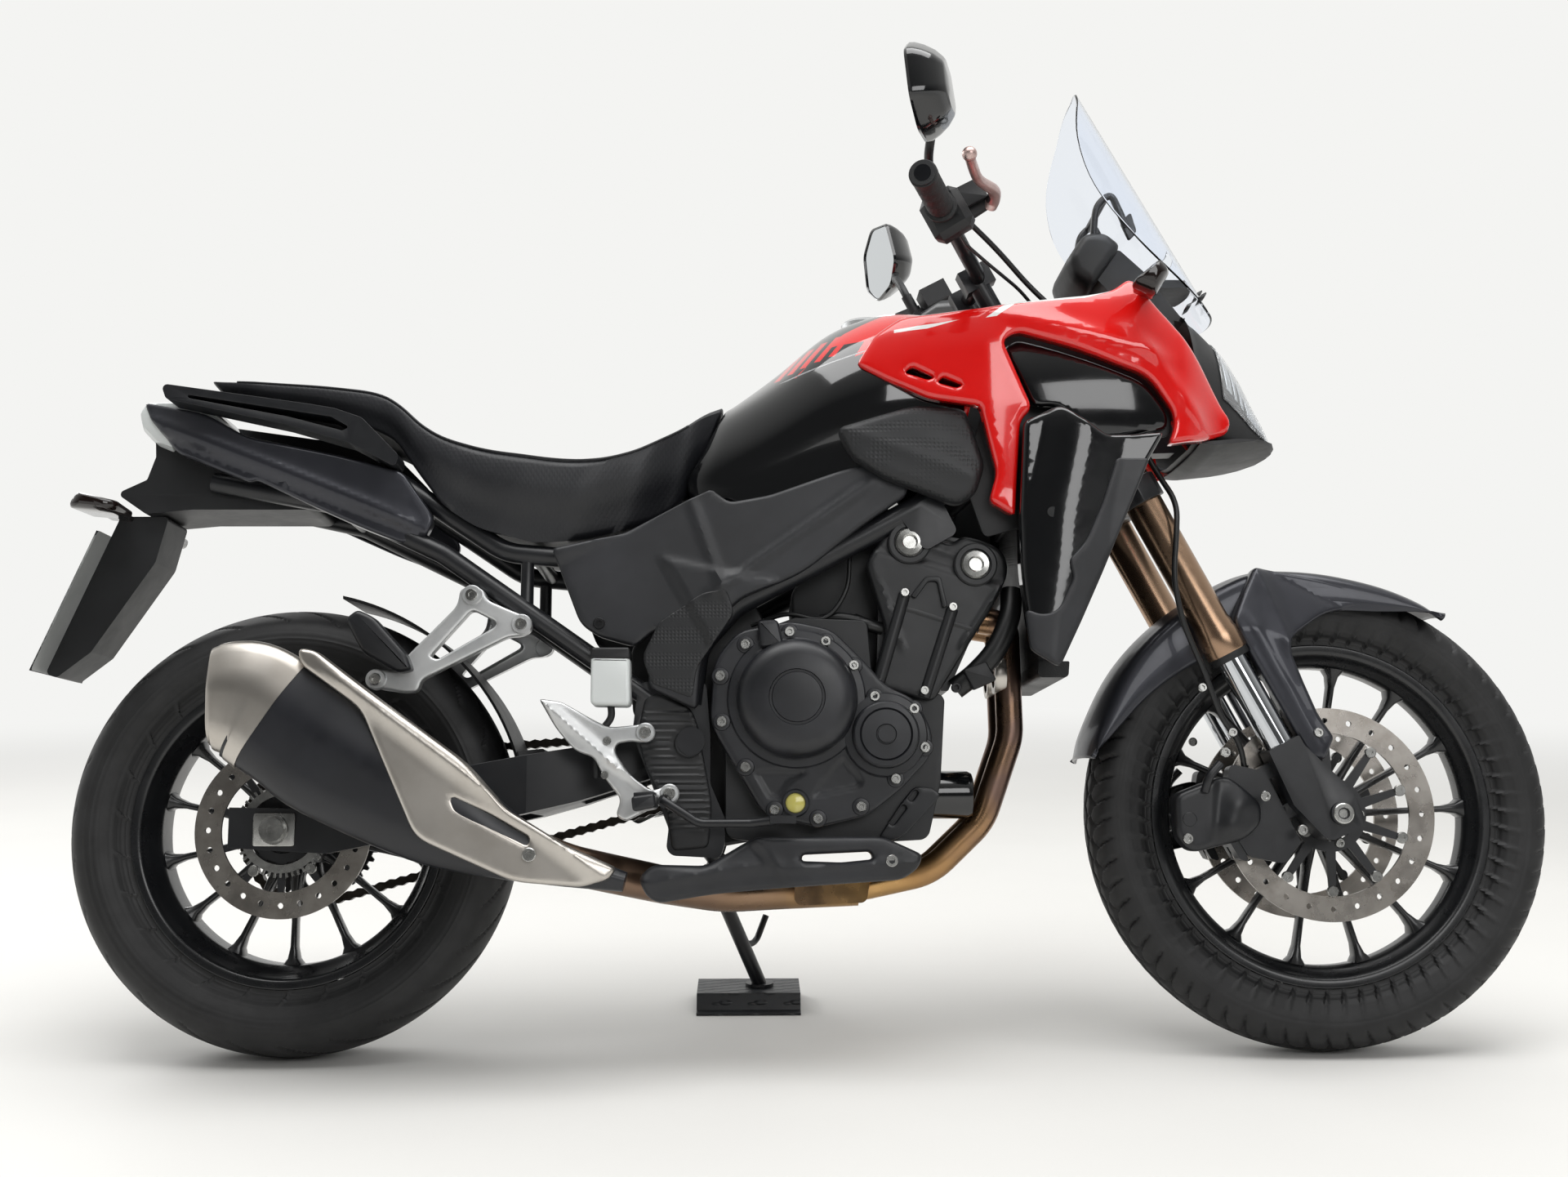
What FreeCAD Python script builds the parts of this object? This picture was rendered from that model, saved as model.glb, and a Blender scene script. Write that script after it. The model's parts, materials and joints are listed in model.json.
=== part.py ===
"""Adventure motorcycle, leaning on its side stand, whose foot stands on a folded chequer-plate block.

Millimetres and degrees. Each piece is drawn on an upright machine: X forward, Y to
its left, Z up from the ground. Every piece then gets one Placement, which leans the machine over onto
its stand and puts the origin on the floor, under the middle of the whole. What turns with the bars is
drawn about the steering axis: Z up along it, X forward across it, from where it meets the ground.
"""
import FreeCAD, Part
import math
import os
import Sketcher

# Driving dimensions
SIZES = {
    # Stance
    "wheelbase": 1445, "rake": 27.5, "trail": 108, "lean": 8.5,
    # Wheels and tyres
    "front_radius": 329, "front_tyre_width": 110, "front_rim_radius": 241, "front_rim_width": 76,
    "rear_radius": 312, "rear_tyre_width": 160, "rear_rim_radius": 216, "rear_rim_width": 124,
    "tyre_wall": 9, "flange_height": 9, "barrel_wall": 6, "well_depth": 16, "spoke_count": 14,
    "spoke_width": 12, "spoke_depth": 24, "front_hub_radius": 34, "front_hub_width": 104,
    "rear_hub_radius": 56, "rear_hub_width": 104, "tyre_fit": 0.3,
    # Brakes
    "front_disc_radius": 148, "front_disc_bore": 113, "front_disc_offset": 70, "rear_disc_radius": 120,
    "rear_disc_bore": 84, "rear_disc_offset": 86, "disc_thickness": 5, "front_carrier_radius": 52,
    "rear_carrier_radius": 44, "disc_hole_radius": 4, "disc_hole_count": 24, "carrier_arms": 10,
    # Axles
    "axle_radius": 10, "axle_fit": 0.3, "front_axle_length": 226, "rear_axle_length": 272,
    "axle_nut_radius": 16,
    # Fork
    "fork_spacing": 200, "axle_lead": 22, "slider_radius": 20.5, "outer_tube_radius": 26,
    "collar_radius": 31, "collar_length": 28, "lug_top": 120, "tube_bottom": 286,
    "lower_yoke": 520, "upper_yoke": 735, "fork_top": 768, "yoke_thickness": 36, "stem_radius": 15,
    "bar_clamp": 909, "bar_setback": 6,
    # Bars
    "bar_radius": 11, "bar_half_width": 400, "bar_rise": 73, "bar_pullback": 88,
    "clamp_half_width": 55, "grip_radius": 17, "grip_length": 125, "hose_radius": 4, "cable_radius": 2.5,
    "lead_bend": 200,
    # Frame
    "frame_tube_radius": 17, "head_tube_radius": 29, "rail_radius": 14, "frame_half_width": 124,
    "pivot_x": 558, "pivot_height": 429, "pivot_plate": 20, "pivot_plate_inner": 110,
    "pivot_tube_radius": 14,
    # Swingarm
    "arm_inner": 110, "arm_wall": 22, "arm_front_half": 84,
    # Chain drive
    "chain_pitch": 15.875, "rear_teeth": 41, "front_teeth": 15, "chain_offset": 97, "plate_height": 14,
    "plate_waist": 9, "chain_width": 17, "sprocket_gap": 0.6, "sprocket_thickness": 6,
    "output_x": 655, "output_height": 425,
    # Engine
    "case_half_width": 120, "head_half_width": 106, "dome_radius": 78,
    "cover_depth": 30, "dome_depth": 38, "clutch_x": 701, "clutch_height": 485,
    "generator_height": 415,
    # Bodywork
    "panel_wall": 4, "seam": 1.5, "seat_half_width": 145, "screen_wall": 4,
    # Exhaust
    "header_radius": 19, "header_spacing": 82, "midpipe_radius": 26, "silencer_y": 190,
    "silencer_width": 92,
    # Stand and its block
    "block_length": 160, "block_top": 100, "block_height": 28, "block_flange": 24, "block_plate": 4,
    "block_wall_lean": 5, "foot_radius": 22, "foot_thickness": 5, "stand_radius": 11,
    "stand_pivot_x": 582, "stand_pivot_y": 150, "stand_pivot_height": 246, "foot_x": 653,
    "foot_y": 308, "rest_gap": 0.3,
}

doc = FreeCAD.newDocument("motorcycle")
sheet = doc.addObject("Spreadsheet::Sheet", "sizes")
for row, (alias, number) in enumerate(SIZES.items(), start=1):
    sheet.set(f"A{row}", alias)
    sheet.set(f"B{row}", str(number))
    sheet.setAlias(f"B{row}", alias)
doc.recompute()


class Size:
    """A length with the sheet expression that gives it, so that a feature can be bound to the sheet."""

    def __init__(self, value, text):
        self.value = float(value)
        self.text = text

    def __float__(self):
        return self.value

    def __add__(self, other):
        return Size(self.value + float(other), f"({self.text} + {text_of(other)})")

    def __radd__(self, other):
        return Size(float(other) + self.value, f"({text_of(other)} + {self.text})")

    def __sub__(self, other):
        return Size(self.value - float(other), f"({self.text} - {text_of(other)})")

    def __rsub__(self, other):
        return Size(float(other) - self.value, f"({text_of(other)} - {self.text})")

    def __mul__(self, other):
        return Size(self.value * float(other), f"({self.text} * {text_of(other)})")

    __rmul__ = __mul__

    def __truediv__(self, other):
        return Size(self.value / float(other), f"({self.text} / {text_of(other)})")

    def __neg__(self):
        return Size(-self.value, f"(-1 * {self.text})")


def text_of(value):
    return value.text if isinstance(value, Size) else repr(float(value))


class Cells:
    """cells.wheelbase is the Size held by the cell of that alias."""

    def __getattr__(self, alias):
        return Size(sheet.get(alias), "sizes." + alias)


class Numbers:
    """mm.wheelbase is the plain number held by the cell of that alias."""

    def __getattr__(self, alias):
        return float(sheet.get(alias))


cells = Cells()
mm = Numbers()
rake = math.radians(mm.rake)
lean = math.radians(mm.lean)


def vec(x, y, z):
    return FreeCAD.Vector(float(x), float(y), float(z))


AXIS_X = vec(1, 0, 0)
AXIS_Y = vec(0, 1, 0)
AXIS_Z = vec(0, 0, 1)
UPRIGHT = FreeCAD.Placement()
# Stations along X are measured on a drawing whose front axle is at this station; the rear axle follows from
# the wheelbase
FRONT_STATION = 1445
rear_station = FRONT_STATION - cells.wheelbase
rear_x = float(rear_station)
# Steering frame: its origin is where the steering axis meets the ground
STEERING = FreeCAD.Placement(vec(FRONT_STATION + mm.trail, 0, 0), FreeCAD.Rotation(AXIS_Y, -mm.rake))
# The front axle in the steering frame
axle_along = mm.trail * math.sin(rake) + mm.front_radius * math.cos(rake)
axle_ahead = mm.front_radius * math.sin(rake) - mm.trail * math.cos(rake)
leg_ahead = axle_ahead - mm.axle_lead
# Every piece, with the placement that it has on the upright machine
pieces = []


def keep(piece, frame=UPRIGHT):
    pieces.append((piece, frame))
    return piece


# Sketched bodies

def new_body(label, frame=UPRIGHT):
    body = doc.addObject("PartDesign::Body", label)
    body.Label = label
    return keep(body, frame)


def datum(body, role):
    return [item for item in body.Origin.OriginFeatures if item.Role == role][0]


def new_sketch(body, plane, offset=0):
    sketch = body.newObject("Sketcher::SketchObject", body.Name + "_sketch")
    sketch.AttachmentSupport = [(datum(body, plane), "")]
    sketch.MapMode = "FlatFace"
    sketch.AttachmentOffset = FreeCAD.Placement(vec(0, 0, offset), FreeCAD.Rotation())
    if isinstance(offset, Size):
        sketch.setExpression("AttachmentOffset.Base.z", offset.text)
    return sketch


def constrain(sketch, kind, items, value):
    index = sketch.addConstraint(Sketcher.Constraint(kind, *items, float(value)))
    if isinstance(value, Size):
        sketch.setExpression(f"Constraints[{index}]", value.text)


def draw_polygon(sketch, points):
    """Adds a closed polygon, each corner held at its two distances from the sketch's origin."""
    first = sketch.GeometryCount
    count = len(points)
    corners = [vec(across, up, 0) for across, up in points]
    lines = [Part.LineSegment(corners[i], corners[(i + 1) % count]) for i in range(count)]
    sketch.addGeometry(lines, False)
    for i, (across, up) in enumerate(points):
        sketch.addConstraint(Sketcher.Constraint("Coincident", first + i, 2, first + (i + 1) % count, 1))
        constrain(sketch, "DistanceX", (-1, 1, first + i, 1), across)
        constrain(sketch, "DistanceY", (-1, 1, first + i, 1), up)


def draw_circle(sketch, across, up, radius):
    first = sketch.addGeometry(Part.Circle(vec(across, up, 0), AXIS_Z, float(radius)), False)
    constrain(sketch, "Radius", (first,), radius)
    constrain(sketch, "DistanceX", (-1, 1, first, 3), across)
    constrain(sketch, "DistanceY", (-1, 1, first, 3), up)


def revolve(body, plane, points, axis="Y_Axis", cut=False):
    sketch = new_sketch(body, plane)
    draw_polygon(sketch, points)
    kind = "PartDesign::Groove" if cut else "PartDesign::Revolution"
    feature = body.newObject(kind, body.Name + "_turned")
    feature.Profile = sketch
    feature.ReferenceAxis = (datum(body, axis), [""])
    feature.Angle = 360
    body.Tip = feature
    return feature


def pad(body, sketch, length, midplane=True, reverse=False):
    feature = body.newObject("PartDesign::Pad", body.Name + "_pad")
    feature.Profile = sketch
    feature.Length = float(length)
    if isinstance(length, Size):
        feature.setExpression("Length", length.text)
    feature.SideType = "Symmetric" if midplane else "One side"
    feature.Reversed = reverse
    body.Tip = feature
    return feature


def pocket(body, sketch, length, midplane=True, reverse=False):
    feature = body.newObject("PartDesign::Pocket", body.Name + "_pocket")
    feature.Profile = sketch
    feature.Length = float(length)
    if isinstance(length, Size):
        feature.setExpression("Length", length.text)
    feature.SideType = "Symmetric" if midplane else "One side"
    feature.Reversed = reverse
    body.Tip = feature
    return feature


def polar(body, features, count, axis="Y_Axis"):
    pattern = body.newObject("PartDesign::PolarPattern", body.Name + "_pattern")
    pattern.Originals = features
    pattern.Axis = (datum(body, axis), [""])
    pattern.Angle = 360
    pattern.Occurrences = int(float(count))
    if isinstance(count, Size):
        pattern.setExpression("Occurrences", count.text)
    body.Tip = pattern
    return pattern


# Shapes made outright

def new_piece(label, solids, frame=UPRIGHT):
    """Adds a node that holds one solid, or several that don't touch."""
    piece = doc.addObject("Part::Feature", label)
    piece.Label = label
    piece.Shape = Part.makeCompound(solids)
    return keep(piece, frame)


def fused(solids):
    whole = solids[0]
    for solid in solids[1:]:
        whole = whole.fuse(solid)
    return whole.removeSplitter()


def both_sides(solids):
    return list(solids) + [solid.mirror(vec(0, 0, 0), AXIS_Y) for solid in solids]


def rod(start, end, radius):
    line = end - start
    return Part.makeCylinder(radius, line.Length, start, line)


def cross_rod(x, z, y_from, y_to, radius):
    return Part.makeCylinder(radius, y_to - y_from, vec(x, y_from, z), AXIS_Y)


def rounded_path(points, radius):
    """Edges along the points, with each inner corner rounded to the radius, or less on a short run."""
    edges = []
    start = points[0]
    for before, corner, after in zip(points, points[1:], points[2:]):
        back = before - corner
        ahead = after - corner
        half = back.getAngle(ahead) / 2
        reach = min(radius / math.tan(half), 0.48 * back.Length, 0.48 * ahead.Length)
        enter = corner + back.normalize() * reach
        leave = corner + ahead.normalize() * reach
        bend = reach * math.tan(half)
        middle = (enter + leave) * 0.5 - corner
        middle = corner + middle.normalize() * (bend / math.sin(half) - bend)
        edges.append(Part.LineSegment(start, enter).toShape())
        edges.append(Part.Arc(enter, middle, leave).toShape())
        start = leave
    edges.append(Part.LineSegment(start, points[-1]).toShape())
    return Part.Wire(edges)


def pipe(points, radius, bend):
    path = rounded_path(points, bend)
    ring = Part.Wire([Part.Circle(points[0], points[1] - points[0], radius).toShape()])
    return path.makePipeShell([ring], True, False)


def outline(points, place):
    """A closed wire through the points (across, up, corner radius), set on a plane by place."""
    edges = []
    ends = []
    count = len(points)
    for i in range(count):
        corner = vec(points[i][0], points[i][1], 0)
        back = vec(points[i - 1][0], points[i - 1][1], 0) - corner
        ahead = vec(points[(i + 1) % count][0], points[(i + 1) % count][1], 0) - corner
        radius = points[i][2]
        half = back.getAngle(ahead) / 2
        if radius < 0.5 or half > 1.53:
            ends.append((corner, None, corner))
            continue
        reach = min(radius / math.tan(half), 0.45 * back.Length, 0.45 * ahead.Length)
        enter = corner + back.normalize() * reach
        leave = corner + ahead.normalize() * reach
        bend = reach * math.tan(half)
        middle = (enter + leave) * 0.5 - corner
        middle = corner + middle.normalize() * (bend / math.sin(half) - bend)
        ends.append((enter, middle, leave))
    for i in range(count):
        enter, middle, leave = ends[i]
        if middle is not None:
            edges.append(Part.Arc(place(enter), place(middle), place(leave)).toShape())
        edges.append(Part.LineSegment(place(leave), place(ends[(i + 1) % count][0])).toShape())
    return Part.Wire(edges)


def side_plane(y):
    return lambda point: vec(point.x, y, point.y)


def flat_plane(z):
    return lambda point: vec(point.x, point.y, z)


def front_plane(x):
    return lambda point: vec(x, point.x, point.y)


def plate(points, y_from, y_to):
    """A flat plate of the side outline, from one y to the other."""
    face = Part.Face(outline(points, side_plane(y_from)))
    return face.extrude(vec(0, y_to - y_from, 0))


def inset(points, distance):
    """The outline with every side moved inwards by the distance."""
    area = sum(a[0] * b[1] - b[0] * a[1] for a, b in zip(points, points[1:] + points[:1]))
    turn = 1 if area > 0 else -1
    count = len(points)
    moved = []
    for i in range(count):
        before = points[i - 1]
        here = points[i]
        after = points[(i + 1) % count]
        first = vec(here[0] - before[0], here[1] - before[1], 0).normalize()
        second = vec(after[0] - here[0], after[1] - here[1], 0).normalize()
        first_normal = vec(-first.y, first.x, 0) * turn
        second_normal = vec(-second.y, second.x, 0) * turn
        share = distance / max(0.3, 1 + first_normal.dot(second_normal))
        shift = (first_normal + second_normal) * share
        moved.append((here[0] + shift.x, here[1] + shift.y, max(1.0, here[2] - distance * 0.5)))
    return moved


def crowned(points, y_seat, y_face, bevel):
    """A plate whose rim slopes: full outline at y_seat, inset by the bevel at y_face."""
    base = outline(points, side_plane(y_seat))
    crown = outline(inset(points, bevel), side_plane(y_face))
    return Part.makeLoft([base, crown], True, True)


def dished(points, y_seat, y_face, bevel, wall):
    """A crowned panel of the given wall, open on its inner side."""
    step = wall if y_face > y_seat else -wall
    outer = crowned(points, y_seat, y_face, bevel)
    inner = crowned(inset(points, wall), y_seat - step, y_face - step, bevel)
    return outer.cut(inner)


def section(x, z_low, z_high, half_low, half_mid, half_high, mid_share=0.5, soft=28):
    """A symmetrical six-sided cross-section at x, widest at mid_share of its height."""
    z_mid = z_low + (z_high - z_low) * mid_share
    corners = [(-half_low, z_low, soft / 2), (half_low, z_low, soft / 2), (half_mid, z_mid, soft),
               (half_high, z_high, soft), (-half_high, z_high, soft), (-half_mid, z_mid, soft)]
    return outline(corners, front_plane(x))


def steer(along, y, ahead):
    """A point of the steering frame."""
    return vec(ahead, y, along)


# Wheels

def tyre_profile(radius, width, bead_radius, bead_width, rim_radius):
    """Half-round carcass section with an open inside: crown, shoulder, side wall and bead."""
    wall = cells.tyre_wall
    return [
        (-bead_width / 2, bead_radius), (-bead_width / 2, rim_radius + 1),
        (-width / 2, bead_radius + (radius - bead_radius) * 0.42),
        (-width * 0.485, bead_radius + (radius - bead_radius) * 0.62),
        (-width * 0.40, radius - (radius - bead_radius) * 0.145),
        (-width * 0.22, radius - (radius - bead_radius) * 0.035), (width * 0, radius),
        (width * 0.22, radius - (radius - bead_radius) * 0.035),
        (width * 0.40, radius - (radius - bead_radius) * 0.145),
        (width * 0.485, bead_radius + (radius - bead_radius) * 0.62),
        (width / 2, bead_radius + (radius - bead_radius) * 0.42), (bead_width / 2, rim_radius + 1),
        (bead_width / 2, bead_radius),
        (bead_width / 2 - wall, bead_radius), (width / 2 - wall, bead_radius + (radius - bead_radius) * 0.42),
        (width * 0.36, radius - wall - (radius - bead_radius) * 0.15), (width * 0, radius - wall * 1.2),
        (-width * 0.36, radius - wall - (radius - bead_radius) * 0.15),
        (-width / 2 + wall, bead_radius + (radius - bead_radius) * 0.42), (-bead_width / 2 + wall, bead_radius),
    ]


def make_tyre(label, radius, width, rim_radius, rim_width, frame):
    tyre = new_body(label, frame)
    bead_radius = rim_radius - cells.flange_height + cells.tyre_fit
    bead_width = rim_width - 2 * (cells.barrel_wall * 0.6 + cells.tyre_fit)
    revolve(tyre, "YZ_Plane", tyre_profile(radius, width, bead_radius, bead_width, rim_radius))
    return tyre


def make_rim(label, rim_radius, rim_width, hub_radius, hub_width, hub_ends, phase, frame):
    """Drop-centre rim, spokes that flare where they meet it, and a hub.

    hub_ends gives the radius and the far y of the boss at each end, which carries a disc or the sprocket.
    """
    rim = new_body(label, frame)
    half = rim_width / 2
    lip = cells.barrel_wall * 0.6
    seat = rim_radius - cells.flange_height
    wall = cells.barrel_wall
    well = seat - cells.well_depth
    revolve(rim, "YZ_Plane", [
        (-half, rim_radius), (-half + lip, rim_radius), (-half + lip, seat), (-half * 0.55, seat - 2),
        (-half * 0.42, well), (half * 0.42, well), (half * 0.55, seat - 2), (half - lip, seat),
        (half - lip, rim_radius), (half, rim_radius), (half, seat - wall * 0.8), (half * 0.62, seat - wall - 2),
        (half * 0.46, well - wall), (-half * 0.46, well - wall), (-half * 0.62, seat - wall - 2),
        (-half, seat - wall * 0.8)])
    bore = cells.axle_radius + cells.axle_fit
    (right_radius, right_end), (left_radius, left_end) = hub_ends
    revolve(rim, "YZ_Plane", [
        (right_end, bore), (left_end, bore), (left_end, left_radius), (hub_width / 2, left_radius),
        (hub_width * 0.3, hub_radius), (-hub_width * 0.3, hub_radius), (-hub_width / 2, right_radius),
        (right_end, right_radius)])
    spoke = new_sketch(rim, "XZ_Plane")
    root = hub_radius * 0.9
    flare = well - wall - 26
    top = well - wall * 0.5
    narrow = cells.spoke_width / 2
    draw_polygon(spoke, [(-narrow, root), (-narrow, flare), (-narrow * 2.4, top), (narrow * 2.4, top),
                         (narrow, flare), (narrow, root)])
    arm = pad(rim, spoke, cells.spoke_depth)
    doc.recompute()
    polar(rim, [arm], cells.spoke_count)
    turn = FreeCAD.Rotation(AXIS_Y, phase)
    pieces[-1] = (rim, frame.multiply(FreeCAD.Placement(vec(0, 0, 0), turn)))
    return rim


def make_disc(label, radius, bore, carrier_radius, offsets, frame):
    """Drilled brake rings at the given offsets, with the spider that carries each."""
    disc = new_body(label, frame)
    for offset in offsets:
        ring = new_sketch(disc, "XZ_Plane", -offset)
        draw_circle(ring, 0, 0, radius)
        draw_circle(ring, 0, 0, bore)
        pad(disc, ring, cells.disc_thickness)
        doc.recompute()
        hole = new_sketch(disc, "XZ_Plane", -offset)
        draw_circle(hole, 0, (radius + bore) / 2, cells.disc_hole_radius)
        drill = pocket(disc, hole, cells.disc_thickness * 2)
        doc.recompute()
        polar(disc, [drill], cells.disc_hole_count)
        doc.recompute()
        hub = new_sketch(disc, "XZ_Plane", -offset)
        draw_circle(hub, 0, 0, carrier_radius)
        draw_circle(hub, 0, 0, carrier_radius * 0.72)
        pad(disc, hub, cells.disc_thickness)
        doc.recompute()
        spider = new_sketch(disc, "XZ_Plane", -offset)
        reach = bore + 3
        draw_polygon(spider, [(-7, carrier_radius * 0.9), (-4, reach), (4, reach), (7, carrier_radius * 0.9)])
        arm = pad(disc, spider, cells.disc_thickness)
        doc.recompute()
        polar(disc, [arm], cells.carrier_arms)
        doc.recompute()
    return disc


rear_wheel = FreeCAD.Placement(vec(rear_x, 0, mm.rear_radius), FreeCAD.Rotation())
front_wheel = FreeCAD.Placement(vec(FRONT_STATION, 0, mm.front_radius), FreeCAD.Rotation())

front_disc_face = cells.front_disc_offset - cells.disc_thickness / 2
rear_disc_face = cells.disc_thickness / 2 - cells.rear_disc_offset
sprocket_face = cells.chain_offset - cells.sprocket_thickness / 2
make_tyre("rear_tyre", cells.rear_radius, cells.rear_tyre_width, cells.rear_rim_radius,
          cells.rear_rim_width, rear_wheel)
make_rim("rear_rim", cells.rear_rim_radius, cells.rear_rim_width, cells.rear_hub_radius,
         cells.rear_hub_width, [(cells.rear_carrier_radius, rear_disc_face), (48, sprocket_face)], 180, rear_wheel)
make_tyre("front_tyre", cells.front_radius, cells.front_tyre_width, cells.front_rim_radius,
          cells.front_rim_width, front_wheel)
make_rim("front_rim", cells.front_rim_radius, cells.front_rim_width, cells.front_hub_radius,
         cells.front_hub_width, [(cells.front_carrier_radius, -front_disc_face),
                                (cells.front_carrier_radius, front_disc_face)], 2.6, front_wheel)
make_disc("front_discs", cells.front_disc_radius, cells.front_disc_bore, cells.front_carrier_radius,
          [-cells.front_disc_offset, cells.front_disc_offset], front_wheel)
make_disc("rear_disc", cells.rear_disc_radius, cells.rear_disc_bore, cells.rear_carrier_radius,
          [-cells.rear_disc_offset], rear_wheel)

disc_half = mm.disc_thickness / 2
bore_radius = mm.axle_radius + mm.axle_fit


# Chain drive

rear_pitch_radius = mm.chain_pitch / (2 * math.sin(math.pi / mm.rear_teeth))
front_pitch_radius = mm.chain_pitch / (2 * math.sin(math.pi / mm.front_teeth))
chain_y = (mm.chain_offset - mm.chain_width / 2, mm.chain_offset + mm.chain_width / 2)


def chain_path():
    """Points on the pitch line, half a pitch apart, with the outward normal at each."""
    run = vec(mm.output_x - rear_x, 0, mm.output_height - mm.rear_radius)
    slope = math.atan2(run.z, run.x)
    spread = math.asin((rear_pitch_radius - front_pitch_radius) / run.Length)
    rear = vec(rear_x, 0, mm.rear_radius)
    front = vec(mm.output_x, 0, mm.output_height)
    straight = run.Length * math.cos(spread)
    top_angle = slope - spread + math.pi / 2
    low_angle = slope + spread - math.pi / 2
    rear_arc = (2 * math.pi - (top_angle - low_angle)) * rear_pitch_radius
    front_arc = (top_angle - low_angle) * front_pitch_radius
    total = 2 * straight + rear_arc + front_arc
    count = 2 * round(total / mm.chain_pitch)
    step = total / count
    points = []
    for i in range(count):
        gone = i * step
        if gone < front_arc:
            angle = low_angle + gone / front_pitch_radius
            centre, radius, slide = front, front_pitch_radius, 0
        elif gone < front_arc + straight:
            angle = top_angle
            centre, radius, slide = front, front_pitch_radius, gone - front_arc
        elif gone < front_arc + straight + rear_arc:
            angle = top_angle + (gone - front_arc - straight) / rear_pitch_radius
            centre, radius, slide = rear, rear_pitch_radius, 0
        else:
            angle = low_angle
            centre, radius, slide = rear, rear_pitch_radius, gone - front_arc - straight - rear_arc
        normal = vec(math.cos(angle), 0, math.sin(angle))
        along = vec(-math.sin(angle), 0, math.cos(angle))
        points.append((centre + normal * radius + along * slide, normal))
    return points


def make_chain():
    """Closed loop of waisted links: wide at each pin, narrow between two pins."""
    outer = []
    inner = []
    for i, (point, normal) in enumerate(chain_path()):
        half = (mm.plate_height if i % 2 == 0 else mm.plate_waist) / 2
        outer.append(point + normal * half)
        inner.append(point - normal * half)
    band = Part.Face(Part.makePolygon(outer + outer[:1])).cut(Part.Face(Part.makePolygon(inner + inner[:1])))
    band.translate(vec(0, chain_y[0], 0))
    return band.extrude(vec(0, mm.chain_width, 0)).Solids[0]


new_piece("chain", [make_chain()])


def make_rear_sprocket():
    """Toothed plate whose tips stay inside the loop that the chain makes round it."""
    tip = rear_pitch_radius - mm.plate_height / 2 - mm.sprocket_gap
    root = tip - 6
    teeth = int(mm.rear_teeth)
    corners = []
    for i in range(teeth):
        for share, radius in ((-0.30, root), (-0.14, tip), (0.14, tip), (0.30, root)):
            angle = 2 * math.pi * (i + share) / teeth
            corners.append(vec(radius * math.cos(angle), float(sprocket_face), radius * math.sin(angle)))
    plate_solid = Part.Face(Part.makePolygon(corners + corners[:1])).extrude(vec(0, mm.sprocket_thickness, 0))
    plate_solid = plate_solid.cut(cross_rod(0, 0, 0, 200, bore_radius))
    for i in range(6):
        angle = math.pi * (i + 0.5) / 3
        hole = cross_rod(68 * math.cos(angle), 68 * math.sin(angle), 0, 200, 13)
        plate_solid = plate_solid.cut(hole)
    return plate_solid


new_piece("rear_sprocket", [make_rear_sprocket()], rear_wheel)

# Swingarm and rear axle

arm_outer = cells.arm_inner + cells.arm_wall
swingarm = new_body("swingarm")
side_view = new_sketch(swingarm, "XZ_Plane")
axle_z = cells.rear_radius
pivot_x = cells.pivot_x
pivot_z = cells.pivot_height
draw_polygon(side_view, [
    (rear_station - 62, axle_z + 30), (rear_station + 70, axle_z + 27), (pivot_x - 302, pivot_z - 32),
    (pivot_x - 173, pivot_z - 8), (pivot_x - 118, pivot_z + 2),
    (pivot_x + 22, pivot_z + 14), (pivot_x + 26, pivot_z - 6), (pivot_x + 14, pivot_z - 26),
    (pivot_x - 159, pivot_z - 80), (pivot_x - 227, pivot_z - 97), (rear_station + 70, axle_z - 32),
    (rear_station - 62, axle_z - 24)])
pad(swingarm, side_view, arm_outer * 2)
doc.recompute()
wheel_bay = new_sketch(swingarm, "XY_Plane")
bay_end = rear_station + cells.rear_radius + 10
bay_start = rear_station - 90
draw_polygon(wheel_bay, [(bay_start, -cells.arm_inner), (bay_end - 20, -cells.arm_inner), (bay_end + 14, -86),
                         (bay_end + 14, 86), (bay_end - 20, cells.arm_inner), (bay_start, cells.arm_inner)])
pocket(swingarm, wheel_bay, 2000)
doc.recompute()
for side in (-1, 1):
    flank = new_sketch(swingarm, "XY_Plane")
    draw_polygon(flank, [
        (bay_end + 12, arm_outer * side + side), (pivot_x + 60, arm_outer * side + side),
        (pivot_x + 60, cells.arm_front_half * side), (pivot_x - 128, cells.arm_front_half * side)])
    pocket(swingarm, flank, 2000)
    doc.recompute()
shock_bay = new_sketch(swingarm, "XY_Plane")
draw_polygon(shock_bay, [(pivot_x - 158, -50), (pivot_x + 80, -50), (pivot_x + 80, 50), (pivot_x - 158, 50)])
pocket(swingarm, shock_bay, 2000)
doc.recompute()
pivot_ring = new_sketch(swingarm, "XZ_Plane")
draw_circle(pivot_ring, pivot_x, pivot_z, cells.pivot_tube_radius)
pad(swingarm, pivot_ring, cells.pivot_plate_inner * 2 - 0.6)
doc.recompute()
axle_hole = new_sketch(swingarm, "XZ_Plane")
draw_circle(axle_hole, rear_station, axle_z, cells.axle_radius + cells.axle_fit)
pocket(swingarm, axle_hole, 600)
doc.recompute()

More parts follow.
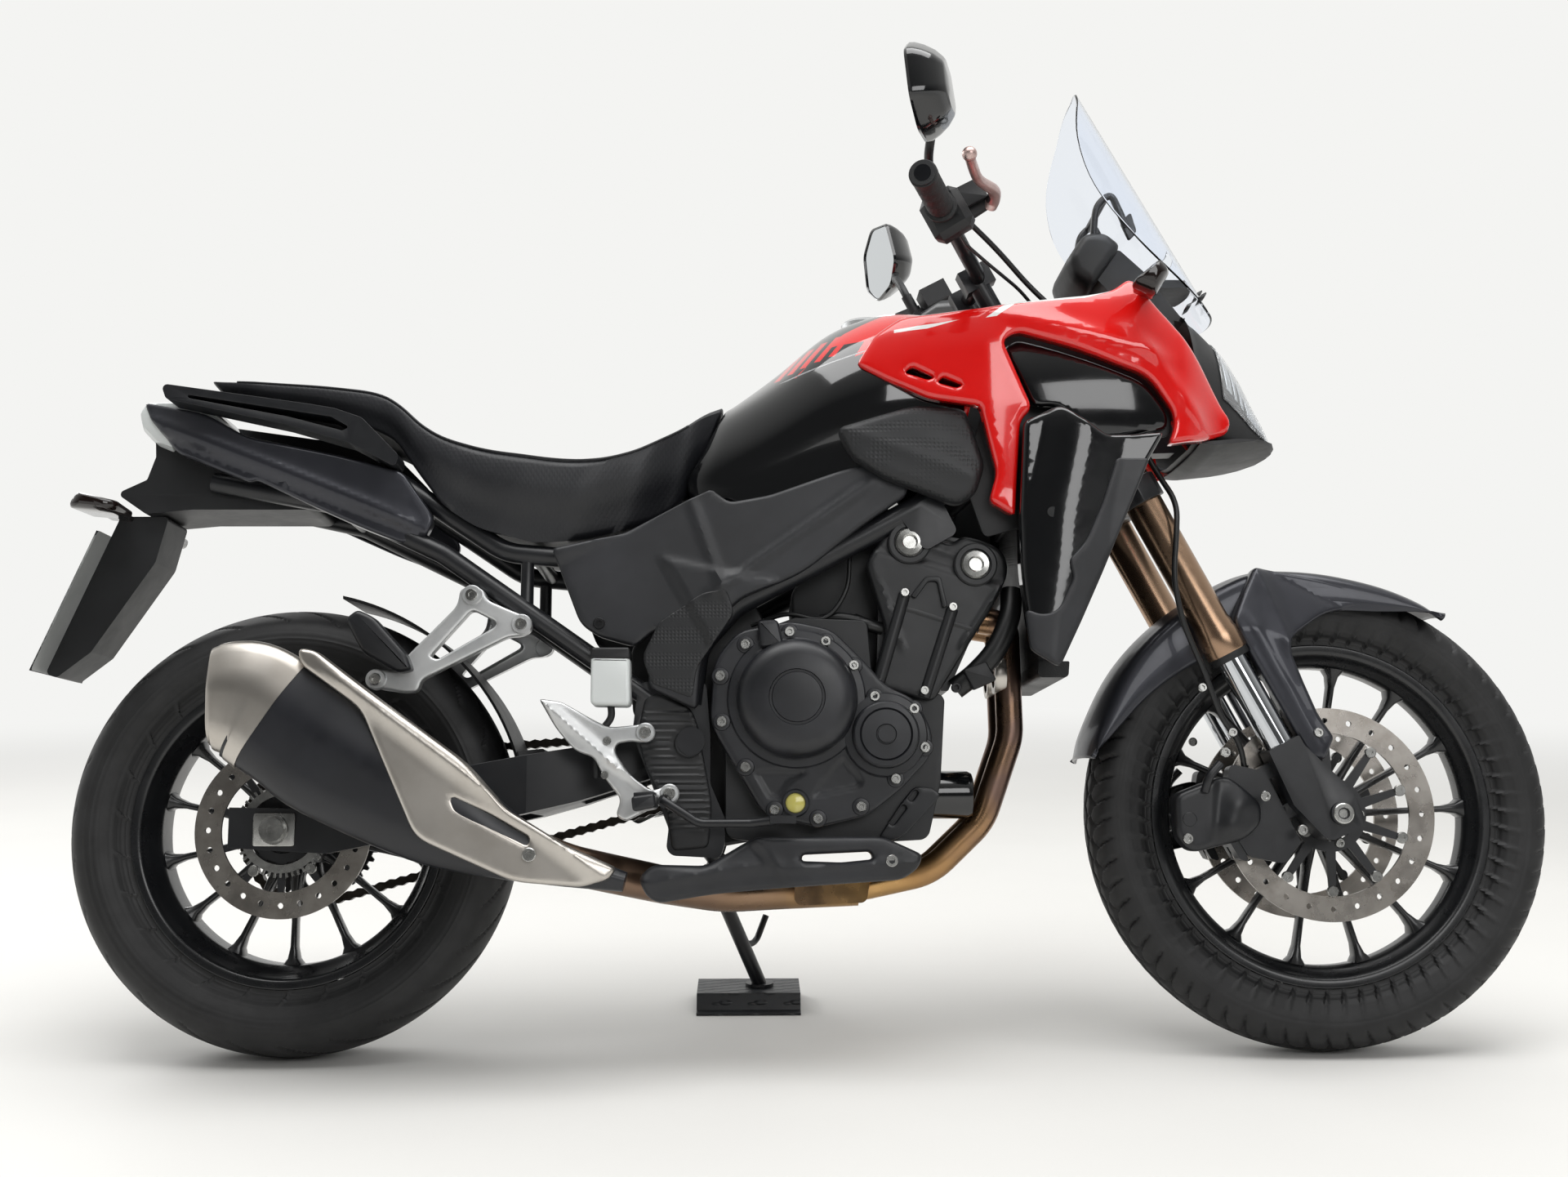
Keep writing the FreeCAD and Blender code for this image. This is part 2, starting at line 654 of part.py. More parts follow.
rear_axle_half = mm.rear_axle_length / 2
arm_face = mm.arm_inner + mm.arm_wall
rear_axle = fused([
    cross_rod(rear_x, mm.rear_radius, -rear_axle_half, rear_axle_half, mm.axle_radius),
    cross_rod(rear_x, mm.rear_radius, -mm.arm_inner + 0.3, -mm.rear_disc_offset - disc_half - 0.7, 16),
    cross_rod(rear_x, mm.rear_radius, mm.chain_offset + mm.sprocket_thickness / 2 + 0.7, mm.arm_inner - 0.3, 16),
    cross_rod(rear_x, mm.rear_radius, -rear_axle_half - 14, -arm_face - 0.3, mm.axle_nut_radius),
    cross_rod(rear_x, mm.rear_radius, arm_face + 0.3, rear_axle_half + 10, mm.axle_nut_radius)])
rear_axle = rear_axle.cut(cross_rod(rear_x, mm.rear_radius, -200, 200, mm.axle_radius * 0.6))
new_piece("rear_axle", [rear_axle])

# Rear brake caliper, on a bracket that the axle carries inside the right arm
caliper_angle = math.radians(62)
caliper_x = rear_x + 108 * math.cos(caliper_angle)
caliper_z = mm.rear_radius + 108 * math.sin(caliper_angle)
slot_gap = disc_half + 2
caliper = Part.makeBox(84, 44, 62, vec(-42, -22, -31))
caliper = caliper.cut(Part.makeBox(100, slot_gap * 2, 52, vec(-50, -slot_gap, -32)))
caliper.rotate(vec(0, 0, 0), AXIS_Y, 28)
caliper.translate(vec(caliper_x, -mm.rear_disc_offset, caliper_z))
hanger = plate([(rear_x - 18, mm.rear_radius - 14, 8), (rear_x + 20, mm.rear_radius - 14, 8),
                (caliper_x + 18, caliper_z - 14, 6), (caliper_x - 22, caliper_z - 6, 6)], -mm.rear_disc_offset - 19, -mm.rear_disc_offset - 12)
hanger = hanger.cut(cross_rod(rear_x, mm.rear_radius, -200, 0, 16.3))
rear_caliper = fused([caliper, hanger])

# Fork and bars, in the steering frame

tube_low = axle_along + mm.tube_bottom
tube_high = axle_along + mm.fork_top
fork_half = mm.fork_spacing / 2


def along_leg(y, low, high, radius):
    return Part.makeCylinder(radius, high - low, steer(low, y, leg_ahead), AXIS_Z)


slider_foot = axle_along + mm.lug_top - 16
leg = fused([along_leg(fork_half, tube_low, tube_high, mm.outer_tube_radius),
             along_leg(fork_half, tube_low - mm.collar_length, tube_low, mm.collar_radius),
             along_leg(fork_half, slider_foot, tube_low - mm.collar_length, mm.slider_radius)])
new_piece("fork_legs", both_sides([leg]), STEERING)

lug_inner = mm.front_disc_offset + disc_half + 5.5
lug_outer = fork_half + 25


def casting_view(ahead, along):
    return (axle_ahead + ahead, axle_along + along)


casting = plate([casting_view(-34, -26) + (16,), casting_view(24, -30) + (18,), casting_view(30, 18) + (18,),
                 casting_view(2, 104) + (4,), casting_view(2, 120) + (3,), casting_view(-46, 120) + (3,),
                 casting_view(-52, 40) + (10,)], lug_inner, lug_outer)
caliper_lugs = [plate([casting_view(-40, low) + (2,), casting_view(-72, low) + (4,), casting_view(-72, low + 20) + (4,),
                       casting_view(-40, low + 20) + (2,)], 82, fork_half) for low in (24, 84)]
casting = fused([casting] + caliper_lugs).cut(along_leg(fork_half, axle_along + mm.lug_top - 16, axle_along + 200, mm.slider_radius))
front_axle_half = mm.front_axle_length / 2
casting_pair = both_sides([casting])
front_axle = cross_rod(axle_ahead, axle_along, -front_axle_half - 4, front_axle_half + 4, mm.axle_radius)
spacers = both_sides([cross_rod(axle_ahead, axle_along, mm.front_disc_offset + disc_half + 0.7, lug_inner + 2, 16),
                      cross_rod(axle_ahead, axle_along, lug_outer - 2, lug_outer + 8, mm.axle_nut_radius)])
lowers = fused(casting_pair + [front_axle] + spacers)
lowers = lowers.cut(cross_rod(axle_ahead, axle_along, -200, 200, mm.axle_radius * 0.6))


def make_front_caliper():
    """Radially slotted caliper behind each leg, seen in the steering frame."""
    body = crowned([(-136, 6, 10), (-96, -26, 10), (-62, -10, 8), (-58, 96, 8), (-96, 128, 8), (-140, 72, 12)],
                   fork_half + 2, mm.front_disc_offset + disc_half + 2, 0.5)
    inner = crowned([(-128, 10, 10), (-96, -18, 10), (-70, -4, 8), (-66, 88, 8), (-96, 116, 8), (-132, 70, 12)],
                    mm.front_disc_offset - disc_half - 2, mm.front_disc_offset - disc_half - 18, 3)
    bridge = plate([(-148, 8, 4), (-138, -2, 4), (-136, 20, 2), (-138, 78, 2), (-132, 92, 4), (-150, 70, 4)],
                   mm.front_disc_offset - 18, fork_half)
    return body, inner, bridge


disc_clearance = mm.front_disc_radius + 3
caliper_parts = []
for shape in make_front_caliper():
    shape.translate(vec(axle_ahead, 0, axle_along))
    caliper_parts.append(shape)
front_caliper = fused(caliper_parts)
sweep = cross_rod(axle_ahead, axle_along, mm.front_disc_offset - disc_half - 2,
                  mm.front_disc_offset + disc_half + 2, disc_clearance)
front_caliper = front_caliper.cut(sweep).cut(casting)
front_caliper = max(front_caliper.Solids, key=lambda solid: solid.Volume)
new_piece("fork_lowers", [lowers] + both_sides([front_caliper]), STEERING)


def make_yokes():
    """Upper and lower yokes, joined by the stem that turns in the head tube."""
    yokes = new_body("triple_clamps", STEERING)
    ahead = leg_ahead
    reach = cells.fork_spacing / 2
    grip = cells.outer_tube_radius + 9
    for along in (axle_along + mm.lower_yoke, axle_along + mm.upper_yoke):
        deck = new_sketch(yokes, "XY_Plane", along)
        draw_polygon(deck, [
            (-26, -24), (-18, -58), (ahead - grip * 0.7, -reach - grip * 0.6), (ahead - grip * 0.2, -reach - grip),
            (ahead + grip * 0.6, -reach - grip * 0.7), (ahead + grip, -reach + 4), (ahead + 18, -52), (24, 0),
            (ahead + 18, 52), (ahead + grip, reach - 4), (ahead + grip * 0.6, reach + grip * 0.7),
            (ahead - grip * 0.2, reach + grip), (ahead - grip * 0.7, reach + grip * 0.6), (-18, 58), (-26, 24)])
        pad(yokes, deck, cells.yoke_thickness)
        doc.recompute()
    stem = new_sketch(yokes, "XY_Plane", axle_along + mm.lower_yoke)
    draw_circle(stem, 0, 0, cells.stem_radius)
    pad(yokes, stem, cells.upper_yoke - cells.lower_yoke, midplane=False)
    doc.recompute()
    bores = new_sketch(yokes, "XY_Plane", axle_along)
    for side in (-1, 1):
        draw_circle(bores, ahead, reach * side, cells.outer_tube_radius)
    pocket(yokes, bores, 2000, midplane=True)
    doc.recompute()
    return yokes


yokes = make_yokes()

clamp_along = axle_along + mm.bar_clamp
riser_base = axle_along + mm.upper_yoke + mm.yoke_thickness / 2
bar_line = [steer(clamp_along + mm.bar_rise, mm.bar_half_width, -mm.bar_setback - mm.bar_pullback),
            steer(clamp_along + mm.bar_rise * 0.72, mm.bar_half_width * 0.66, -mm.bar_setback - mm.bar_pullback * 0.58),
            steer(clamp_along + mm.bar_rise * 0.40, mm.bar_half_width * 0.34, -mm.bar_setback - mm.bar_pullback * 0.20),
            steer(clamp_along, mm.clamp_half_width + 16, -mm.bar_setback)]
bar_line = bar_line + [vec(point.x, -point.y, point.z) for point in reversed(bar_line)]
handlebar = pipe(bar_line, mm.bar_radius, 60)
risers = []
for side in (-1, 1):
    riser = Part.makeCylinder(15, clamp_along - riser_base, steer(riser_base, 50 * side, -mm.bar_setback), AXIS_Z)
    clamp = Part.makeBox(46, 28, 34, vec(-mm.bar_setback - 23, 50 * side - 14, clamp_along - 15))
    risers += [riser, clamp]
new_piece("handlebar", [fused([handlebar] + risers)], STEERING)

bar_end = bar_line[0]
bar_inner = bar_line[1]
bar_axis = (bar_end - bar_inner).normalize()


def along_bar(distance):
    """A point on the outer straight of the left bar, measured inwards from its end."""
    return bar_end - bar_axis * distance


grip = Part.makeCylinder(mm.grip_radius, mm.grip_length, along_bar(mm.grip_length - 6), bar_axis)
grip = grip.cut(handlebar)
housing = Part.makeBox(58, 44, 62, vec(-27, -22, -34))
housing = housing.makeChamfer(9, housing.Edges)
housing.rotate(vec(0, 0, 0), AXIS_Z, 18)
housing.translate(along_bar(mm.grip_length + 20))
housing = housing.cut(handlebar)
perch = rod(along_bar(mm.grip_length + 62) + vec(8, 0, 0), along_bar(mm.grip_length + 62) + vec(60, 0, 6), 10)
collar = rod(along_bar(mm.grip_length + 50), along_bar(mm.grip_length + 74), 17)
tank_cup = Part.makeBox(44, 50, 30, along_bar(mm.grip_length + 62) + vec(16, -32, 8))
perch = fused([perch, collar, tank_cup]).cut(handlebar)
lever = pipe([along_bar(mm.grip_length + 58) + vec(62, 8, 2), along_bar(mm.grip_length + 20) + vec(74, 0, 0),
              along_bar(mm.grip_length - 30) + vec(62, 0, 2), along_bar(30) + vec(66, 0, 8)], 5.5, 40)
lever_end = Part.makeSphere(9, along_bar(26) + vec(66, 0, 8))
perch = fused([perch, lever, lever_end])
new_piece("hand_controls", both_sides([grip, housing, perch]), STEERING)


def make_mirror():
    """Angular shell on a bent stem: outline in the glass plane, smaller towards its back."""
    glass = [(-70, -20, 14), (-38, -56, 16), (30, -62, 16), (72, -30, 14), (70, 34, 14), (20, 66, 18), (-50, 50, 14)]
    back = [(across * 0.55, up * 0.6, soft * 0.6) for across, up, soft in glass]
    shell = Part.makeLoft([outline(glass, front_plane(0)), outline(back, front_plane(44))], True, True)
    shell.rotate(vec(0, 0, 0), AXIS_Z, 16)
    shell.rotate(vec(0, 0, 0), AXIS_Y, mm.rake - 6)
    return shell


stem_foot = along_bar(mm.grip_length + 66)
mirror_centre = stem_foot + vec(14, 118, 148)
shell = make_mirror()
shell.translate(mirror_centre)
stalk = pipe([stem_foot + vec(-2, 0, 20), stem_foot + vec(2, 10, 62), stem_foot + vec(10, 62, 96),
              mirror_centre + vec(24, -26, -14)], 6, 30)
new_piece("mirrors", both_sides([fused([shell, stalk])]), STEERING)

# Brake hose and control cables, held at the bars, the yokes and the caliper
hose_route = [(1318, 200, -8), (1316, 156, -6), (1262, 118, 24), (1190, 92, 48), (1120, 92, 74), (1040, 98, 76),
              (930, 103, 72), (870, 106, 71), (822, 124, 70), (780, 142, 40), (730, 144, 6), (670, 136, -10),
              (600, 124, -14), (530, 112, -22), (488, 100, -12), (446, 90, -25)]
cable_route = [(1278, 258, -50), (1258, 240, -46), (1232, 190, -18), (1186, 122, 26), (1134, 76, 45), (1086, 64, 46)]


def lead(route, radius):
    """A hose or cable through (along, left, ahead) places of the steering frame, its arcs as large as they can be."""
    return pipe([steer(along, y, ahead) for along, y, ahead in route], radius, mm.lead_bend)


brake_hose = lead(hose_route, mm.hose_radius).cut(fused([perch, front_caliper]))
brake_hose = max(brake_hose.Solids, key=lambda solid: solid.Volume)
cable = lead(cable_route, mm.cable_radius).cut(fused([housing, yokes.Shape]))
cable = max(cable.Solids, key=lambda solid: solid.Volume)
new_piece("control_cables", [brake_hose.mirror(vec(0, 0, 0), AXIS_Y)] + both_sides([cable]), STEERING)


def make_fender():
    """Mudguard that hugs the front tyre, with a peaked front and a wing before each leg."""
    wall = mm.panel_wall
    over = mm.front_radius
    half = 69
    ring = [(-half, over - 14), (-half, over + 8), (-half * 0.7, over + 20), (0, over + 27), (half * 0.7, over + 20),
            (half, over + 8), (half, over - 14), (half - wall, over - 14), (half - wall, over + 6),
            (half * 0.66, over + 16), (0, over + 23), (-half * 0.66, over + 16), (-half + wall, over + 6),
            (-half + wall, over - 14)]
    wire = Part.makePolygon([vec(radius, y, 0) for y, radius in ring + ring[:1]])
    guard = Part.Face(wire).revolve(vec(0, 0, 0), AXIS_Y, -112)
    guard.rotate(vec(0, 0, 0), AXIS_Y, -56)
    guard.translate(vec(FRONT_STATION, 0, mm.front_radius))
    wing = crowned([(1322, 660, 8), (1368, 684, 8), (1452, 640, 20), (1424, 560, 20), (1462, 446, 8),
                    (1434, 438, 8), (1398, 500, 10), (1338, 606, 10)], mm.front_disc_offset + 10, half + 42, 12)
    bridge = plate([(1334, 650, 6), (1368, 672, 6), (1436, 640, 10), (1400, 560, 8), (1372, 580, 8)],
                   half - wall, mm.front_disc_offset + 11)
    lug = cross_rod(1271, 615, half - wall, half + 20, 12)
    return fused(both_sides([wing, bridge, lug]) + [guard])


leg_pair = Part.makeCompound(both_sides([leg]))
leg_pair.Placement = STEERING
new_piece("front_fender", [make_fender().cut(leg_pair)])

# Frame

half = mm.frame_half_width
head_low = axle_along + mm.lower_yoke + mm.yoke_thickness / 2 + 0.4
head_high = axle_along + mm.upper_yoke - mm.yoke_thickness / 2 - 0.4


def at_head(along, y):
    """A point of the upright machine on the steering axis, moved sideways."""
    return STEERING.multVec(steer(along, y, 0))


head_tube = Part.makeCylinder(mm.head_tube_radius, head_high - head_low, steer(head_low, 0, 0), AXIS_Z)
head_tube.Placement = STEERING
stem_bore = Part.makeCylinder(mm.stem_radius + 0.4, 400, steer(head_low - 50, 0, 0), AXIS_Z)
stem_bore.Placement = STEERING
spar = pipe([at_head(head_low + 80, 16), vec(1022, 48, 864), vec(944, 112, 802), vec(869, half, 752), vec(616, half, 616),
             vec(566, half, 560), vec(556, half, 480)], mm.frame_tube_radius, 60)
plate_outline = [(486, 510, 12), (478, 440, 20), (528, 312, 16), (524, 276, 14), (598, 272, 10), (603.7, 290, 4), (603.7, 326, 6),
                 (584, 372, 20), (584, 440, 14), (578, 512, 12)]
pivot_plate = plate(plate_outline, mm.pivot_plate_inner, mm.pivot_plate_inner + mm.pivot_plate)
pivot_plate = pivot_plate.cut(cross_rod(mm.pivot_x, mm.pivot_height, 0, 300, mm.axle_radius))
hanger_plate = plate([(842, 742, 6), (898, 772, 6), (926, 716, 10), (880, 690, 10)], mm.head_half_width + 26.3, half + 16)
side_frame = [spar, pivot_plate, hanger_plate]
cross_tubes = [cross_rod(548, 296, -mm.pivot_plate_inner - 2, mm.pivot_plate_inner + 2, 13),
               cross_rod(600, 616, -half, half, 12)]
shock_mount = plate([(588, 628, 6), (612, 628, 6), (566, 588, 8), (540, 596, 8)], -20, 20)
fairing_stay = plate([(1122, 852, 2), (1262, 856, 2), (1262, 900, 6), (1116, 893, 2)], -18, 18)
main_frame = fused(both_sides(side_frame) + [head_tube, fairing_stay] + cross_tubes + [shock_mount]).cut(stem_bore)
pivot_cap = cross_rod(mm.pivot_x, mm.pivot_height, mm.pivot_plate_inner + mm.pivot_plate + 0.3,
                      mm.pivot_plate_inner + mm.pivot_plate + 9, 19)

rail_y = half - 12
upper_rail = pipe([vec(612, rail_y + 6, 622), vec(470, rail_y, 676), vec(300, rail_y, 692), vec(130, rail_y - 24, 806),
                   vec(-120, rail_y - 44, 862)], mm.rail_radius, 80)
lower_rail = pipe([vec(502, rail_y + 6, 488), vec(214, rail_y, 690), vec(60, rail_y - 20, 764),
                   vec(-120, rail_y - 44, 800)], mm.rail_radius, 70)
cross_rails = [cross_rod(-100, 858, -rail_y + 44, rail_y - 44, 9), cross_rod(60, 764, -rail_y + 22, rail_y - 22, 9),
               cross_rod(340, 690, -rail_y, rail_y, 10)]
struts = [rod(vec(330, rail_y, 690), vec(330, rail_y, 611), 9), rod(vec(20, 78, 828), vec(20, 84, 776), 9)]
subframe = fused(both_sides([upper_rail, lower_rail] + struts) + cross_rails)

shock_foot = vec(478, 0, 372)
shock_head = vec(552, 0, 592)
shock_line = (shock_head - shock_foot).normalize()
shock = fused([rod(shock_foot, shock_head, 12), rod(shock_foot + shock_line * 30, shock_head - shock_line * 46, 33),
               cross_rod(shock_foot.x, shock_foot.z, -49.7, 49.7, 9)])
shock = shock.cut(main_frame)
new_piece("rear_shock", [max(shock.Solids, key=lambda solid: solid.Volume)])

# Engine

case_view = [(604, 300, 14), (690, 286, 14), (880, 296, 16), (898, 372, 20), (906, 494, 12), (808, 500, 4),
             (800, 596, 10), (700, 600, 16), (640, 578, 16), (604, 520, 14)]
engine_case = plate(case_view, -mm.case_half_width, mm.case_half_width)
sprocket_cave = plate([(560, 352, 1), (676, 372, 20), (712, 425, 36), (676, 482, 20), (560, 472, 1)],
                      mm.chain_offset - 16, mm.case_half_width + 1)
engine_case = engine_case.cut(sprocket_cave)

head_view = [(812, 503, 4), (912, 499, 4), (952, 586, 12), (986, 656, 12), (984, 690, 14), (954, 710, 16),
             (886, 720, 16), (846, 736, 14), (814, 704, 14), (818, 640, 10)]
cylinder_head = plate(head_view, -mm.head_half_width, mm.head_half_width)
rib_faces = []
for side in (-1, 1):
    band = crowned([(836, 520, 8), (902, 516, 8), (936, 600, 12), (850, 612, 12)], side * mm.head_half_width,
                   side * (mm.head_half_width + 16), 8)
    cap = crowned([(826, 640, 14), (974, 628, 14), (978, 684, 18), (950, 704, 18), (884, 716, 18), (848, 728, 14),
                   (824, 702, 14)], side * mm.head_half_width, side * (mm.head_half_width + 20), 8)
    rib_faces += [band, cap]
cam_plugs = []
for plug_x, plug_z in ((856, 700), (950, 668)):
    cam_plugs.append(cross_rod(plug_x, plug_z, mm.head_half_width + 19, mm.head_half_width + 26, 17))
cylinder_head = fused([cylinder_head] + rib_faces + both_sides(cam_plugs))
new_piece("cylinder_head", [cylinder_head])

# Clutch cover on the right: flange plate, stepped dome and the small cover ahead of it
engine_covers = new_body("engine_covers")
clutch_x = cells.clutch_x
clutch_z = cells.clutch_height
flange = new_sketch(engine_covers, "XZ_Plane", cells.case_half_width)
draw_polygon(flange, [(612, 470), (622, 575), (660, 592), (750, 580), (794, 540), (826, 500), (850, 440), (842, 366),
                      (800, 326), (738, 308), (668, 318), (622, 392)])
pad(engine_covers, flange, cells.cover_depth, midplane=False)
doc.recompute()
dome = new_sketch(engine_covers, "XZ_Plane", cells.case_half_width + cells.cover_depth)
draw_circle(dome, clutch_x, clutch_z, cells.dome_radius)
pad(engine_covers, dome, cells.dome_depth * 0.45, midplane=False)
doc.recompute()
cap = new_sketch(engine_covers, "XZ_Plane", cells.case_half_width + cells.cover_depth + cells.dome_depth * 0.45)
draw_circle(cap, clutch_x, clutch_z, cells.dome_radius - 11)
pad(engine_covers, cap, cells.dome_depth * 0.55, midplane=False)
doc.recompute()
side_cap = new_sketch(engine_covers, "XZ_Plane", cells.case_half_width + cells.cover_depth)
draw_circle(side_cap, 812, 424, 40)
pad(engine_covers, side_cap, 18, midplane=False)
doc.recompute()

# Generator and sprocket covers on the left
left_flange = new_sketch(engine_covers, "XZ_Plane", -cells.case_half_width)
draw_polygon(left_flange, [(724, 330), (780, 312), (850, 340), (874, 410), (856, 490), (790, 530), (728, 500)])
pad(engine_covers, left_flange, cells.cover_depth, midplane=False, reverse=True)
doc.recompute()
left_dome = new_sketch(engine_covers, "XZ_Plane", -(cells.case_half_width + cells.cover_depth))
draw_circle(left_dome, 796, cells.generator_height, 62)
pad(engine_covers, left_dome, 22, midplane=False, reverse=True)
doc.recompute()
sprocket_cover = crowned([(606, 352, 14), (690, 340, 20), (716, 372, 14), (718, 480, 14), (680, 506, 20),
                          (606, 486, 14)], mm.case_half_width + 0.5, mm.case_half_width + 26, 10)
new_piece("sprocket_cover", [sprocket_cover])
oil_filter = Part.makeCylinder(33, 56, vec(890, 0, 361), AXIS_X)
new_piece("engine_case", [fused([engine_case, oil_filter])])

radiator_view = [(1034, 520, 4), (1066, 520, 4), (1054, 762, 4), (1022, 760, 4)]
radiator = fused([plate(radiator_view, -140, 140),
                  plate([(1030, 514, 6), (1072, 514, 6), (1074, 536, 2), (1032, 536, 2)], -148, 148),
                  plate([(1018, 752, 2), (1058, 754, 2), (1056, 776, 6), (1016, 774, 6)], -148, 148)])
hangers = both_sides([rod(vec(1036, 60, 770), vec(1010, 58, 858), 6), cross_rod(1048, 590, 138, 217.7, 7),
                      cross_rod(1044, 730, 138, 217.7, 7)])
radiator = fused([radiator] + hangers).cut(main_frame)
new_piece("radiator", [max(radiator.Solids, key=lambda solid: solid.Volume)])

# Exhaust

spread = mm.header_spacing / 2
headers = []
for side in (-1, 1):
    headers.append(pipe([vec(966, spread * side, 606), vec(1003, spread * side, 600), vec(1006, spread * side, 440),
                         vec(964, spread * side, 322), vec(890, spread * side, 252), vec(800, spread * side * 0.62, 232),
                         vec(752, spread * side * 0.5, 228)], mm.header_radius, 90))
collector = pipe([vec(790, 0, 230), vec(690, 0, 226), vec(600, -18, 222), vec(520, -74, 236), vec(452, -132, 252),
                  vec(396, -mm.silencer_y, 266), vec(346, -mm.silencer_y, 288)], mm.midpipe_radius, 120)
box = plate([(700, 206, 10), (800, 210, 10), (806, 250, 10), (700, 248, 10)], -52, 52)
exhaust = fused(headers + [box, collector])
exhaust = exhaust.cut(cylinder_head)
new_piece("exhaust_headers", [max(exhaust.Solids, key=lambda solid: solid.Volume)])

muffler_foot = vec(380, -mm.silencer_y, 272)
muffler_line = vec(-425, 0, 202).normalize()
muffler_up = vec(-muffler_line.z, 0, muffler_line.x) * -1


def muffler_wire(gone, low, high, narrow=1.0, bulge=0.0):
    """Soft-cornered section across the muffler's axis, from low to high of it."""
    centre = muffler_foot + muffler_line * gone
    wide = mm.silencer_width / 2 * narrow
    corners = [(-wide, low + 12, 14), (0, low, 30), (wide, low + 12, 14), (wide, high - 14, 16), (0, high, 40),
               (-wide, high - 14, 16)]
    return outline(corners, lambda point: centre + AXIS_Y * point.x + muffler_up * point.y)


muffler = Part.makeLoft([muffler_wire(30, -32, 36, 0.62), muffler_wire(70, -46, 46, 0.8),
                         muffler_wire(240, -64, 78), muffler_wire(412, -60, 97)], True, True)
end_cap = Part.makeLoft([muffler_wire(412.3, -60, 97), muffler_wire(474, -36, 86, 0.78)], True, True)
outlet_centre = muffler_foot + muffler_line * 500
outlet = rod(outlet_centre + muffler_up * -6, outlet_centre - muffler_line * 60 + muffler_up * -6, 22)
end_cap = end_cap.cut(outlet)
muffler = muffler.cut(exhaust)
muffler = max(muffler.Solids, key=lambda solid: solid.Volume)
new_piece("muffler", [muffler, end_cap])

shield_view = [(52, 544, 6), (70, 541, 8), (146, 484, 8), (272, 398, 8), (322, 336, 14), (394, 292, 10),
               (458, 266, 8), (452, 244, 8), (332, 242, 14), (212, 292, 20), (160, 408, 10), (138, 458, 8)]
shield_y = -mm.silencer_y - mm.silencer_width / 2 - 0.5
shield = crowned(shield_view, shield_y, shield_y - 10, 4)
slot = plate([(252, 344, 4), (344, 296, 4), (350, 302, 3), (258, 352, 4)], shield_y - 20, shield_y + 2)

guard_view = [(490, 222, 8), (500, 258, 8), (578, 262, 8), (638, 297, 8), (812, 299, 8), (842, 288, 6), (866, 268, 8),
              (840, 244, 10), (686, 232, 10), (588, 224, 10), (517, 212, 10)]
guard = crowned(guard_view, -mm.midpipe_radius - 100, -mm.midpipe_radius - 122, 7).cut(exhaust)
guard_slot = plate([(700, 262, 3), (790, 262, 3), (796, 272, 3), (704, 272, 3)], -200, -100)
guard = guard.cut(guard_slot)
new_piece("exhaust_guards", [shield.cut(slot), max(guard.Solids, key=lambda solid: solid.Volume)])

# Bodywork

seat_view = [(-125, 944, 12), (-99, 948, 20), (122, 925, 20), (158, 898, 20), (191, 869, 20), (272, 839, 60),
             (365, 827, 60), (428, 825, 60), (505, 857, 30), (562, 899, 12), (593, 922, 10), (604, 913, 8),
             (549, 780, 12), (497, 735, 20), (390, 706, 30), (340, 702, 20), (290, 716, 20), (256, 726, 8),
             (210, 755, 10), (172, 812, 10), (146, 855, 8), (117, 870, 8), (60, 892, 10), (-103, 924, 8)]
seat_core = plate(seat_view, -96, 96)
seat_flank = crowned(seat_view, 96, mm.seat_half_width, 14)
nose_trim = plate([(500, 700, 1), (640, 700, 1), (640, 1000, 1), (520, 1000, 1)], 112, 200)
tail_trim = plate([(-200, 700, 1), (148, 700, 1), (148, 1000, 1), (-200, 1000, 1)], 122, 200)
seat = fused([seat_core] + both_sides([seat_flank.cut(nose_trim).cut(tail_trim)]))
seat = seat.cut(fused(both_sides([upper_rail])))
new_piece("seat", [max(seat.Solids, key=lambda solid: solid.Volume)])

tank_sections = [section(556, 782, 846, 60, 78, 60, 0.5), section(604, 778, 918, 66, 92, 52, 0.42),
                 section(690, 780, 990, 84, 128, 66, 0.42), section(775, 800, 1040, 96, 148, 84, 0.4),
                 section(870, 838, 1052, 100, 150, 96, 0.4), section(940, 868, 1051, 92, 146, 92, 0.4)]
tank = Part.makeLoft(tank_sections, True, True)
tank = tank.cut(plate(inset(seat_view, -mm.seam), -200, 200))
tank = max(tank.Solids, key=lambda solid: solid.Volume)
tank_lugs = both_sides([rod(vec(860, 112, 750), vec(860, 112, 880), 10)])
tank = fused([tank] + tank_lugs).cut(main_frame)
tank = max(tank.Solids, key=lambda solid: solid.Volume)
cap_seat = Part.makeCylinder(36, 16, vec(812, 0, 1037), AXIS_Z)
tank = tank.fuse(cap_seat).removeSplitter()
new_piece("fuel_tank", [tank])

pad_view = [(758, 858, 12), (865, 889, 16), (936, 885, 14), (962, 806, 10), (949, 766, 10), (924, 749, 14),
            (864, 773, 20), (822, 788, 12), (779, 817, 10)]
knee_pad = dished(pad_view, 141.3, 178, 12, 5)
knee_pad = fused([knee_pad, cross_rod(890, 850, 100, 174, 9)]).cut(tank)
new_piece("knee_pads", both_sides([max(knee_pad.Solids, key=lambda solid: solid.Volume)]))

cover_view = [(368, 692, 6), (465, 712, 10), (551, 758, 10), (585, 775, 4), (610, 757, 8), (665, 767, 10),
              (758, 800, 8), (776, 790, 8), (820, 772, 8), (846, 762, 6), (788, 721, 30), (709, 657, 30),
              (620, 621, 20), (594, 582, 16), (571, 532, 16), (567, 470, 10), (499, 502, 12), (511, 570, 10),
              (470, 556, 10), (434, 570, 10), (407, 588, 12)]
side_cover = dished(cover_view, 141.3, 158, 6, mm.panel_wall)
new_piece("side_covers", both_sides([side_cover.cut(fused([seat, tank]))]))

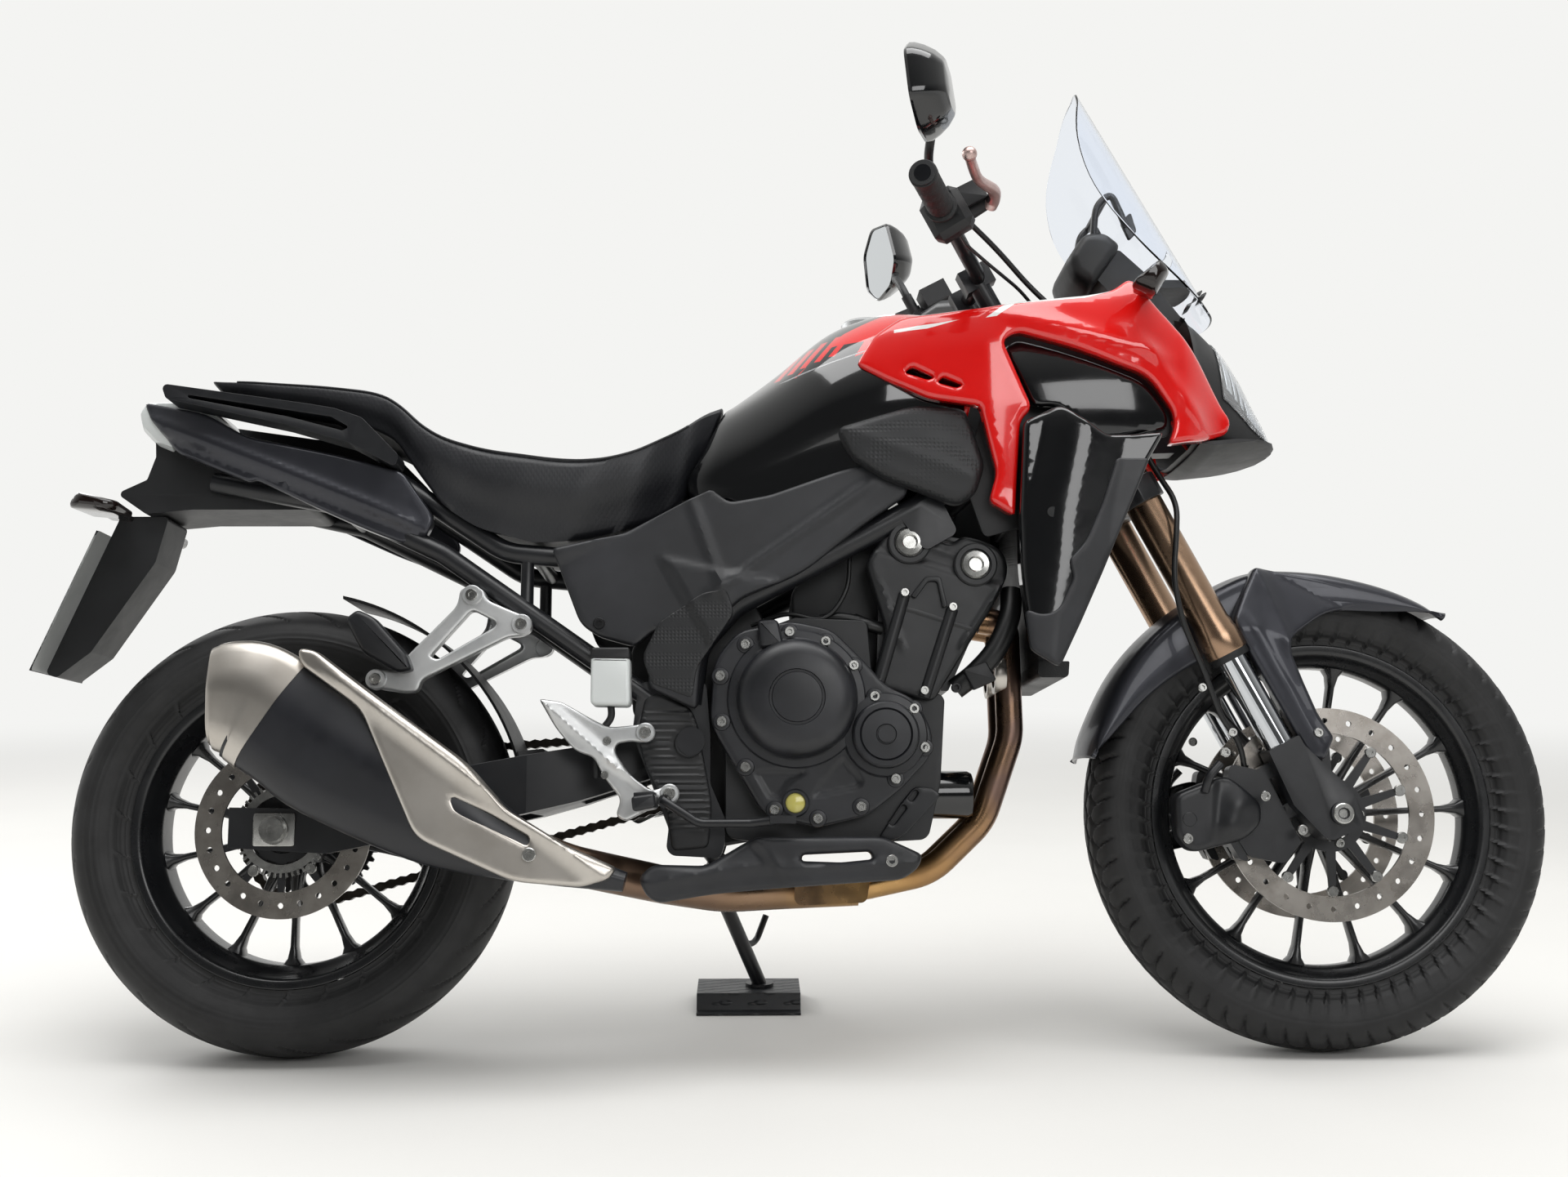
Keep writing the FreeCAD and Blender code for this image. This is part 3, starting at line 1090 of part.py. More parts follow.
fairing_view = [(789, 956, 8), (829, 925, 10), (882, 898, 10), (954, 884, 6), (968, 827, 10), (977, 790, 10),
                (967, 752, 8), (999, 730, 8), (1008, 864, 12), (1024, 878, 12), (985, 975, 10), (1006, 988, 10),
                (1078, 966, 20), (1189, 926, 20), (1224, 880, 12), (1224, 856, 8), (1212, 834, 6), (1286, 849, 8),
                (1306, 866, 8), (1300, 930, 20), (1268, 985, 20), (1222, 1042, 12), (1190, 1058, 12),
                (1167, 1070, 12), (1141, 1048, 12), (1100, 1038, 12), (999, 1030, 16), (964, 1024, 12),
                (848, 1014, 10), (812, 994, 10)]
fairing = dished(fairing_view, 154, 204, 7, mm.panel_wall)
side_fairing = fairing.cut(knee_pad)
new_piece("side_fairings", both_sides([max(side_fairing.Solids, key=lambda solid: solid.Volume)]))

inner_view = [(992, 970, 8), (1010, 982, 8), (1076, 960, 20), (1183, 922, 20), (1216, 878, 12), (1217, 858, 8),
              (1150, 842, 10), (1118, 838, 10), (1061, 880, 12), (1030, 884, 10)]

shroud_view = [(1012, 860, 8), (1060, 878, 12), (1118, 832, 10), (1198, 838, 8), (1166, 785, 10),
               (1128, 708, 14), (1088, 604, 12), (1048, 530, 12), (1014, 552, 10), (1002, 653, 20), (1003, 728, 4)]
shroud = dished(inset(shroud_view, mm.seam), 162, 222, 6, mm.panel_wall)
inner_panel = dished(inset(inner_view, -7), 158, 192, 6, mm.panel_wall).cut(fairing).cut(shroud)
inner_panel = max(inner_panel.Solids, key=lambda solid: solid.Volume)
new_piece("radiator_shrouds", both_sides([shroud, inner_panel]))

nose_sections = [outline([(-132, 846, 10), (132, 846, 10), (150, 900, 20), (112, 1046, 24), (-112, 1046, 24),
                          (-150, 900, 20)], front_plane(1258)),
                 outline([(-96, 842, 10), (96, 842, 10), (112, 900, 20), (70, 1030, 24), (-70, 1030, 24),
                          (-112, 900, 20)], front_plane(1310)),
                 outline([(-64, 846, 10), (64, 846, 10), (80, 890, 16), (46, 972, 20), (-46, 972, 20),
                          (-80, 890, 16)], front_plane(1348)),
                 outline([(-30, 858, 8), (30, 858, 8), (36, 876, 10), (24, 896, 10), (-24, 896, 10),
                          (-36, 876, 10)], front_plane(1402))]
nose = Part.makeLoft(nose_sections, True, True).cut(fairing_stay)
lamp_cut = Part.makeBox(200, 150, 92, vec(1286, -75, 902))
headlight = nose.common(lamp_cut)
nose_cowl = nose.cut(lamp_cut).cut(Part.makeBox(34, 170, 130, vec(1256, -85, 880)))
nose_cowl = nose_cowl.cut(fairing).cut(fairing.mirror(vec(0, 0, 0), AXIS_Y))
new_piece("headlight", [headlight.Solids[0]])

beak = plate([(1276, 846, 6), (1404, 862, 3), (1404, 850, 3), (1300, 828, 6), (1284, 832, 4)], -70, 70)
nose_cowl = max(nose_cowl.Solids, key=lambda solid: solid.Volume).fuse(beak.cut(headlight))
# The rear lower edge is notched on both sides, so that the brake hose passes at full lock
hose_notch = Part.makeBox(14, 46, 40, vec(1252, 20, 836))
nose_cowl = nose_cowl.cut(fused(both_sides([hose_notch])))
new_piece("nose_cowl", [max(nose_cowl.Solids, key=lambda solid: solid.Volume)])

# Screen: a curved sheet leaning back, part of a cylinder whose axis follows the lean
screen_low = vec(1330, 0, 1040)
screen_high = vec(1128, 0, 1405)
screen_line = (screen_high - screen_low).normalize()
screen_out = vec(screen_line.z, 0, -screen_line.x)
screen_radius = 168
axis_low = screen_low - screen_out * screen_radius - screen_line * 60
sheet_outer = Part.makeCylinder(screen_radius, 560, axis_low, screen_line)
sheet_inner = Part.makeCylinder(screen_radius - mm.screen_wall, 560, axis_low, screen_line)
screen_view = [(-62, 1052, 10), (62, 1052, 10), (132, 1110, 30), (154, 1215, 60), (128, 1330, 50), (48, 1404, 40),
               (-48, 1404, 40), (-128, 1330, 50), (-154, 1215, 60), (-132, 1110, 30)]
screen_cutter = Part.Face(outline(screen_view, front_plane(1020))).extrude(vec(400, 0, 0))
screen = sheet_outer.cut(sheet_inner).common(screen_cutter)
screen_slot = Part.Face(outline([(-40, 1146, 5), (40, 1146, 5), (40, 1160, 5), (-40, 1160, 5)], front_plane(1020)))
screen = screen.cut(screen_slot.extrude(vec(400, 0, 0)))
screen = max(screen.Solids, key=lambda solid: solid.CenterOfMass.x)
screen = screen.cut(nose)
new_piece("windscreen", [max(screen.Solids, key=lambda solid: solid.Volume)])

cluster = crowned([(1104, 1130, 8), (1126, 1170, 8), (1156, 1170, 8), (1180, 1152, 8), (1132, 1086, 8),
                   (1110, 1108, 8)], 0, 80, 8)
cluster = fused([cluster, cluster.mirror(vec(0, 0, 0), AXIS_Y)])
cockpit = plate([(1144, 1112, 8), (1178, 1156, 8), (1216, 1120, 10), (1272, 1046, 6), (1266, 1018, 4),
                 (1248, 1024, 4), (1190, 1060, 10)], -54, 54)
screen_stay = Part.makeBox(220, 92, 12, vec(1200, -46, 1098)).common(
    Part.makeCylinder(screen_radius - mm.screen_wall - 0.3, 560, axis_low, screen_line))
cockpit = fused([cockpit, screen_stay]).cut(cluster).cut(nose)
new_piece("instrument_cluster", [cluster, max(cockpit.Solids, key=lambda solid: solid.Volume)])

# Tail

cowl_view = [(-218, 912, 8), (-124, 890, 20), (-59, 853, 20), (156, 800, 10), (200, 742, 12), (190, 714, 6),
             (158, 704, 8), (106, 724, 14), (-50, 790, 10), (-167, 834, 12), (-212, 882, 6)]
cowl = dished(cowl_view, 98, 132, 10, mm.panel_wall)
new_piece("tail_cowls", both_sides([cowl.cut(subframe)]))
undertray = plate([(-205, 838, 6), (-216, 805, 6), (-258, 785, 6), (-216, 756, 6), (-150, 762, 20), (20, 762, 10),
                   (20, 840, 6), (-150, 883.7, 6), (-208, 887.7, 2)], -66, 66)
undertray = undertray.cut(subframe)
undertray = max(undertray.Solids, key=lambda solid: solid.Volume)
lamp = crowned([(-210, 888, 4), (-150, 884, 4), (-120, 896, 4), (-130, 914, 4), (-224, 914, 4), (-232, 902, 3)], 0, 92, 6)
tail_lamp = fused([lamp, lamp.mirror(vec(0, 0, 0), AXIS_Y)]).cut(subframe)
new_piece("tail_light", [max(tail_lamp.Solids, key=lambda solid: solid.Volume)])

rail_view = [(-176, 924, 8), (29, 895, 30), (64, 889, 10), (102, 876, 20), (155, 822, 12), (150, 806, 6),
             (86, 840, 20), (-3, 866, 20), (-168, 902, 8)]
rail_gap = [(-140, 909, 5), (24, 884, 10), (60, 878, 8), (88, 862, 6), (76, 856, 6), (0, 876, 10), (-138, 902, 4)]
grab = plate(rail_view, 97, 148).cut(plate(inset(rail_gap, 1), 100, 200)).cut(seat)
new_piece("grab_rails", both_sides([max(grab.Solids, key=lambda solid: solid.Volume)]))

holder = plate([(-258, 756, 6), (-352, 531, 8), (-336, 526, 6), (-290, 562, 10), (-206, 690, 20), (-190, 756, 6)], -44, 44)
undertray = fused([undertray, holder])
plate_line = vec(-82, 0, -196).normalize()
plate_top = vec(-270.5, 0, 726.1)
plate_out = vec(plate_line.z, 0, -plate_line.x)
number_plate = Part.makeBox(212, 190, 2, vec(0, -95, 0))
number_plate.Placement = FreeCAD.Placement(plate_top + plate_out * 2.3,
                                           FreeCAD.Rotation(plate_line, AXIS_Y, plate_line.cross(AXIS_Y), "XYZ"))
number_plate = number_plate.cut(undertray)
blade = [(-292, 748, 8), (-282, 770, 8), (-226, 760, 10), (-232, 742, 6)]
rear_indicator = plate(blade, 40, 168)
rear_indicator = rear_indicator.cut(undertray)
front_blade = crowned([(1160, 1040, 8), (1204, 1070, 10), (1214, 1056, 8), (1190, 1022, 8)], 196, 268, 4)
front_blade = max(front_blade.cut(fairing).Solids, key=lambda solid: solid.CenterOfMass.y)
new_piece("indicators", both_sides([front_blade, rear_indicator]))

# Pegs, pedals and brake reservoir

peg_bracket = plate([(360, 490, 8), (424, 471, 10), (440, 450, 20), (452, 430, 20), (500, 446, 12), (512, 420, 10),
                     (480, 392, 30), (538, 362, 14), (530, 334, 14), (484, 340, 8), (440, 396, 14), (404, 440, 14)],
                    mm.pivot_plate_inner + mm.pivot_plate + 9.5, mm.pivot_plate_inner + mm.pivot_plate + 19)
peg = rod(vec(500, 146, 342), vec(500, 238, 352), 12)
peg_bosses = [cross_rod(x, z, mm.pivot_plate_inner + mm.pivot_plate + 0.3, 142, 9) for x, z in ((496, 430), (523, 352))]
heel = fused([peg_bracket, peg] + peg_bosses)
rear_bracket = plate([(250, 670, 12), (346, 606, 12), (190, 540, 10), (140, 504, 10), (122, 524, 10), (186, 574, 14)],
                     126.5, 138)
rear_window = plate([(252, 616, 6), (292, 592, 6), (206, 558, 6)], 100, 200)
passenger_peg = crowned([(92, 596, 10), (128, 614, 10), (190, 540, 10), (160, 516, 12)], 138.3, 168, 8)
rear_bracket = rear_bracket.cut(rear_window).cut(subframe)
rear_bracket = max(rear_bracket.Solids, key=lambda solid: solid.Volume)
new_piece("peg_brackets", both_sides([heel, rear_bracket, passenger_peg]))
reservoir = fused([Part.makeBox(44, 50, 40, vec(428, -164, 500)), Part.makeBox(50, 40, 14, vec(425, -168, 538))])
reservoir = reservoir.cut(subframe)
new_piece("rear_brake", [rear_caliper, reservoir])
brake_pedal = pipe([vec(520, -156, 350), vec(570, -160, 318), vec(640, -172, 318), vec(676, -184, 322)], 6, 30)
brake_pad = Part.makeBox(34, 46, 10, vec(664, -222, 317))
shift_lever = pipe([vec(520, 156, 350), vec(580, 160, 330), vec(650, 168, 336), vec(676, 176, 340)], 6, 30)
shift_pad = cross_rod(678, 340, 172, 222, 8)
pedal_boss = cross_rod(524, 348, mm.pivot_plate_inner + mm.pivot_plate + 19.3, 160, 9)
brake_boss = pedal_boss.mirror(vec(0, 0, 0), AXIS_Y)
new_piece("foot_controls", [fused([brake_pedal, brake_pad, brake_boss]), fused([shift_lever, shift_pad, pedal_boss])])

mud_wire = Part.makePolygon([vec(328, -76, 0), vec(332, -80, 0), vec(332, 80, 0), vec(328, 76, 0), vec(328, -76, 0)])
mud_guard = Part.Face(mud_wire).revolve(vec(0, 0, 0), AXIS_Y, -62)
mud_guard.rotate(vec(0, 0, 0), AXIS_Y, -16)
mud_guard.translate(vec(rear_x, 0, mm.rear_radius))
mud_end = rear_x + mm.rear_radius
mud_foot = plate([(mud_end + 2, 398, 2), (mud_end + 40, 398, 2), (mud_end + 40, 424, 4), (mud_end - 4, 420, 2)], -60, 60)
mud_guard = fused([mud_guard, mud_foot]).cut(swingarm.Shape)
mud_guard = max(mud_guard.Solids, key=lambda solid: solid.Volume)
new_piece("undertray", [undertray, number_plate, mud_guard])

# Side stand, whose foot stands on the block, drawn from places on the floor of the leaning machine


def on_machine(x, y, z):
    """The upright machine's coordinates of a point given beside the leaning machine, z up from the floor."""
    low = z - lift
    return vec(x, y * math.cos(lean) - low * math.sin(lean), y * math.sin(lean) + low * math.cos(lean))


def tyre_drop(radius, width, rim_radius):
    """How far the leaning tyre's crown reaches below the line that its middle stands on."""
    depth = radius - (rim_radius - mm.flange_height + mm.tyre_fit)
    return width * 0.22 * math.sin(lean) - depth * 0.035 * math.cos(lean)


lift = max(tyre_drop(mm.rear_radius, mm.rear_tyre_width, mm.rear_rim_radius),
           tyre_drop(mm.front_radius, mm.front_tyre_width, mm.front_rim_radius))
floor_up = vec(0, -math.sin(lean), math.cos(lean))
stand_pivot = vec(mm.stand_pivot_x, mm.stand_pivot_y, mm.stand_pivot_height)
foot_under = on_machine(mm.foot_x, mm.foot_y, mm.block_height + mm.rest_gap)
stand_axis = vec(0.359, 0.392, 0.847).normalize()
foot = Part.makeCylinder(mm.foot_radius, mm.foot_thickness, foot_under, floor_up)
foot_top = foot_under + floor_up * (mm.foot_thickness - 1)
leg_line = (foot_top - stand_pivot).normalize()
leg = rod(stand_pivot + leg_line * 17, foot_top, mm.stand_radius)
leg = leg.cut(Part.makeCylinder(60, 40, foot_under - floor_up * 40, floor_up))
eye = Part.makeCylinder(18, 16, stand_pivot - stand_axis * 8, stand_axis)
pin_bore = Part.makeCylinder(8.3, 80, stand_pivot - stand_axis * 40, stand_axis)
tang = pipe([stand_pivot + leg_line * 150, stand_pivot + leg_line * 170 + vec(14, 18, 14),
             stand_pivot + leg_line * 172 + vec(30, 24, 58)], 5, 20)
stand = fused([leg, eye, foot, tang]).cut(pin_bore)
new_piece("side_stand", [max(stand.Solids, key=lambda solid: solid.Volume)])
pin = Part.makeCylinder(8, 36, stand_pivot - stand_axis * 14, stand_axis)
pin_head = Part.makeCylinder(12, 5, stand_pivot - stand_axis * 13.3, stand_axis)
boss = Part.makeCylinder(15, 24, stand_pivot + stand_axis * 8.3, stand_axis)
boss_foot = stand_pivot + stand_axis * 20.3
stand_bracket = fused([pin, pin_head, boss, rod(boss_foot, vec(568, mm.pivot_plate_inner + 8, 292), 11)])
whole_frame = fused([main_frame, subframe, stand_bracket])
new_piece("main_frame", [max(whole_frame.Solids, key=lambda solid: solid.Volume)] + both_sides([pivot_cap]))

block = new_body("stand_block")
hat = new_sketch(block, "YZ_Plane", cells.foot_x - 17 - cells.block_length / 2)
top = cells.block_height
wall = cells.block_plate
half_top = cells.block_top / 2
low = half_top + cells.block_wall_lean
flange_end = low + cells.block_flange
middle = cells.foot_y
draw_polygon(hat, [
    (middle - flange_end, 0), (middle - low, 0), (middle - half_top + wall, top - wall),
    (middle + half_top - wall, top - wall), (middle + low, 0), (middle + flange_end, 0),
    (middle + flange_end, wall), (middle + low + wall, wall), (middle + half_top, top), (middle - half_top, top),
    (middle - low - wall, wall), (middle - flange_end, wall)])
pad(block, hat, cells.block_length, midplane=False)
pieces[-1] = (block, "floor")
doc.recompute()

# Lean the machine, stand it on the floor and put the origin under the middle of the whole

leaning = FreeCAD.Placement(vec(0, 0, lift), FreeCAD.Rotation(AXIS_X, -mm.lean))


def place_all(shift):
    """Gives every piece its Placement and returns the box of the whole."""
    whole = FreeCAD.BoundBox()
    for piece, frame in pieces:
        if frame == "floor":
            piece.Placement = shift
        else:
            piece.Placement = shift.multiply(leaning).multiply(frame)
    doc.recompute()
    for piece, frame in pieces:
        whole.add(piece.Shape.optimalBoundingBox(False))
    return whole


box = place_all(UPRIGHT)
shift = FreeCAD.Placement(vec(-(box.XMin + box.XMax) / 2, -(box.YMin + box.YMax) / 2, -box.ZMin),
                          FreeCAD.Rotation())
box = place_all(shift)
print("shift", shift.Base.x, shift.Base.y, shift.Base.z, "lift", lift)
print("box", box)

# Check everything before anything is written

for item in doc.Objects:
    if "Invalid" in item.State or "Error" in item.State:
        raise RuntimeError(f"{item.Label} failed: {item.State}")
for piece, frame in pieces:
    if piece.Shape.isNull() or not piece.Shape.isValid():
        raise RuntimeError(f"{piece.Label} has no valid shape")

os.makedirs("parts", exist_ok=True)
for piece, frame in pieces:
    piece.Shape.exportStep(f"parts/{piece.Label}.step")
print(len(pieces), "nodes")
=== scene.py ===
"""Looks of an adventure motorcycle that leans on its side stand beside its chequer-plate block.

Every piece is worked out in millimetres on the upright machine: X forward from the rear axle, Y to its
left, Z up from the ground. Stance.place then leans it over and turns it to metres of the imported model.
"""
import json
import logging
import math
from dataclasses import dataclass, field
from enum import Enum
from typing import Callable, Sequence

import bmesh
import bpy
import numpy as np
from mathutils import Matrix, Vector, geometry

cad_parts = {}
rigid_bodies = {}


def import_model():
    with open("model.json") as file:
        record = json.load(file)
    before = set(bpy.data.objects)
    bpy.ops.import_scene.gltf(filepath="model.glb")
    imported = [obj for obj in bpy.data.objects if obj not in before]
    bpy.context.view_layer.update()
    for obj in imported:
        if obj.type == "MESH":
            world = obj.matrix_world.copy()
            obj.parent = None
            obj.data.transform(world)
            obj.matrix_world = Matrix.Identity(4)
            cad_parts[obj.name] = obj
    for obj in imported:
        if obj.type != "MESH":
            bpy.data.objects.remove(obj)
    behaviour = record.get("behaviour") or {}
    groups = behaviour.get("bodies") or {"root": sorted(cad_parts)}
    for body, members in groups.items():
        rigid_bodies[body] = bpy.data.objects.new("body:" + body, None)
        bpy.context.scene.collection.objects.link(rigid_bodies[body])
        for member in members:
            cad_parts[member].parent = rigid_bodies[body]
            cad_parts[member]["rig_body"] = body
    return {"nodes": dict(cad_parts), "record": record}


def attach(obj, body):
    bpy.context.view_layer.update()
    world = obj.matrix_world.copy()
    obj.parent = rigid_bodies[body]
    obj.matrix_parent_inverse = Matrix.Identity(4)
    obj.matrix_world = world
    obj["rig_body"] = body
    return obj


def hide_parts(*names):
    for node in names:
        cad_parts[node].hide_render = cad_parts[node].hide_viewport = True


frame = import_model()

LOG = logging.getLogger("motorcycle")
Grid = np.ndarray
Rows = Sequence[Sequence[float]]
SOCKET_SHARE = 0.55
JOIN_METRES = 2e-6
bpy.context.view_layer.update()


# Where things are

@dataclass(frozen=True)
class Stance:
    """How the machine stands: its lean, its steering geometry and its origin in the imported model."""

    lean: float = math.radians(8.5)
    rake: float = math.radians(27.5)
    wheelbase: float = 1445.0
    trail: float = 108.0
    rear_radius: float = 312.0
    front_radius: float = 329.0
    camera_drop: float = 1.58

    @property
    def origin(self) -> Grid:
        """Row-frame place, in mm, of the ground point under the rear axle."""
        axle = next(j for j in frame["record"]["behaviour"]["joints"] if j["name"] == "rear_wheel_spin")
        return np.array(axle["pos_m"]) * 1000 - self.lean_over(np.array([[0.0, 0.0, self.rear_radius]]))[0]

    def lean_over(self, points: Grid) -> Grid:
        """Turns points about the ground line by the lean, towards the left: y' = y cos + z sin.

        Args:
            points: Upright places.

        Returns:
            The leaning places.
        """
        x, y, z = np.asarray(points, float).T
        c, s = math.cos(self.lean), math.sin(self.lean)
        return np.stack([x, y * c + z * s, z * c - y * s], 1)

    def place(self, points: Grid) -> Grid:
        """Upright millimetres to leaning row-frame metres."""
        return (self.lean_over(points) + self.origin) / 1000

    def steering(self, points: Grid) -> Grid:
        """(ahead, y, along) about the steering axis to upright millimetres.

        Args:
            points: Places in the steering frame.

        Returns:
            The upright places.
        """
        ahead, y, along = np.asarray(points, float).T
        c, s = math.cos(self.rake), math.sin(self.rake)
        return np.stack([self.wheelbase + self.trail + ahead * c - along * s, y, along * c + ahead * s], 1)


STANCE = Stance()
AXLE_ALONG = STANCE.trail * math.sin(STANCE.rake) + STANCE.front_radius * math.cos(STANCE.rake)
AXLE_AHEAD = STANCE.front_radius * math.sin(STANCE.rake) - STANCE.trail * math.cos(STANCE.rake)
LEG_AHEAD = AXLE_AHEAD - 22.0


class Body(Enum):
    """The moving bodies that pieces are put on."""

    CHASSIS = "chassis"
    STEERING = "steering"
    FRONT_WHEEL = "front_wheel"
    REAR_WHEEL = "rear_wheel"


# Shader nodes and finishes

def linear(colour: str) -> tuple[float, float, float, float]:
    """sRGB hex to linear: c / 12.92 below 0.04045, else ((c + 0.055) / 1.055) ** 2.4.

    Args:
        colour: The colour as #rrggbb.

    Returns:
        Linear red, green and blue, with an alpha of 1.
    """
    parts = [int(colour[i:i + 2], 16) / 255 for i in (1, 3, 5)]
    red, green, blue = [c / 12.92 if c <= 0.04045 else ((c + 0.055) / 1.055) ** 2.4 for c in parts]
    return red, green, blue, 1.0


def add_node(tree: bpy.types.NodeTree, kind: str, settings: dict | None = None,
             links: dict | None = None) -> bpy.types.Node:
    """Adds a shader node.

    Args:
        tree: The material's node tree.
        kind: Blender's name for the node, without its ShaderNode.
        settings: Values by property name, input name or input number.
        links: Output sockets by the input's name or number.

    Returns:
        The new node.
    """
    node = tree.nodes.new("ShaderNode" + kind)
    for key, value in (settings or {}).items():
        if isinstance(key, str) and hasattr(node, key):
            setattr(node, key, value)
        else:
            node.inputs[key].default_value = value
    for key, source in (links or {}).items():
        tree.links.new(source, node.inputs[key])
    return node


def blank_material(name: str) -> tuple[bpy.types.Material, bpy.types.NodeTree, bpy.types.NodeSocket]:
    """A new material without nodes, its tree, and the place in the model that its patterns read.

    Args:
        name: The material's name.

    Returns:
        The material, its node tree and the Object coordinates.
    """
    material = bpy.data.materials.new(name)
    material.use_nodes = True
    tree = material.node_tree
    tree.nodes.clear()
    return material, tree, add_node(tree, "TexCoord").outputs["Object"]


class Relief(Enum):
    """How a surface's fine relief is made."""

    NONE = "none"
    GRAIN = "grain"
    DIMPLES = "dimples"
    BRUSHED = "brushed"
    DIAMONDS = "diamonds"
    TREAD_PLATE = "tread plate"
    TURNED = "turned"


@dataclass(frozen=True)
class Finish:
    """A surface finish: what the material is, and the size of its relief in millimetres."""

    name: str
    colour: str
    roughness: float
    metallic: float = 0.0
    ior: float = 1.5
    coat: float = 0.0
    relief: Relief = Relief.GRAIN
    relief_mm: float = 0.8
    depth_mm: float = 0.02
    second: str = ""
    patch_mm: float = 60.0
    unevenness: float = 0.06
    see_through: float = 0.0
    glow: float = 0.0
    brush_scale: tuple[float, float, float] = (1.0, 1.0, 1.0)
    centre: tuple[float, float, float] = (0.0, 0.0, 0.0)

    def heights(self, tree: bpy.types.NodeTree, place: bpy.types.NodeSocket) -> bpy.types.NodeSocket:
        """The relief's height, 0 to 1, from the place in the model.

        Args:
            tree: The material's node tree.
            place: The place in the model.

        Returns:
            The height's socket.
        """
        scale = 1000.0 / self.relief_mm
        if self.relief is Relief.DIMPLES:
            # Round dimples in a honeycomb: distance to the nearest cell centre
            cells = add_node(tree, "TexVoronoi", {"feature": "F1", "Scale": scale, "Randomness": 0.0},
                             {"Vector": place})
            ramp = add_node(tree, "MapRange", {"From Min": 0.15, "From Max": 0.45}, {"Value": cells.outputs[0]})
            return ramp.outputs[0]
        if self.relief is Relief.BRUSHED:
            stretch = add_node(tree, "Mapping", {"Scale": self.brush_scale}, {"Vector": place})
            lines = add_node(tree, "TexNoise", {"Scale": scale, "Detail": 3.0}, {"Vector": stretch.outputs[0]})
            return lines.outputs[0]
        if self.relief is Relief.TURNED:
            # Fine rings round a wheel's axle: noise that changes only with the distance from the centre
            axle = tuple(STANCE.place(np.array([self.centre]))[0])
            out = add_node(tree, "VectorMath", {"operation": "SUBTRACT", 1: axle}, {0: place})
            far = add_node(tree, "VectorMath", {"operation": "LENGTH"}, {0: out.outputs[0]})
            rings = add_node(tree, "TexNoise", {"noise_dimensions": "1D", "Scale": scale, "Detail": 3.0},
                             {"W": far.outputs["Value"]})
            return rings.outputs[0]
        if self.relief is Relief.DIAMONDS:
            # Two families of crossing lines give the small diamonds that are pressed into vinyl
            waves = []
            for turn in (math.radians(32), math.radians(-32)):
                face = add_node(tree, "Mapping", {"Rotation": (0.0, turn, 0.0)}, {"Vector": place})
                wave = add_node(tree, "TexWave", {"bands_direction": "X", "Scale": scale / 20 * 3.1416},
                                {"Vector": face.outputs[0]})
                waves.append(wave.outputs[1])
            both = add_node(tree, "Math", {"operation": "MINIMUM"}, {0: waves[0], 1: waves[1]})
            return both.outputs[0]
        if self.relief is Relief.TREAD_PLATE:
            # Raised lens shapes in two crossing directions, as rolled into floor plate
            fields = []
            for turn, shift in ((math.radians(45), 0.0), (math.radians(-45), 0.5)):
                face = add_node(tree, "Mapping", {
                    "Rotation": (0.0, 0.0, turn), "Scale": (0.36, 1.0, 1.0),
                    "Location": (shift * self.relief_mm / 1000, 0.0, 0.0)}, {"Vector": place})
                cells = add_node(tree, "TexVoronoi", {"Scale": scale, "Randomness": 0.0},
                                 {"Vector": face.outputs[0]})
                lens = add_node(tree, "MapRange", {"From Min": 0.30, "From Max": 0.16}, {"Value": cells.outputs[0]})
                fields.append(lens.outputs[0])
            both = add_node(tree, "Math", {"operation": "MAXIMUM"}, {0: fields[0], 1: fields[1]})
            return both.outputs[0]
        grain = add_node(tree, "TexNoise", {"Scale": scale, "Detail": 2.0, "Roughness": 0.6}, {"Vector": place})
        return grain.outputs[0]

    def colours(self, tree: bpy.types.NodeTree, place: bpy.types.NodeSocket) -> bpy.types.NodeSocket | None:
        """Patches of the second colour over the first, or None where the colour is even.

        Args:
            tree: The material's node tree.
            place: The place in the model.

        Returns:
            The colour's socket.
        """
        if not self.second:
            return None
        patches = add_node(tree, "TexNoise",
                           {"Scale": 1000.0 / self.patch_mm, "Detail": 6.0, "Roughness": 0.62}, {"Vector": place})
        share = add_node(tree, "MapRange", {"From Min": 0.42, "From Max": 0.68}, {"Value": patches.outputs[0]})
        mixed = add_node(tree, "Mix", {"data_type": "RGBA", 6: linear(self.colour), 7: linear(self.second)},
                         {0: share.outputs[0]})
        return mixed.outputs[2]

    def make(self) -> bpy.types.Material:
        """Builds the material once and hands it out again after that.

        Returns:
            The material.
        """
        known = bpy.data.materials.get(self.name)
        if known:
            return known
        material, tree, place = blank_material(self.name)
        shader = add_node(tree, "BsdfPrincipled", {
            "Base Color": linear(self.colour), "Metallic": self.metallic, "IOR": self.ior,
            "Coat Weight": self.coat, "Coat Roughness": 0.03, "Transmission Weight": self.see_through})
        add_node(tree, "OutputMaterial", {}, {"Surface": shader.outputs[0]})
        if self.glow:
            shader.inputs["Emission Color"].default_value = linear(self.colour)
            shader.inputs["Emission Strength"].default_value = self.glow
        mixed = self.colours(tree, place)
        if mixed:
            tree.links.new(mixed, shader.inputs["Base Color"])
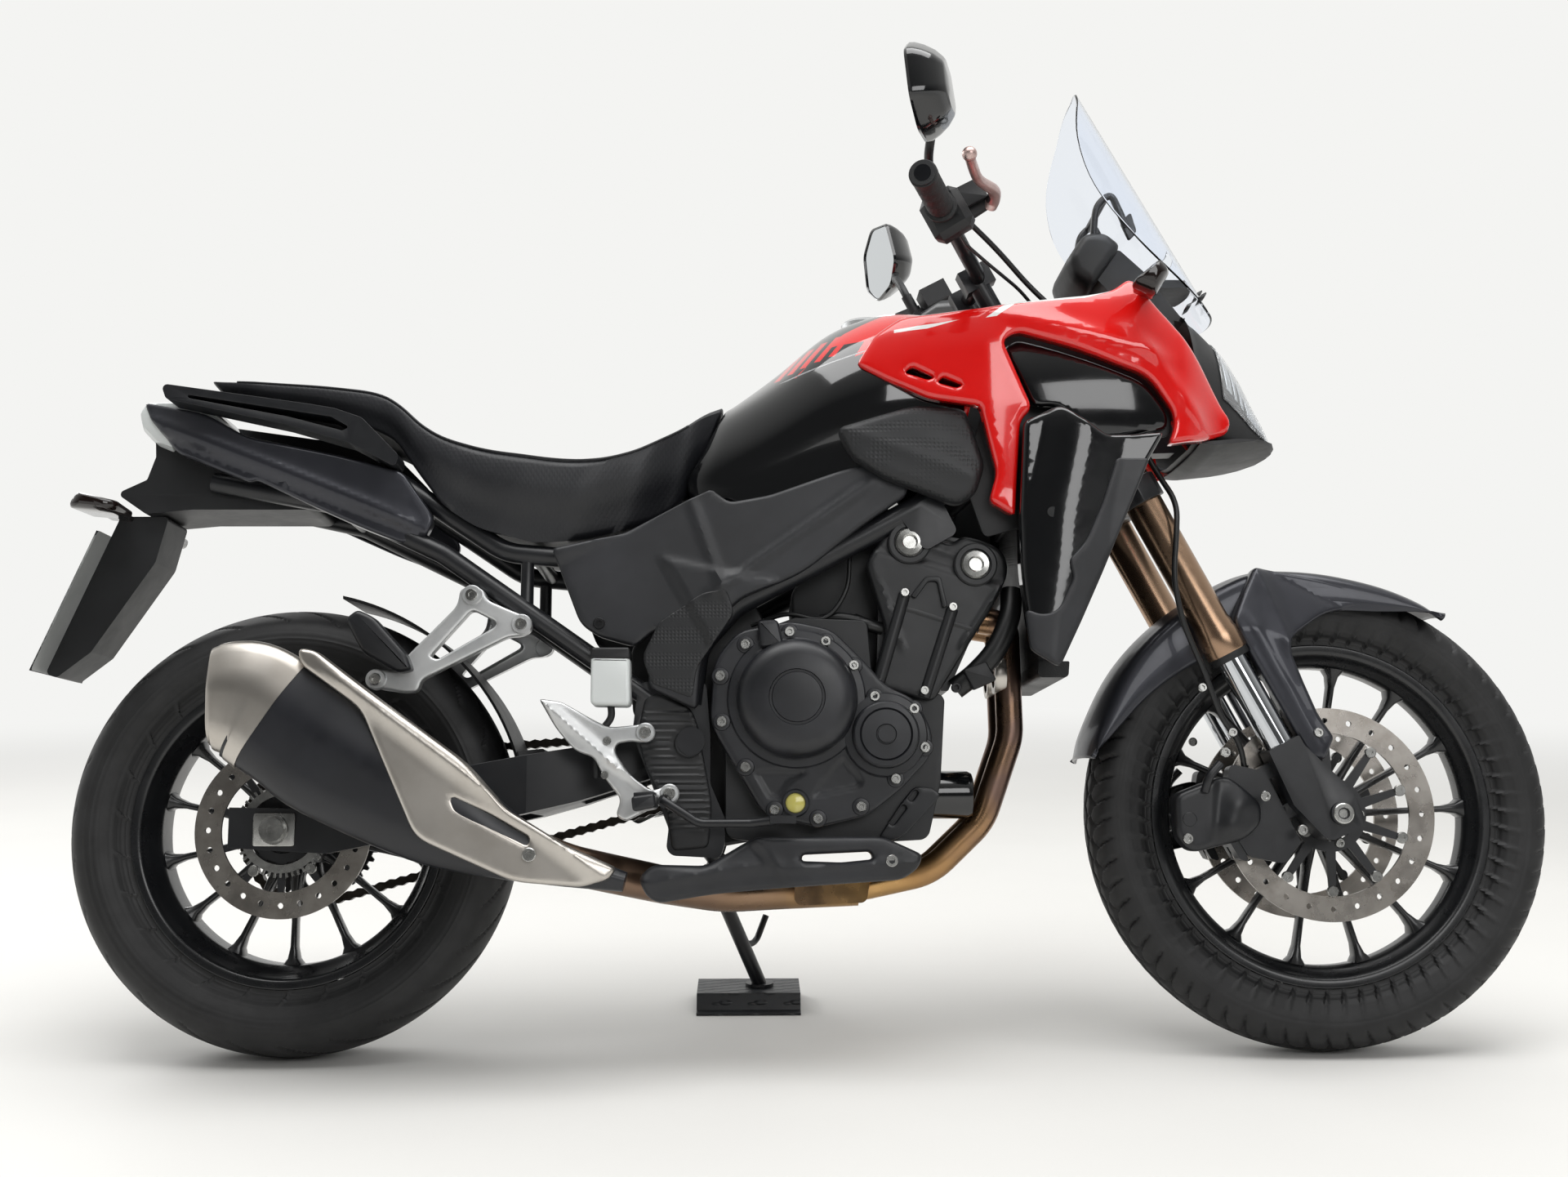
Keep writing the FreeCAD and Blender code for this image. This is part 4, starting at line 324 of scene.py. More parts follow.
        # Handling and dust make the gloss uneven over a few centimetres
        uneven = add_node(tree, "TexNoise", {"Scale": 14.0, "Detail": 4.0, "Roughness": 0.7}, {"Vector": place})
        rough = add_node(tree, "MapRange", {
            "From Min": 0.3, "From Max": 0.7, "To Min": max(0.02, self.roughness - self.unevenness),
            "To Max": min(1.0, self.roughness + self.unevenness)}, {"Value": uneven.outputs[0]})
        tree.links.new(rough.outputs[0], shader.inputs["Roughness"])
        if self.relief is not Relief.NONE:
            bump = add_node(tree, "Bump", {"Strength": 1.0, "Distance": self.depth_mm / 1000},
                            {"Height": self.heights(tree, place)})
            tree.links.new(bump.outputs[0], shader.inputs["Normal"])
        return material


# Sprayed enamel under clear coat: deep colour, sharp reflections and a faint orange peel
TANK_BLACK = Finish("enamel_black_clear_coated", "#07080a", 0.10, coat=1.0, relief_mm=5.0, depth_mm=0.004,
                    unevenness=0.03)
RACE_RED = Finish("enamel_red_clear_coated", "#d50f0c", 0.16, coat=1.0, relief_mm=5.0, depth_mm=0.004,
                  unevenness=0.04)
# Injection-moulded ABS with a spark-eroded texture: dull, with soft highlights on its edges
CHARCOAL_ABS = Finish("abs_charcoal_moulded", "#17181b", 0.46, relief_mm=0.9, depth_mm=0.03, second="#242529",
                      patch_mm=180)
MATT_ABS = Finish("abs_black_moulded", "#0c0d0f", 0.5, relief_mm=0.9, depth_mm=0.03, second="#17181a", patch_mm=140)
GLOSS_ABS = Finish("abs_black_polished", "#08090b", 0.12, coat=0.6, relief_mm=6.0, depth_mm=0.003, unevenness=0.04)
DIMPLED_ABS = Finish("abs_black_dimpled", "#141517", 0.45, relief=Relief.DIMPLES, relief_mm=5.0, depth_mm=0.35)
DIMPLED_RUBBER = Finish("rubber_pad_dimpled", "#1a1b1d", 0.5, relief=Relief.DIMPLES, relief_mm=6.0, depth_mm=0.45)
# Pigmented ABS with metallic flake, painted satin
GRAPHITE = Finish("abs_graphite_metallic", "#33343a", 0.34, metallic=0.55, coat=0.25, relief_mm=0.6, depth_mm=0.01,
                  second="#34353a", patch_mm=220)
# Vinyl pressed with a fine diamond: drawn at 3 mm so that it shows
SEAT_VINYL = Finish("vinyl_seat_cover", "#15161a", 0.47, relief=Relief.DIAMONDS, relief_mm=3.0, depth_mm=0.12,
                    second="#1b1c20", patch_mm=120)
SEAT_VINYL_PLAIN = Finish("vinyl_seat_side", "#131417", 0.5, relief_mm=1.2, depth_mm=0.05, second="#1a1b1e",
                          patch_mm=120)
# Powder coat over steel and cast aluminium
FRAME_PAINT = Finish("powder_coat_frame", "#141518", 0.36, relief_mm=2.0, depth_mm=0.02, second="#1b1c1f",
                     patch_mm=90)
ENGINE_PAINT = Finish("powder_coat_engine", "#131416", 0.42, relief_mm=1.4, depth_mm=0.06, second="#1a1b1d",
                      patch_mm=50)
COVER_PAINT = Finish("powder_coat_clutch_cover", "#17181b", 0.38, relief_mm=1.6, depth_mm=0.03, second="#232428",
                     patch_mm=70)
WHEEL_PAINT = Finish("powder_coat_wheel", "#101113", 0.28, coat=0.15, relief_mm=3.0, depth_mm=0.01, second="#17181a",
                     patch_mm=80)
CAST_BLACK = Finish("cast_aluminium_black", "#121316", 0.38, relief_mm=1.2, depth_mm=0.05, second="#1c1d20",
                    patch_mm=40)
# Anodised aluminium: the dye keeps the metal's sheen
BRONZE_ANODISED = Finish("aluminium_bronze_anodised", "#a88c74", 0.26, metallic=1.0, relief=Relief.NONE,
                         second="#9c8069", patch_mm=160, unevenness=0.04)
DARK_ANODISED = Finish("aluminium_dark_anodised", "#2a2b2e", 0.32, metallic=1.0, relief=Relief.NONE)
HARD_CHROME = Finish("hard_chrome_slider", "#c9ccd0", 0.06, metallic=1.0, relief=Relief.NONE, unevenness=0.02)
CAST_ALUMINIUM = Finish("cast_aluminium_clear", "#cfd0d0", 0.38, metallic=0.8, relief_mm=0.9, depth_mm=0.03,
                        second="#c0c2c3", patch_mm=60)
ZINC_STEEL = Finish("steel_zinc_plated", "#b9b9b6", 0.25, metallic=1.0, relief_mm=1.0, depth_mm=0.01,
                    second="#9a9a97", patch_mm=20)
# Stainless sheet, brushed along its length
BRUSHED_STAINLESS = Finish("stainless_brushed", "#c3beb7", 0.33, metallic=1.0, relief=Relief.BRUSHED, relief_mm=0.7,
                           depth_mm=0.004, unevenness=0.02, second="#bab4ac", patch_mm=90,
                           brush_scale=(0.05, 1.0, 1.0))
MUFFLER_PAINT = Finish("heat_paint_muffler", "#191a1e", 0.33, relief_mm=1.2, depth_mm=0.015, second="#202126",
                       patch_mm=120)
DISC_STEEL = Finish("stainless_disc_ground_rear", "#a9a49e", 0.28, metallic=1.0, relief=Relief.TURNED, relief_mm=1.1,
                    depth_mm=0.01, second="#938d86", patch_mm=40, centre=(0.0, 0.0, STANCE.rear_radius))
FRONT_DISC_STEEL = Finish("stainless_disc_ground_front", "#aaa59f", 0.28, metallic=1.0, relief=Relief.TURNED,
                          relief_mm=1.1, depth_mm=0.01, second="#958f88", patch_mm=40,
                          centre=(STANCE.wheelbase, 0.0, STANCE.front_radius))
CHAIN_STEEL = Finish("chain_steel_oiled", "#3c3833", 0.35, metallic=0.85, relief_mm=1.0, depth_mm=0.03,
                     second="#27241f", patch_mm=15)
TOOL_STEEL = Finish("steel_dark_phosphated", "#2c2c2d", 0.4, metallic=0.8, relief_mm=1.0, depth_mm=0.02)
# Tyre rubber: a dull black that dust greys a little
TYRE_RUBBER = Finish("rubber_tyre", "#101011", 0.6, relief_mm=1.6, depth_mm=0.05, second="#1e1e1f", patch_mm=50)
SOFT_RUBBER = Finish("rubber_grip", "#0f1011", 0.55, relief=Relief.DIAMONDS, relief_mm=2.6, depth_mm=0.2)
HOSE_RUBBER = Finish("rubber_hose", "#0d0e0f", 0.42, relief_mm=1.2, depth_mm=0.02)
# Clear polycarbonate and lamp lenses
CLEAR_SCREEN = Finish("polycarbonate_clear", "#f4f8ff", 0.03, ior=1.2, relief=Relief.NONE, see_through=1.0,
                      unevenness=0.01)
LAMP_LENS = Finish("polycarbonate_lamp_lens", "#f2f4f6", 0.05, ior=1.45, relief=Relief.NONE, see_through=0.9,
                   unevenness=0.02)
SMOKED_LENS = Finish("acrylic_indicator_smoked", "#140a08", 0.14, ior=1.45, coat=0.5, relief=Relief.NONE)
OIL_GLASS = Finish("glass_oil_window", "#c9c06a", 0.12, ior=1.45, coat=0.5, relief=Relief.NONE)
MIRROR_GLASS = Finish("glass_mirror_silvered", "#dfe3e6", 0.02, metallic=1.0, relief=Relief.NONE, unevenness=0.005)
MILKY_PLASTIC = Finish("polyethylene_reservoir", "#dfe3e2", 0.35, ior=1.5, relief=Relief.NONE, coat=0.2,
                       see_through=0.15)
PLATE_BLANK = Finish("plate_blank_sheet", "#a4a6a5", 0.35, relief_mm=2.0, depth_mm=0.01, second="#9a9c9b",
                     patch_mm=60)
BLOCK_PLATE = Finish("chequer_plate_painted", "#17191c", 0.42, relief=Relief.TREAD_PLATE, relief_mm=14.0,
                     depth_mm=1.2, second="#23262a", patch_mm=40)
RADIATOR_CORE = Finish("aluminium_radiator_black", "#0e0f10", 0.5, metallic=0.3, relief=Relief.BRUSHED,
                       relief_mm=2.2, depth_mm=0.6, brush_scale=(1.0, 0.02, 1.0))
# Bare aluminium levers: the rosy tint of both colours is a painted reflection of the red bodywork
LEVER_ALUMINIUM_PAINTED_REFLECTION = Finish("aluminium_lever_painted_red_reflection", "#d2bab5", 0.36, metallic=0.85, relief=Relief.NONE,
                         second="#b59a94", patch_mm=40)


@dataclass(frozen=True)
class HeatedSteel:
    """Stainless header pipe coloured by heat: straw near the head, bronze at the bends, brown at the collector."""

    name: str = "stainless_header_heat_tinted"
    stops: tuple[tuple[float, str], ...] = (
        (0.0, "#8a7260"), (0.30, "#94795f"), (0.52, "#c09a66"), (0.74, "#b08a5c"), (1.0, "#7c665c"))
    near_x: float = 560.0
    far_x: float = 1010.0

    def make(self) -> bpy.types.Material:
        """Builds the material: the tint follows X, wavered by noise, over a glossy metal.

        Returns:
            The material.
        """
        known = bpy.data.materials.get(self.name)
        if known:
            return known
        material, tree, place = blank_material(self.name)
        low = STANCE.place(np.array([[self.near_x, 0.0, 0.0]]))[0][0]
        high = STANCE.place(np.array([[self.far_x, 0.0, 0.0]]))[0][0]
        across = add_node(tree, "SeparateXYZ", {}, {0: place})
        waver = add_node(tree, "TexNoise", {"Scale": 18.0, "Detail": 5.0}, {"Vector": place})
        pushed = add_node(tree, "Math", {"operation": "MULTIPLY_ADD", 1: 0.16},
                          {0: waver.outputs[0], 2: across.outputs[0]})
        share = add_node(tree, "MapRange", {"From Min": low + 0.08, "From Max": high + 0.08},
                         {"Value": pushed.outputs[0]})
        ramp = add_node(tree, "ValToRGB", {}, {0: share.outputs[0]})
        for stop, colour in self.stops[1:-1]:
            ramp.color_ramp.elements.new(stop)
        for element, (stop, colour) in zip(ramp.color_ramp.elements, self.stops):
            element.position = stop
            element.color = linear(colour)
        shader = add_node(tree, "BsdfPrincipled", {"Metallic": 1.0}, {"Base Color": ramp.outputs[0]})
        rough = add_node(tree, "MapRange", {"From Min": 0.3, "From Max": 0.7, "To Min": 0.2, "To Max": 0.42},
                         {"Value": waver.outputs[0]})
        tree.links.new(rough.outputs[0], shader.inputs["Roughness"])
        add_node(tree, "OutputMaterial", {}, {"Surface": shader.outputs[0]})
        return material


HEADER_STEEL = HeatedSteel()


# Surfaces

def faces_of_grid(rows: int, columns: int, wrap_rows: bool = False, wrap_columns: bool = False) -> Grid:
    """Quads of a grid of points stored row by row; a wrapped side joins its last line to its first.

    Args:
        rows: Lines of the grid.
        columns: Points on each line.
        wrap_rows: True joins the last line to the first.
        wrap_columns: True joins each line's end to its start.

    Returns:
        The quads' point numbers.
    """
    r = np.arange(rows if wrap_rows else rows - 1)
    c = np.arange(columns if wrap_columns else columns - 1)
    rr, cc = np.meshgrid(r, c, indexing="ij")
    up, over = (rr + 1) % rows, (cc + 1) % columns
    corners = [rr * columns + cc, up * columns + cc, up * columns + over, rr * columns + over]
    return np.stack(corners, -1).reshape(-1, 4)


def rounded(points: Rows, steps: int = 5) -> Grid:
    """A closed outline with rounded corners.

    Args:
        points: (across, up, corner radius) of each corner.
        steps: Points on each rounded corner.

    Returns:
        The outline: each corner is a quadratic curve from one side to the next, (1-t)^2 a + 2t(1-t) c + t^2 b.
    """
    data = np.asarray(points, float)
    corner, radius = data[:, :2], data[:, 2:3]
    back = np.roll(corner, 1, 0) - corner
    ahead = np.roll(corner, -1, 0) - corner
    back_length = np.linalg.norm(back, axis=1, keepdims=True)
    ahead_length = np.linalg.norm(ahead, axis=1, keepdims=True)
    reach = 0.48  # of a side at most, so that two corners' curves never meet on it
    enter = corner + back / back_length * np.minimum(radius, reach * back_length)
    leave = corner + ahead / ahead_length * np.minimum(radius, reach * ahead_length)
    t = np.linspace(0, 1, steps)[None, :, None]
    curve = (1 - t) ** 2 * enter[:, None] + 2 * t * (1 - t) * corner[:, None] + t ** 2 * leave[:, None]
    return curve.reshape(-1, 2)


def shrunk(loop: Grid, distance: float) -> Grid:
    """The closed loop moved inwards along the normals of its corners, by the distance.

    Args:
        loop: The loop's points.
        distance: How far it moves; outwards where negative.

    Returns:
        The new loop.
    """
    nxt, prv = np.roll(loop, -1, 0), np.roll(loop, 1, 0)
    area = np.sum(loop[:, 0] * nxt[:, 1] - nxt[:, 0] * loop[:, 1])
    along = nxt - prv
    length = np.maximum(np.linalg.norm(along, axis=1, keepdims=True), 1e-9)
    normal = np.stack([-along[:, 1], along[:, 0]], 1) / length * np.sign(area)
    return loop + normal * distance


def smooth_line(points: Rows, steps: int = 8) -> Grid:
    """A Catmull-Rom curve through the points: each run is the cubic that its four nearest points give.

    Args:
        points: The points it runs through.
        steps: Points on each run.

    Returns:
        The curve's points.
    """
    p = np.asarray(points, float)
    p = np.vstack([2 * p[0] - p[1], p, 2 * p[-1] - p[-2]])
    a, b, c, d = p[:-3, None], p[1:-2, None], p[2:-1, None], p[3:, None]
    t = np.linspace(0, 1, steps, endpoint=False)[None, :, None]
    curve = 0.5 * (2 * b + (c - a) * t + (2 * a - 5 * b + 4 * c - d) * t ** 2 + (3 * b - a - 3 * c + d) * t ** 3)
    return np.vstack([curve.reshape(-1, p.shape[1]), p[-2]])


@dataclass
class Solid:
    """Points in upright millimetres and faces; grows by adding further ones."""

    points: list = field(default_factory=list)
    faces: list = field(default_factory=list)
    count: int = 0

    def add(self, points: Grid, faces: Sequence) -> "Solid":
        """Adds points with the faces that use them.

        Args:
            points: The points.
            faces: Their numbers, face by face.

        Returns:
            This solid.
        """
        self.faces += [tuple(int(i) + self.count for i in face) for face in faces]
        self.points.append(np.asarray(points, float))
        self.count += len(points)
        return self

    def add_solid(self, other: "Solid") -> "Solid":
        """Adds all of another solid."""
        return self.add(np.vstack(other.points), other.faces)

    def moved(self, change: Callable[[Grid], Grid]) -> "Solid":
        """A copy whose points went through the change."""
        return Solid([change(np.vstack(self.points))], list(self.faces), self.count)

    def mirrored(self) -> "Solid":
        """A copy on the machine's other side, its faces turned to point outwards again."""
        flipped = np.vstack(self.points) * np.array([1.0, -1.0, 1.0])
        return Solid([flipped], [face[::-1] for face in self.faces], self.count)


def stack(loops: Sequence[Grid], closed_start: bool = True) -> Solid:
    """Skins closed loops of equal length, one after another, with a flat cap at each end that is closed.

    The sum of (a x b) . c over the faces tells which way they look; where it is negative all faces are turned.

    Args:
        loops: The loops, in order along the body.
        closed_start: False leaves the first end open.

    Returns:
        The skinned body, its faces outwards.
    """
    grid = np.stack(loops)
    rows, columns = grid.shape[:2]
    quads = faces_of_grid(rows, columns, wrap_columns=True)
    points = grid.reshape(-1, 3) - grid.reshape(-1, 3).mean(0)
    a, b, c, d = (points[quads[:, i]] for i in range(4))
    volume = (np.cross(a, b) * c).sum() + (np.cross(a, c) * d).sum()
    faces = [tuple(face) for face in quads]
    if closed_start:
        faces.append(tuple(range(columns)))
    faces.append(tuple(range(rows * columns - 1, (rows - 1) * columns - 1, -1)))
    if volume < 0:
        faces = [face[::-1] for face in faces]
    return Solid().add(grid.reshape(-1, 3), faces)


def slab(outline: Grid, low: float, high: float, bevel: float = 1.5, steps: int = 3) -> Solid:
    """A plate of an (x, z) outline from y low to y high; its outer edge is rounded by the bevel.

    The outline moves in by bevel (1 - cos a) while its height falls short of the face by bevel (1 - sin a).

    Args:
        outline: The outline's points.
        low: y of the plain face.
        high: y of the rounded face.
        bevel: Radius of the rounded edge.
        steps: Segments of the rounded edge.

    Returns:
        The plate.
    """
    sign = 1.0 if high > low else -1.0
    angle = np.linspace(0, math.pi / 2, steps + 1)
    levels = [(0.0, low)] + [(bevel * (1 - math.cos(a)), high - sign * bevel * (1 - math.sin(a))) for a in angle]
    return stack([np.insert(shrunk(outline, inward), 1, level, axis=1) for inward, level in levels])


def turned(profile: Rows, sides: int = 48, centre: Sequence[float] = (0, 0, 0), closed: bool = False) -> Solid:
    """A surface of revolution about the lateral axis: (radius, y) turned to (r cos a, y, r sin a).

    Args:
        profile: (radius, y) points.
        sides: Segments round the axis.
        centre: A point of the axis.
        closed: True joins the profile's end to its start.

    Returns:
        The turned surface.
    """
    data = np.asarray(profile, float)
    angle = np.linspace(0, 2 * math.pi, sides, endpoint=False)
    grid = np.stack([data[:, :1] * np.cos(angle), np.repeat(data[:, 1:], sides, 1), data[:, :1] * np.sin(angle)], -1)
    faces = faces_of_grid(len(data), sides, wrap_rows=closed, wrap_columns=True)[:, ::-1]
    return Solid().add(grid.reshape(-1, 3) + np.asarray(centre, float), faces)


def tube(path: Grid, radius: float | Grid, sides: int = 14) -> Solid:
    """A round tube along a path: a circle carried on frames that turn as little as they can.

    Args:
        path: Points of the middle line.
        radius: One radius, or one for each point.
        sides: Segments round the tube.

    Returns:
        The tube with both ends closed.
    """
    path = np.asarray(path, float)
    along = np.gradient(path, axis=0)
    along /= np.linalg.norm(along, axis=1, keepdims=True)
    oblique = [0.31, 0.22, 0.93]  # a direction that no path starts along
    side = np.cross(along[0], oblique)
    sides_out = []
    for direction in along:
        side = side - direction * side.dot(direction)
        side = side / np.linalg.norm(side)
        sides_out.append(side)
    first = np.array(sides_out)
    second = np.cross(along, first)
    angle = np.linspace(0, 2 * math.pi, sides, endpoint=False)
    wide = np.broadcast_to(np.asarray(radius, float), (len(path),))[:, None, None]
    ring = first[:, None] * np.cos(angle)[None, :, None] - second[:, None] * np.sin(angle)[None, :, None]
    grid = path[:, None] + ring * wide
    return stack(list(grid))


def edge_distance(points: Grid, rim: Grid) -> Grid:
    """Distance of each 2-D point to the nearest of the closed rim's segments, worked out as one array.

    Args:
        points: The points.
        rim: The closed rim.

    Returns:
        A distance for each point.
    """
    a, b = rim, np.roll(rim, -1, 0)
    d = b - a
    length = np.maximum((d ** 2).sum(1), 1e-9)
    best = np.full(len(points), 1e9)
    batch = 4000  # points at a time, to keep the arrays small
    for start in range(0, len(points), batch):
        block = points[start:start + batch]
        share = np.clip(((block[:, None] - a[None]) * d[None]).sum(-1) / length[None], 0, 1)
        off = block[:, None] - a[None] - share[..., None] * d[None]
        best[start:start + batch] = np.linalg.norm(off, axis=-1).min(1)
    return best


def resample(points: Rows, count: int, soft: float = 6.0) -> Grid:
    """An open line through the points, its corners softened, with points spaced evenly along it.

    Each inner corner is replaced by the quadratic curve between points up to `soft` away on both its sides.

    Args:
        points: Corners of the line.
        count: How many points come out.
        soft: Reach of the softened corners.

    Returns:
        The evenly spaced points.
    """
    p = np.asarray(points, float)
    pieces = [p[:1]]
    t = np.linspace(0, 1, 6)[:, None]
    for before, corner, after in zip(p, p[1:], p[2:]):
        back, ahead = before - corner, after - corner
        enter = corner + back * min(0.45, soft / np.linalg.norm(back))
        leave = corner + ahead * min(0.45, soft / np.linalg.norm(ahead))
        pieces.append((1 - t) ** 2 * enter + 2 * t * (1 - t) * corner + t ** 2 * leave)
    line = np.vstack(pieces + [p[-1:]])
    gone = np.concatenate([[0], np.cumsum(np.linalg.norm(np.diff(line, axis=0), axis=1))])
    at = np.linspace(0, gone[-1], count)
    return np.stack([np.interp(at, gone, line[:, i]) for i in range(line.shape[1])], 1)


def screws(places: Rows, radius: float = 6.0, tall: float = 5.0) -> Solid:
    """Socket cap screws on the right side's faces, each a turned head with a hexagonal socket.

    Args:
        places: Middle of each head's foot.
        radius: Radius of the heads.
        tall: Their height.

    Returns:
        All heads in one solid.
    """
    whole = Solid()
    sides = 24
    angle = np.linspace(0, 2 * math.pi, sides, endpoint=False)
    hexagon = 0.87 / np.cos((angle + math.pi / 6) % (math.pi / 3) - math.pi / 6)
    circle, socket = np.ones(sides), SOCKET_SHARE * hexagon
    loops = []
    for shape, level in ((circle, 0.0), (circle, tall - 1.0), (0.88 * circle, tall), (socket, tall),
                         (socket, tall * 0.4)):
        reach = radius * shape
        loops.append(np.stack([reach * np.cos(angle), np.full(sides, -level), reach * np.sin(angle)], -1))
    head = stack(loops, closed_start=False)
    for place in places:
        whole.add(np.vstack(head.points) + np.asarray(place, float), head.faces)
    return whole


# Putting pieces into the scene

def linked(name: str, data: bpy.types.ID) -> bpy.types.Object:
    """A new object of a mesh, lamp or camera, linked to the scene.

    Args:
        name: The object's name.
        data: What it shows.

    Returns:
        The object.
    """
    thing = bpy.data.objects.new(name, data)
    bpy.context.scene.collection.objects.link(thing)
    return thing


def show(name: str, solid: Solid, finish: "Finish | HeatedSteel | Painted", body: Body = Body.CHASSIS,
         sharp: float = 40.0, thick: float = 0.0) -> bpy.types.Object:
    """Makes the Blender object of a solid.

    Args:
        name: The piece's name.
        solid: Its surface, in upright millimetres.
        finish: A Finish, or another class with a make method.
        body: The moving body that it rides on.
        sharp: Edges sharper than this many degrees stay sharp.
        thick: Wall thickness in millimetres, added inwards.

    Returns:
        The object, at the origin.
    """
    points = STANCE.place(np.vstack(solid.points))
    mesh = bpy.data.meshes.new(name)
    mesh.from_pydata(points, [], solid.faces)
    mesh.validate()
    mesh.update()
    piece = linked(name, mesh)
    mesh.materials.append(finish.make())
    mesh.shade_smooth()
    mesh.set_sharp_from_angle(angle=math.radians(sharp))
    if thick:
        wall = piece.modifiers.new("wall", "SOLIDIFY")
        wall.thickness = thick / 1000
        wall.offset = -1.0
    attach(piece, body.value)
    LOG.info("%s: %d points on %s", name, len(points), body.value)
    return piece


def scaled_loops(view: Grid, levels: Rows) -> list[Grid]:
    """Loops of an (x, z) side view, one for each (y, share, push ahead): scaled about its middle, then pushed.

    Args:
        view: The side view.
        levels: The rows of (y, share, push).

    Returns:
        The loops, in the rows' order.
    """
    middle = view.mean(0)
    return [np.insert(middle + (view - middle) * share + np.array([push, 0.0]), 1, float(y), axis=1)
            for y, share, push in levels]


def round_over(half: list[tuple[float, float, float]]) -> list[tuple[float, float, float]]:
    """A line of points up the right side, carried on down the left side as its mirror image."""
    return half + [(x, -y, z) for x, y, z in reversed(half)]


def hose(points: Rows, steps: int, radius: float, sides: int) -> Solid:
    """A round tube along the smooth line through the points."""
    return tube(smooth_line(points, steps), radius, sides)


def both(solid: Solid) -> Solid:
    """The solid with its mirror image on the machine's other side."""
    return Solid().add_solid(solid).add_solid(solid.mirrored())


# Moulded panels: the half width y as a function of x and z inside an outline

def even(loop: Grid, spacing: float) -> Grid:
    """The closed loop with points spaced evenly along it, about the spacing apart.

    Args:
        loop: The loop.
        spacing: The distance wanted.

    Returns:
        The evenly spaced loop.
    """
    ring = np.vstack([loop, loop[:1]])
    gone = np.concatenate([[0], np.cumsum(np.linalg.norm(np.diff(ring, axis=0), axis=1))])
    at = np.linspace(0, gone[-1], max(8, int(gone[-1] / spacing)), endpoint=False)
    return np.stack([np.interp(at, gone, ring[:, i]) for i in (0, 1)], 1)


def wound(loop: Grid, turn: int) -> Grid:
    """The loop anticlockwise for a turn of 1 and clockwise for -1, told by the sign of its area.

    Args:
        loop: The loop.
        turn: 1 or -1.

    Returns:
        The loop, reversed where it has to be.
    """
    ahead = np.roll(loop, -1, 0)
    area = np.sum(loop[:, 0] * ahead[:, 1] - ahead[:, 0] * loop[:, 1])
    return loop if area * turn > 0 else loop[::-1]


def inside(points: Grid, loop: Grid) -> Grid:
    """True for each point that an odd number of the loop's sides pass on its right.

    Args:
        points: The points.
        loop: The closed loop.

    Returns:
        A truth value for each point.
    """
    a, b = loop, np.roll(loop, -1, 0)
    px, pz = points[:, 0, None], points[:, 1, None]
    crosses = (a[None, :, 1] > pz) != (b[None, :, 1] > pz)
    rise = np.where(np.abs(b[:, 1] - a[:, 1]) < 1e-9, 1e-9, b[:, 1] - a[:, 1])
    reach = a[None, :, 0] + (pz - a[None, :, 1]) / rise[None] * (b[None, :, 0] - a[None, :, 0])
    return (crosses & (px < reach)).sum(1) % 2 == 1


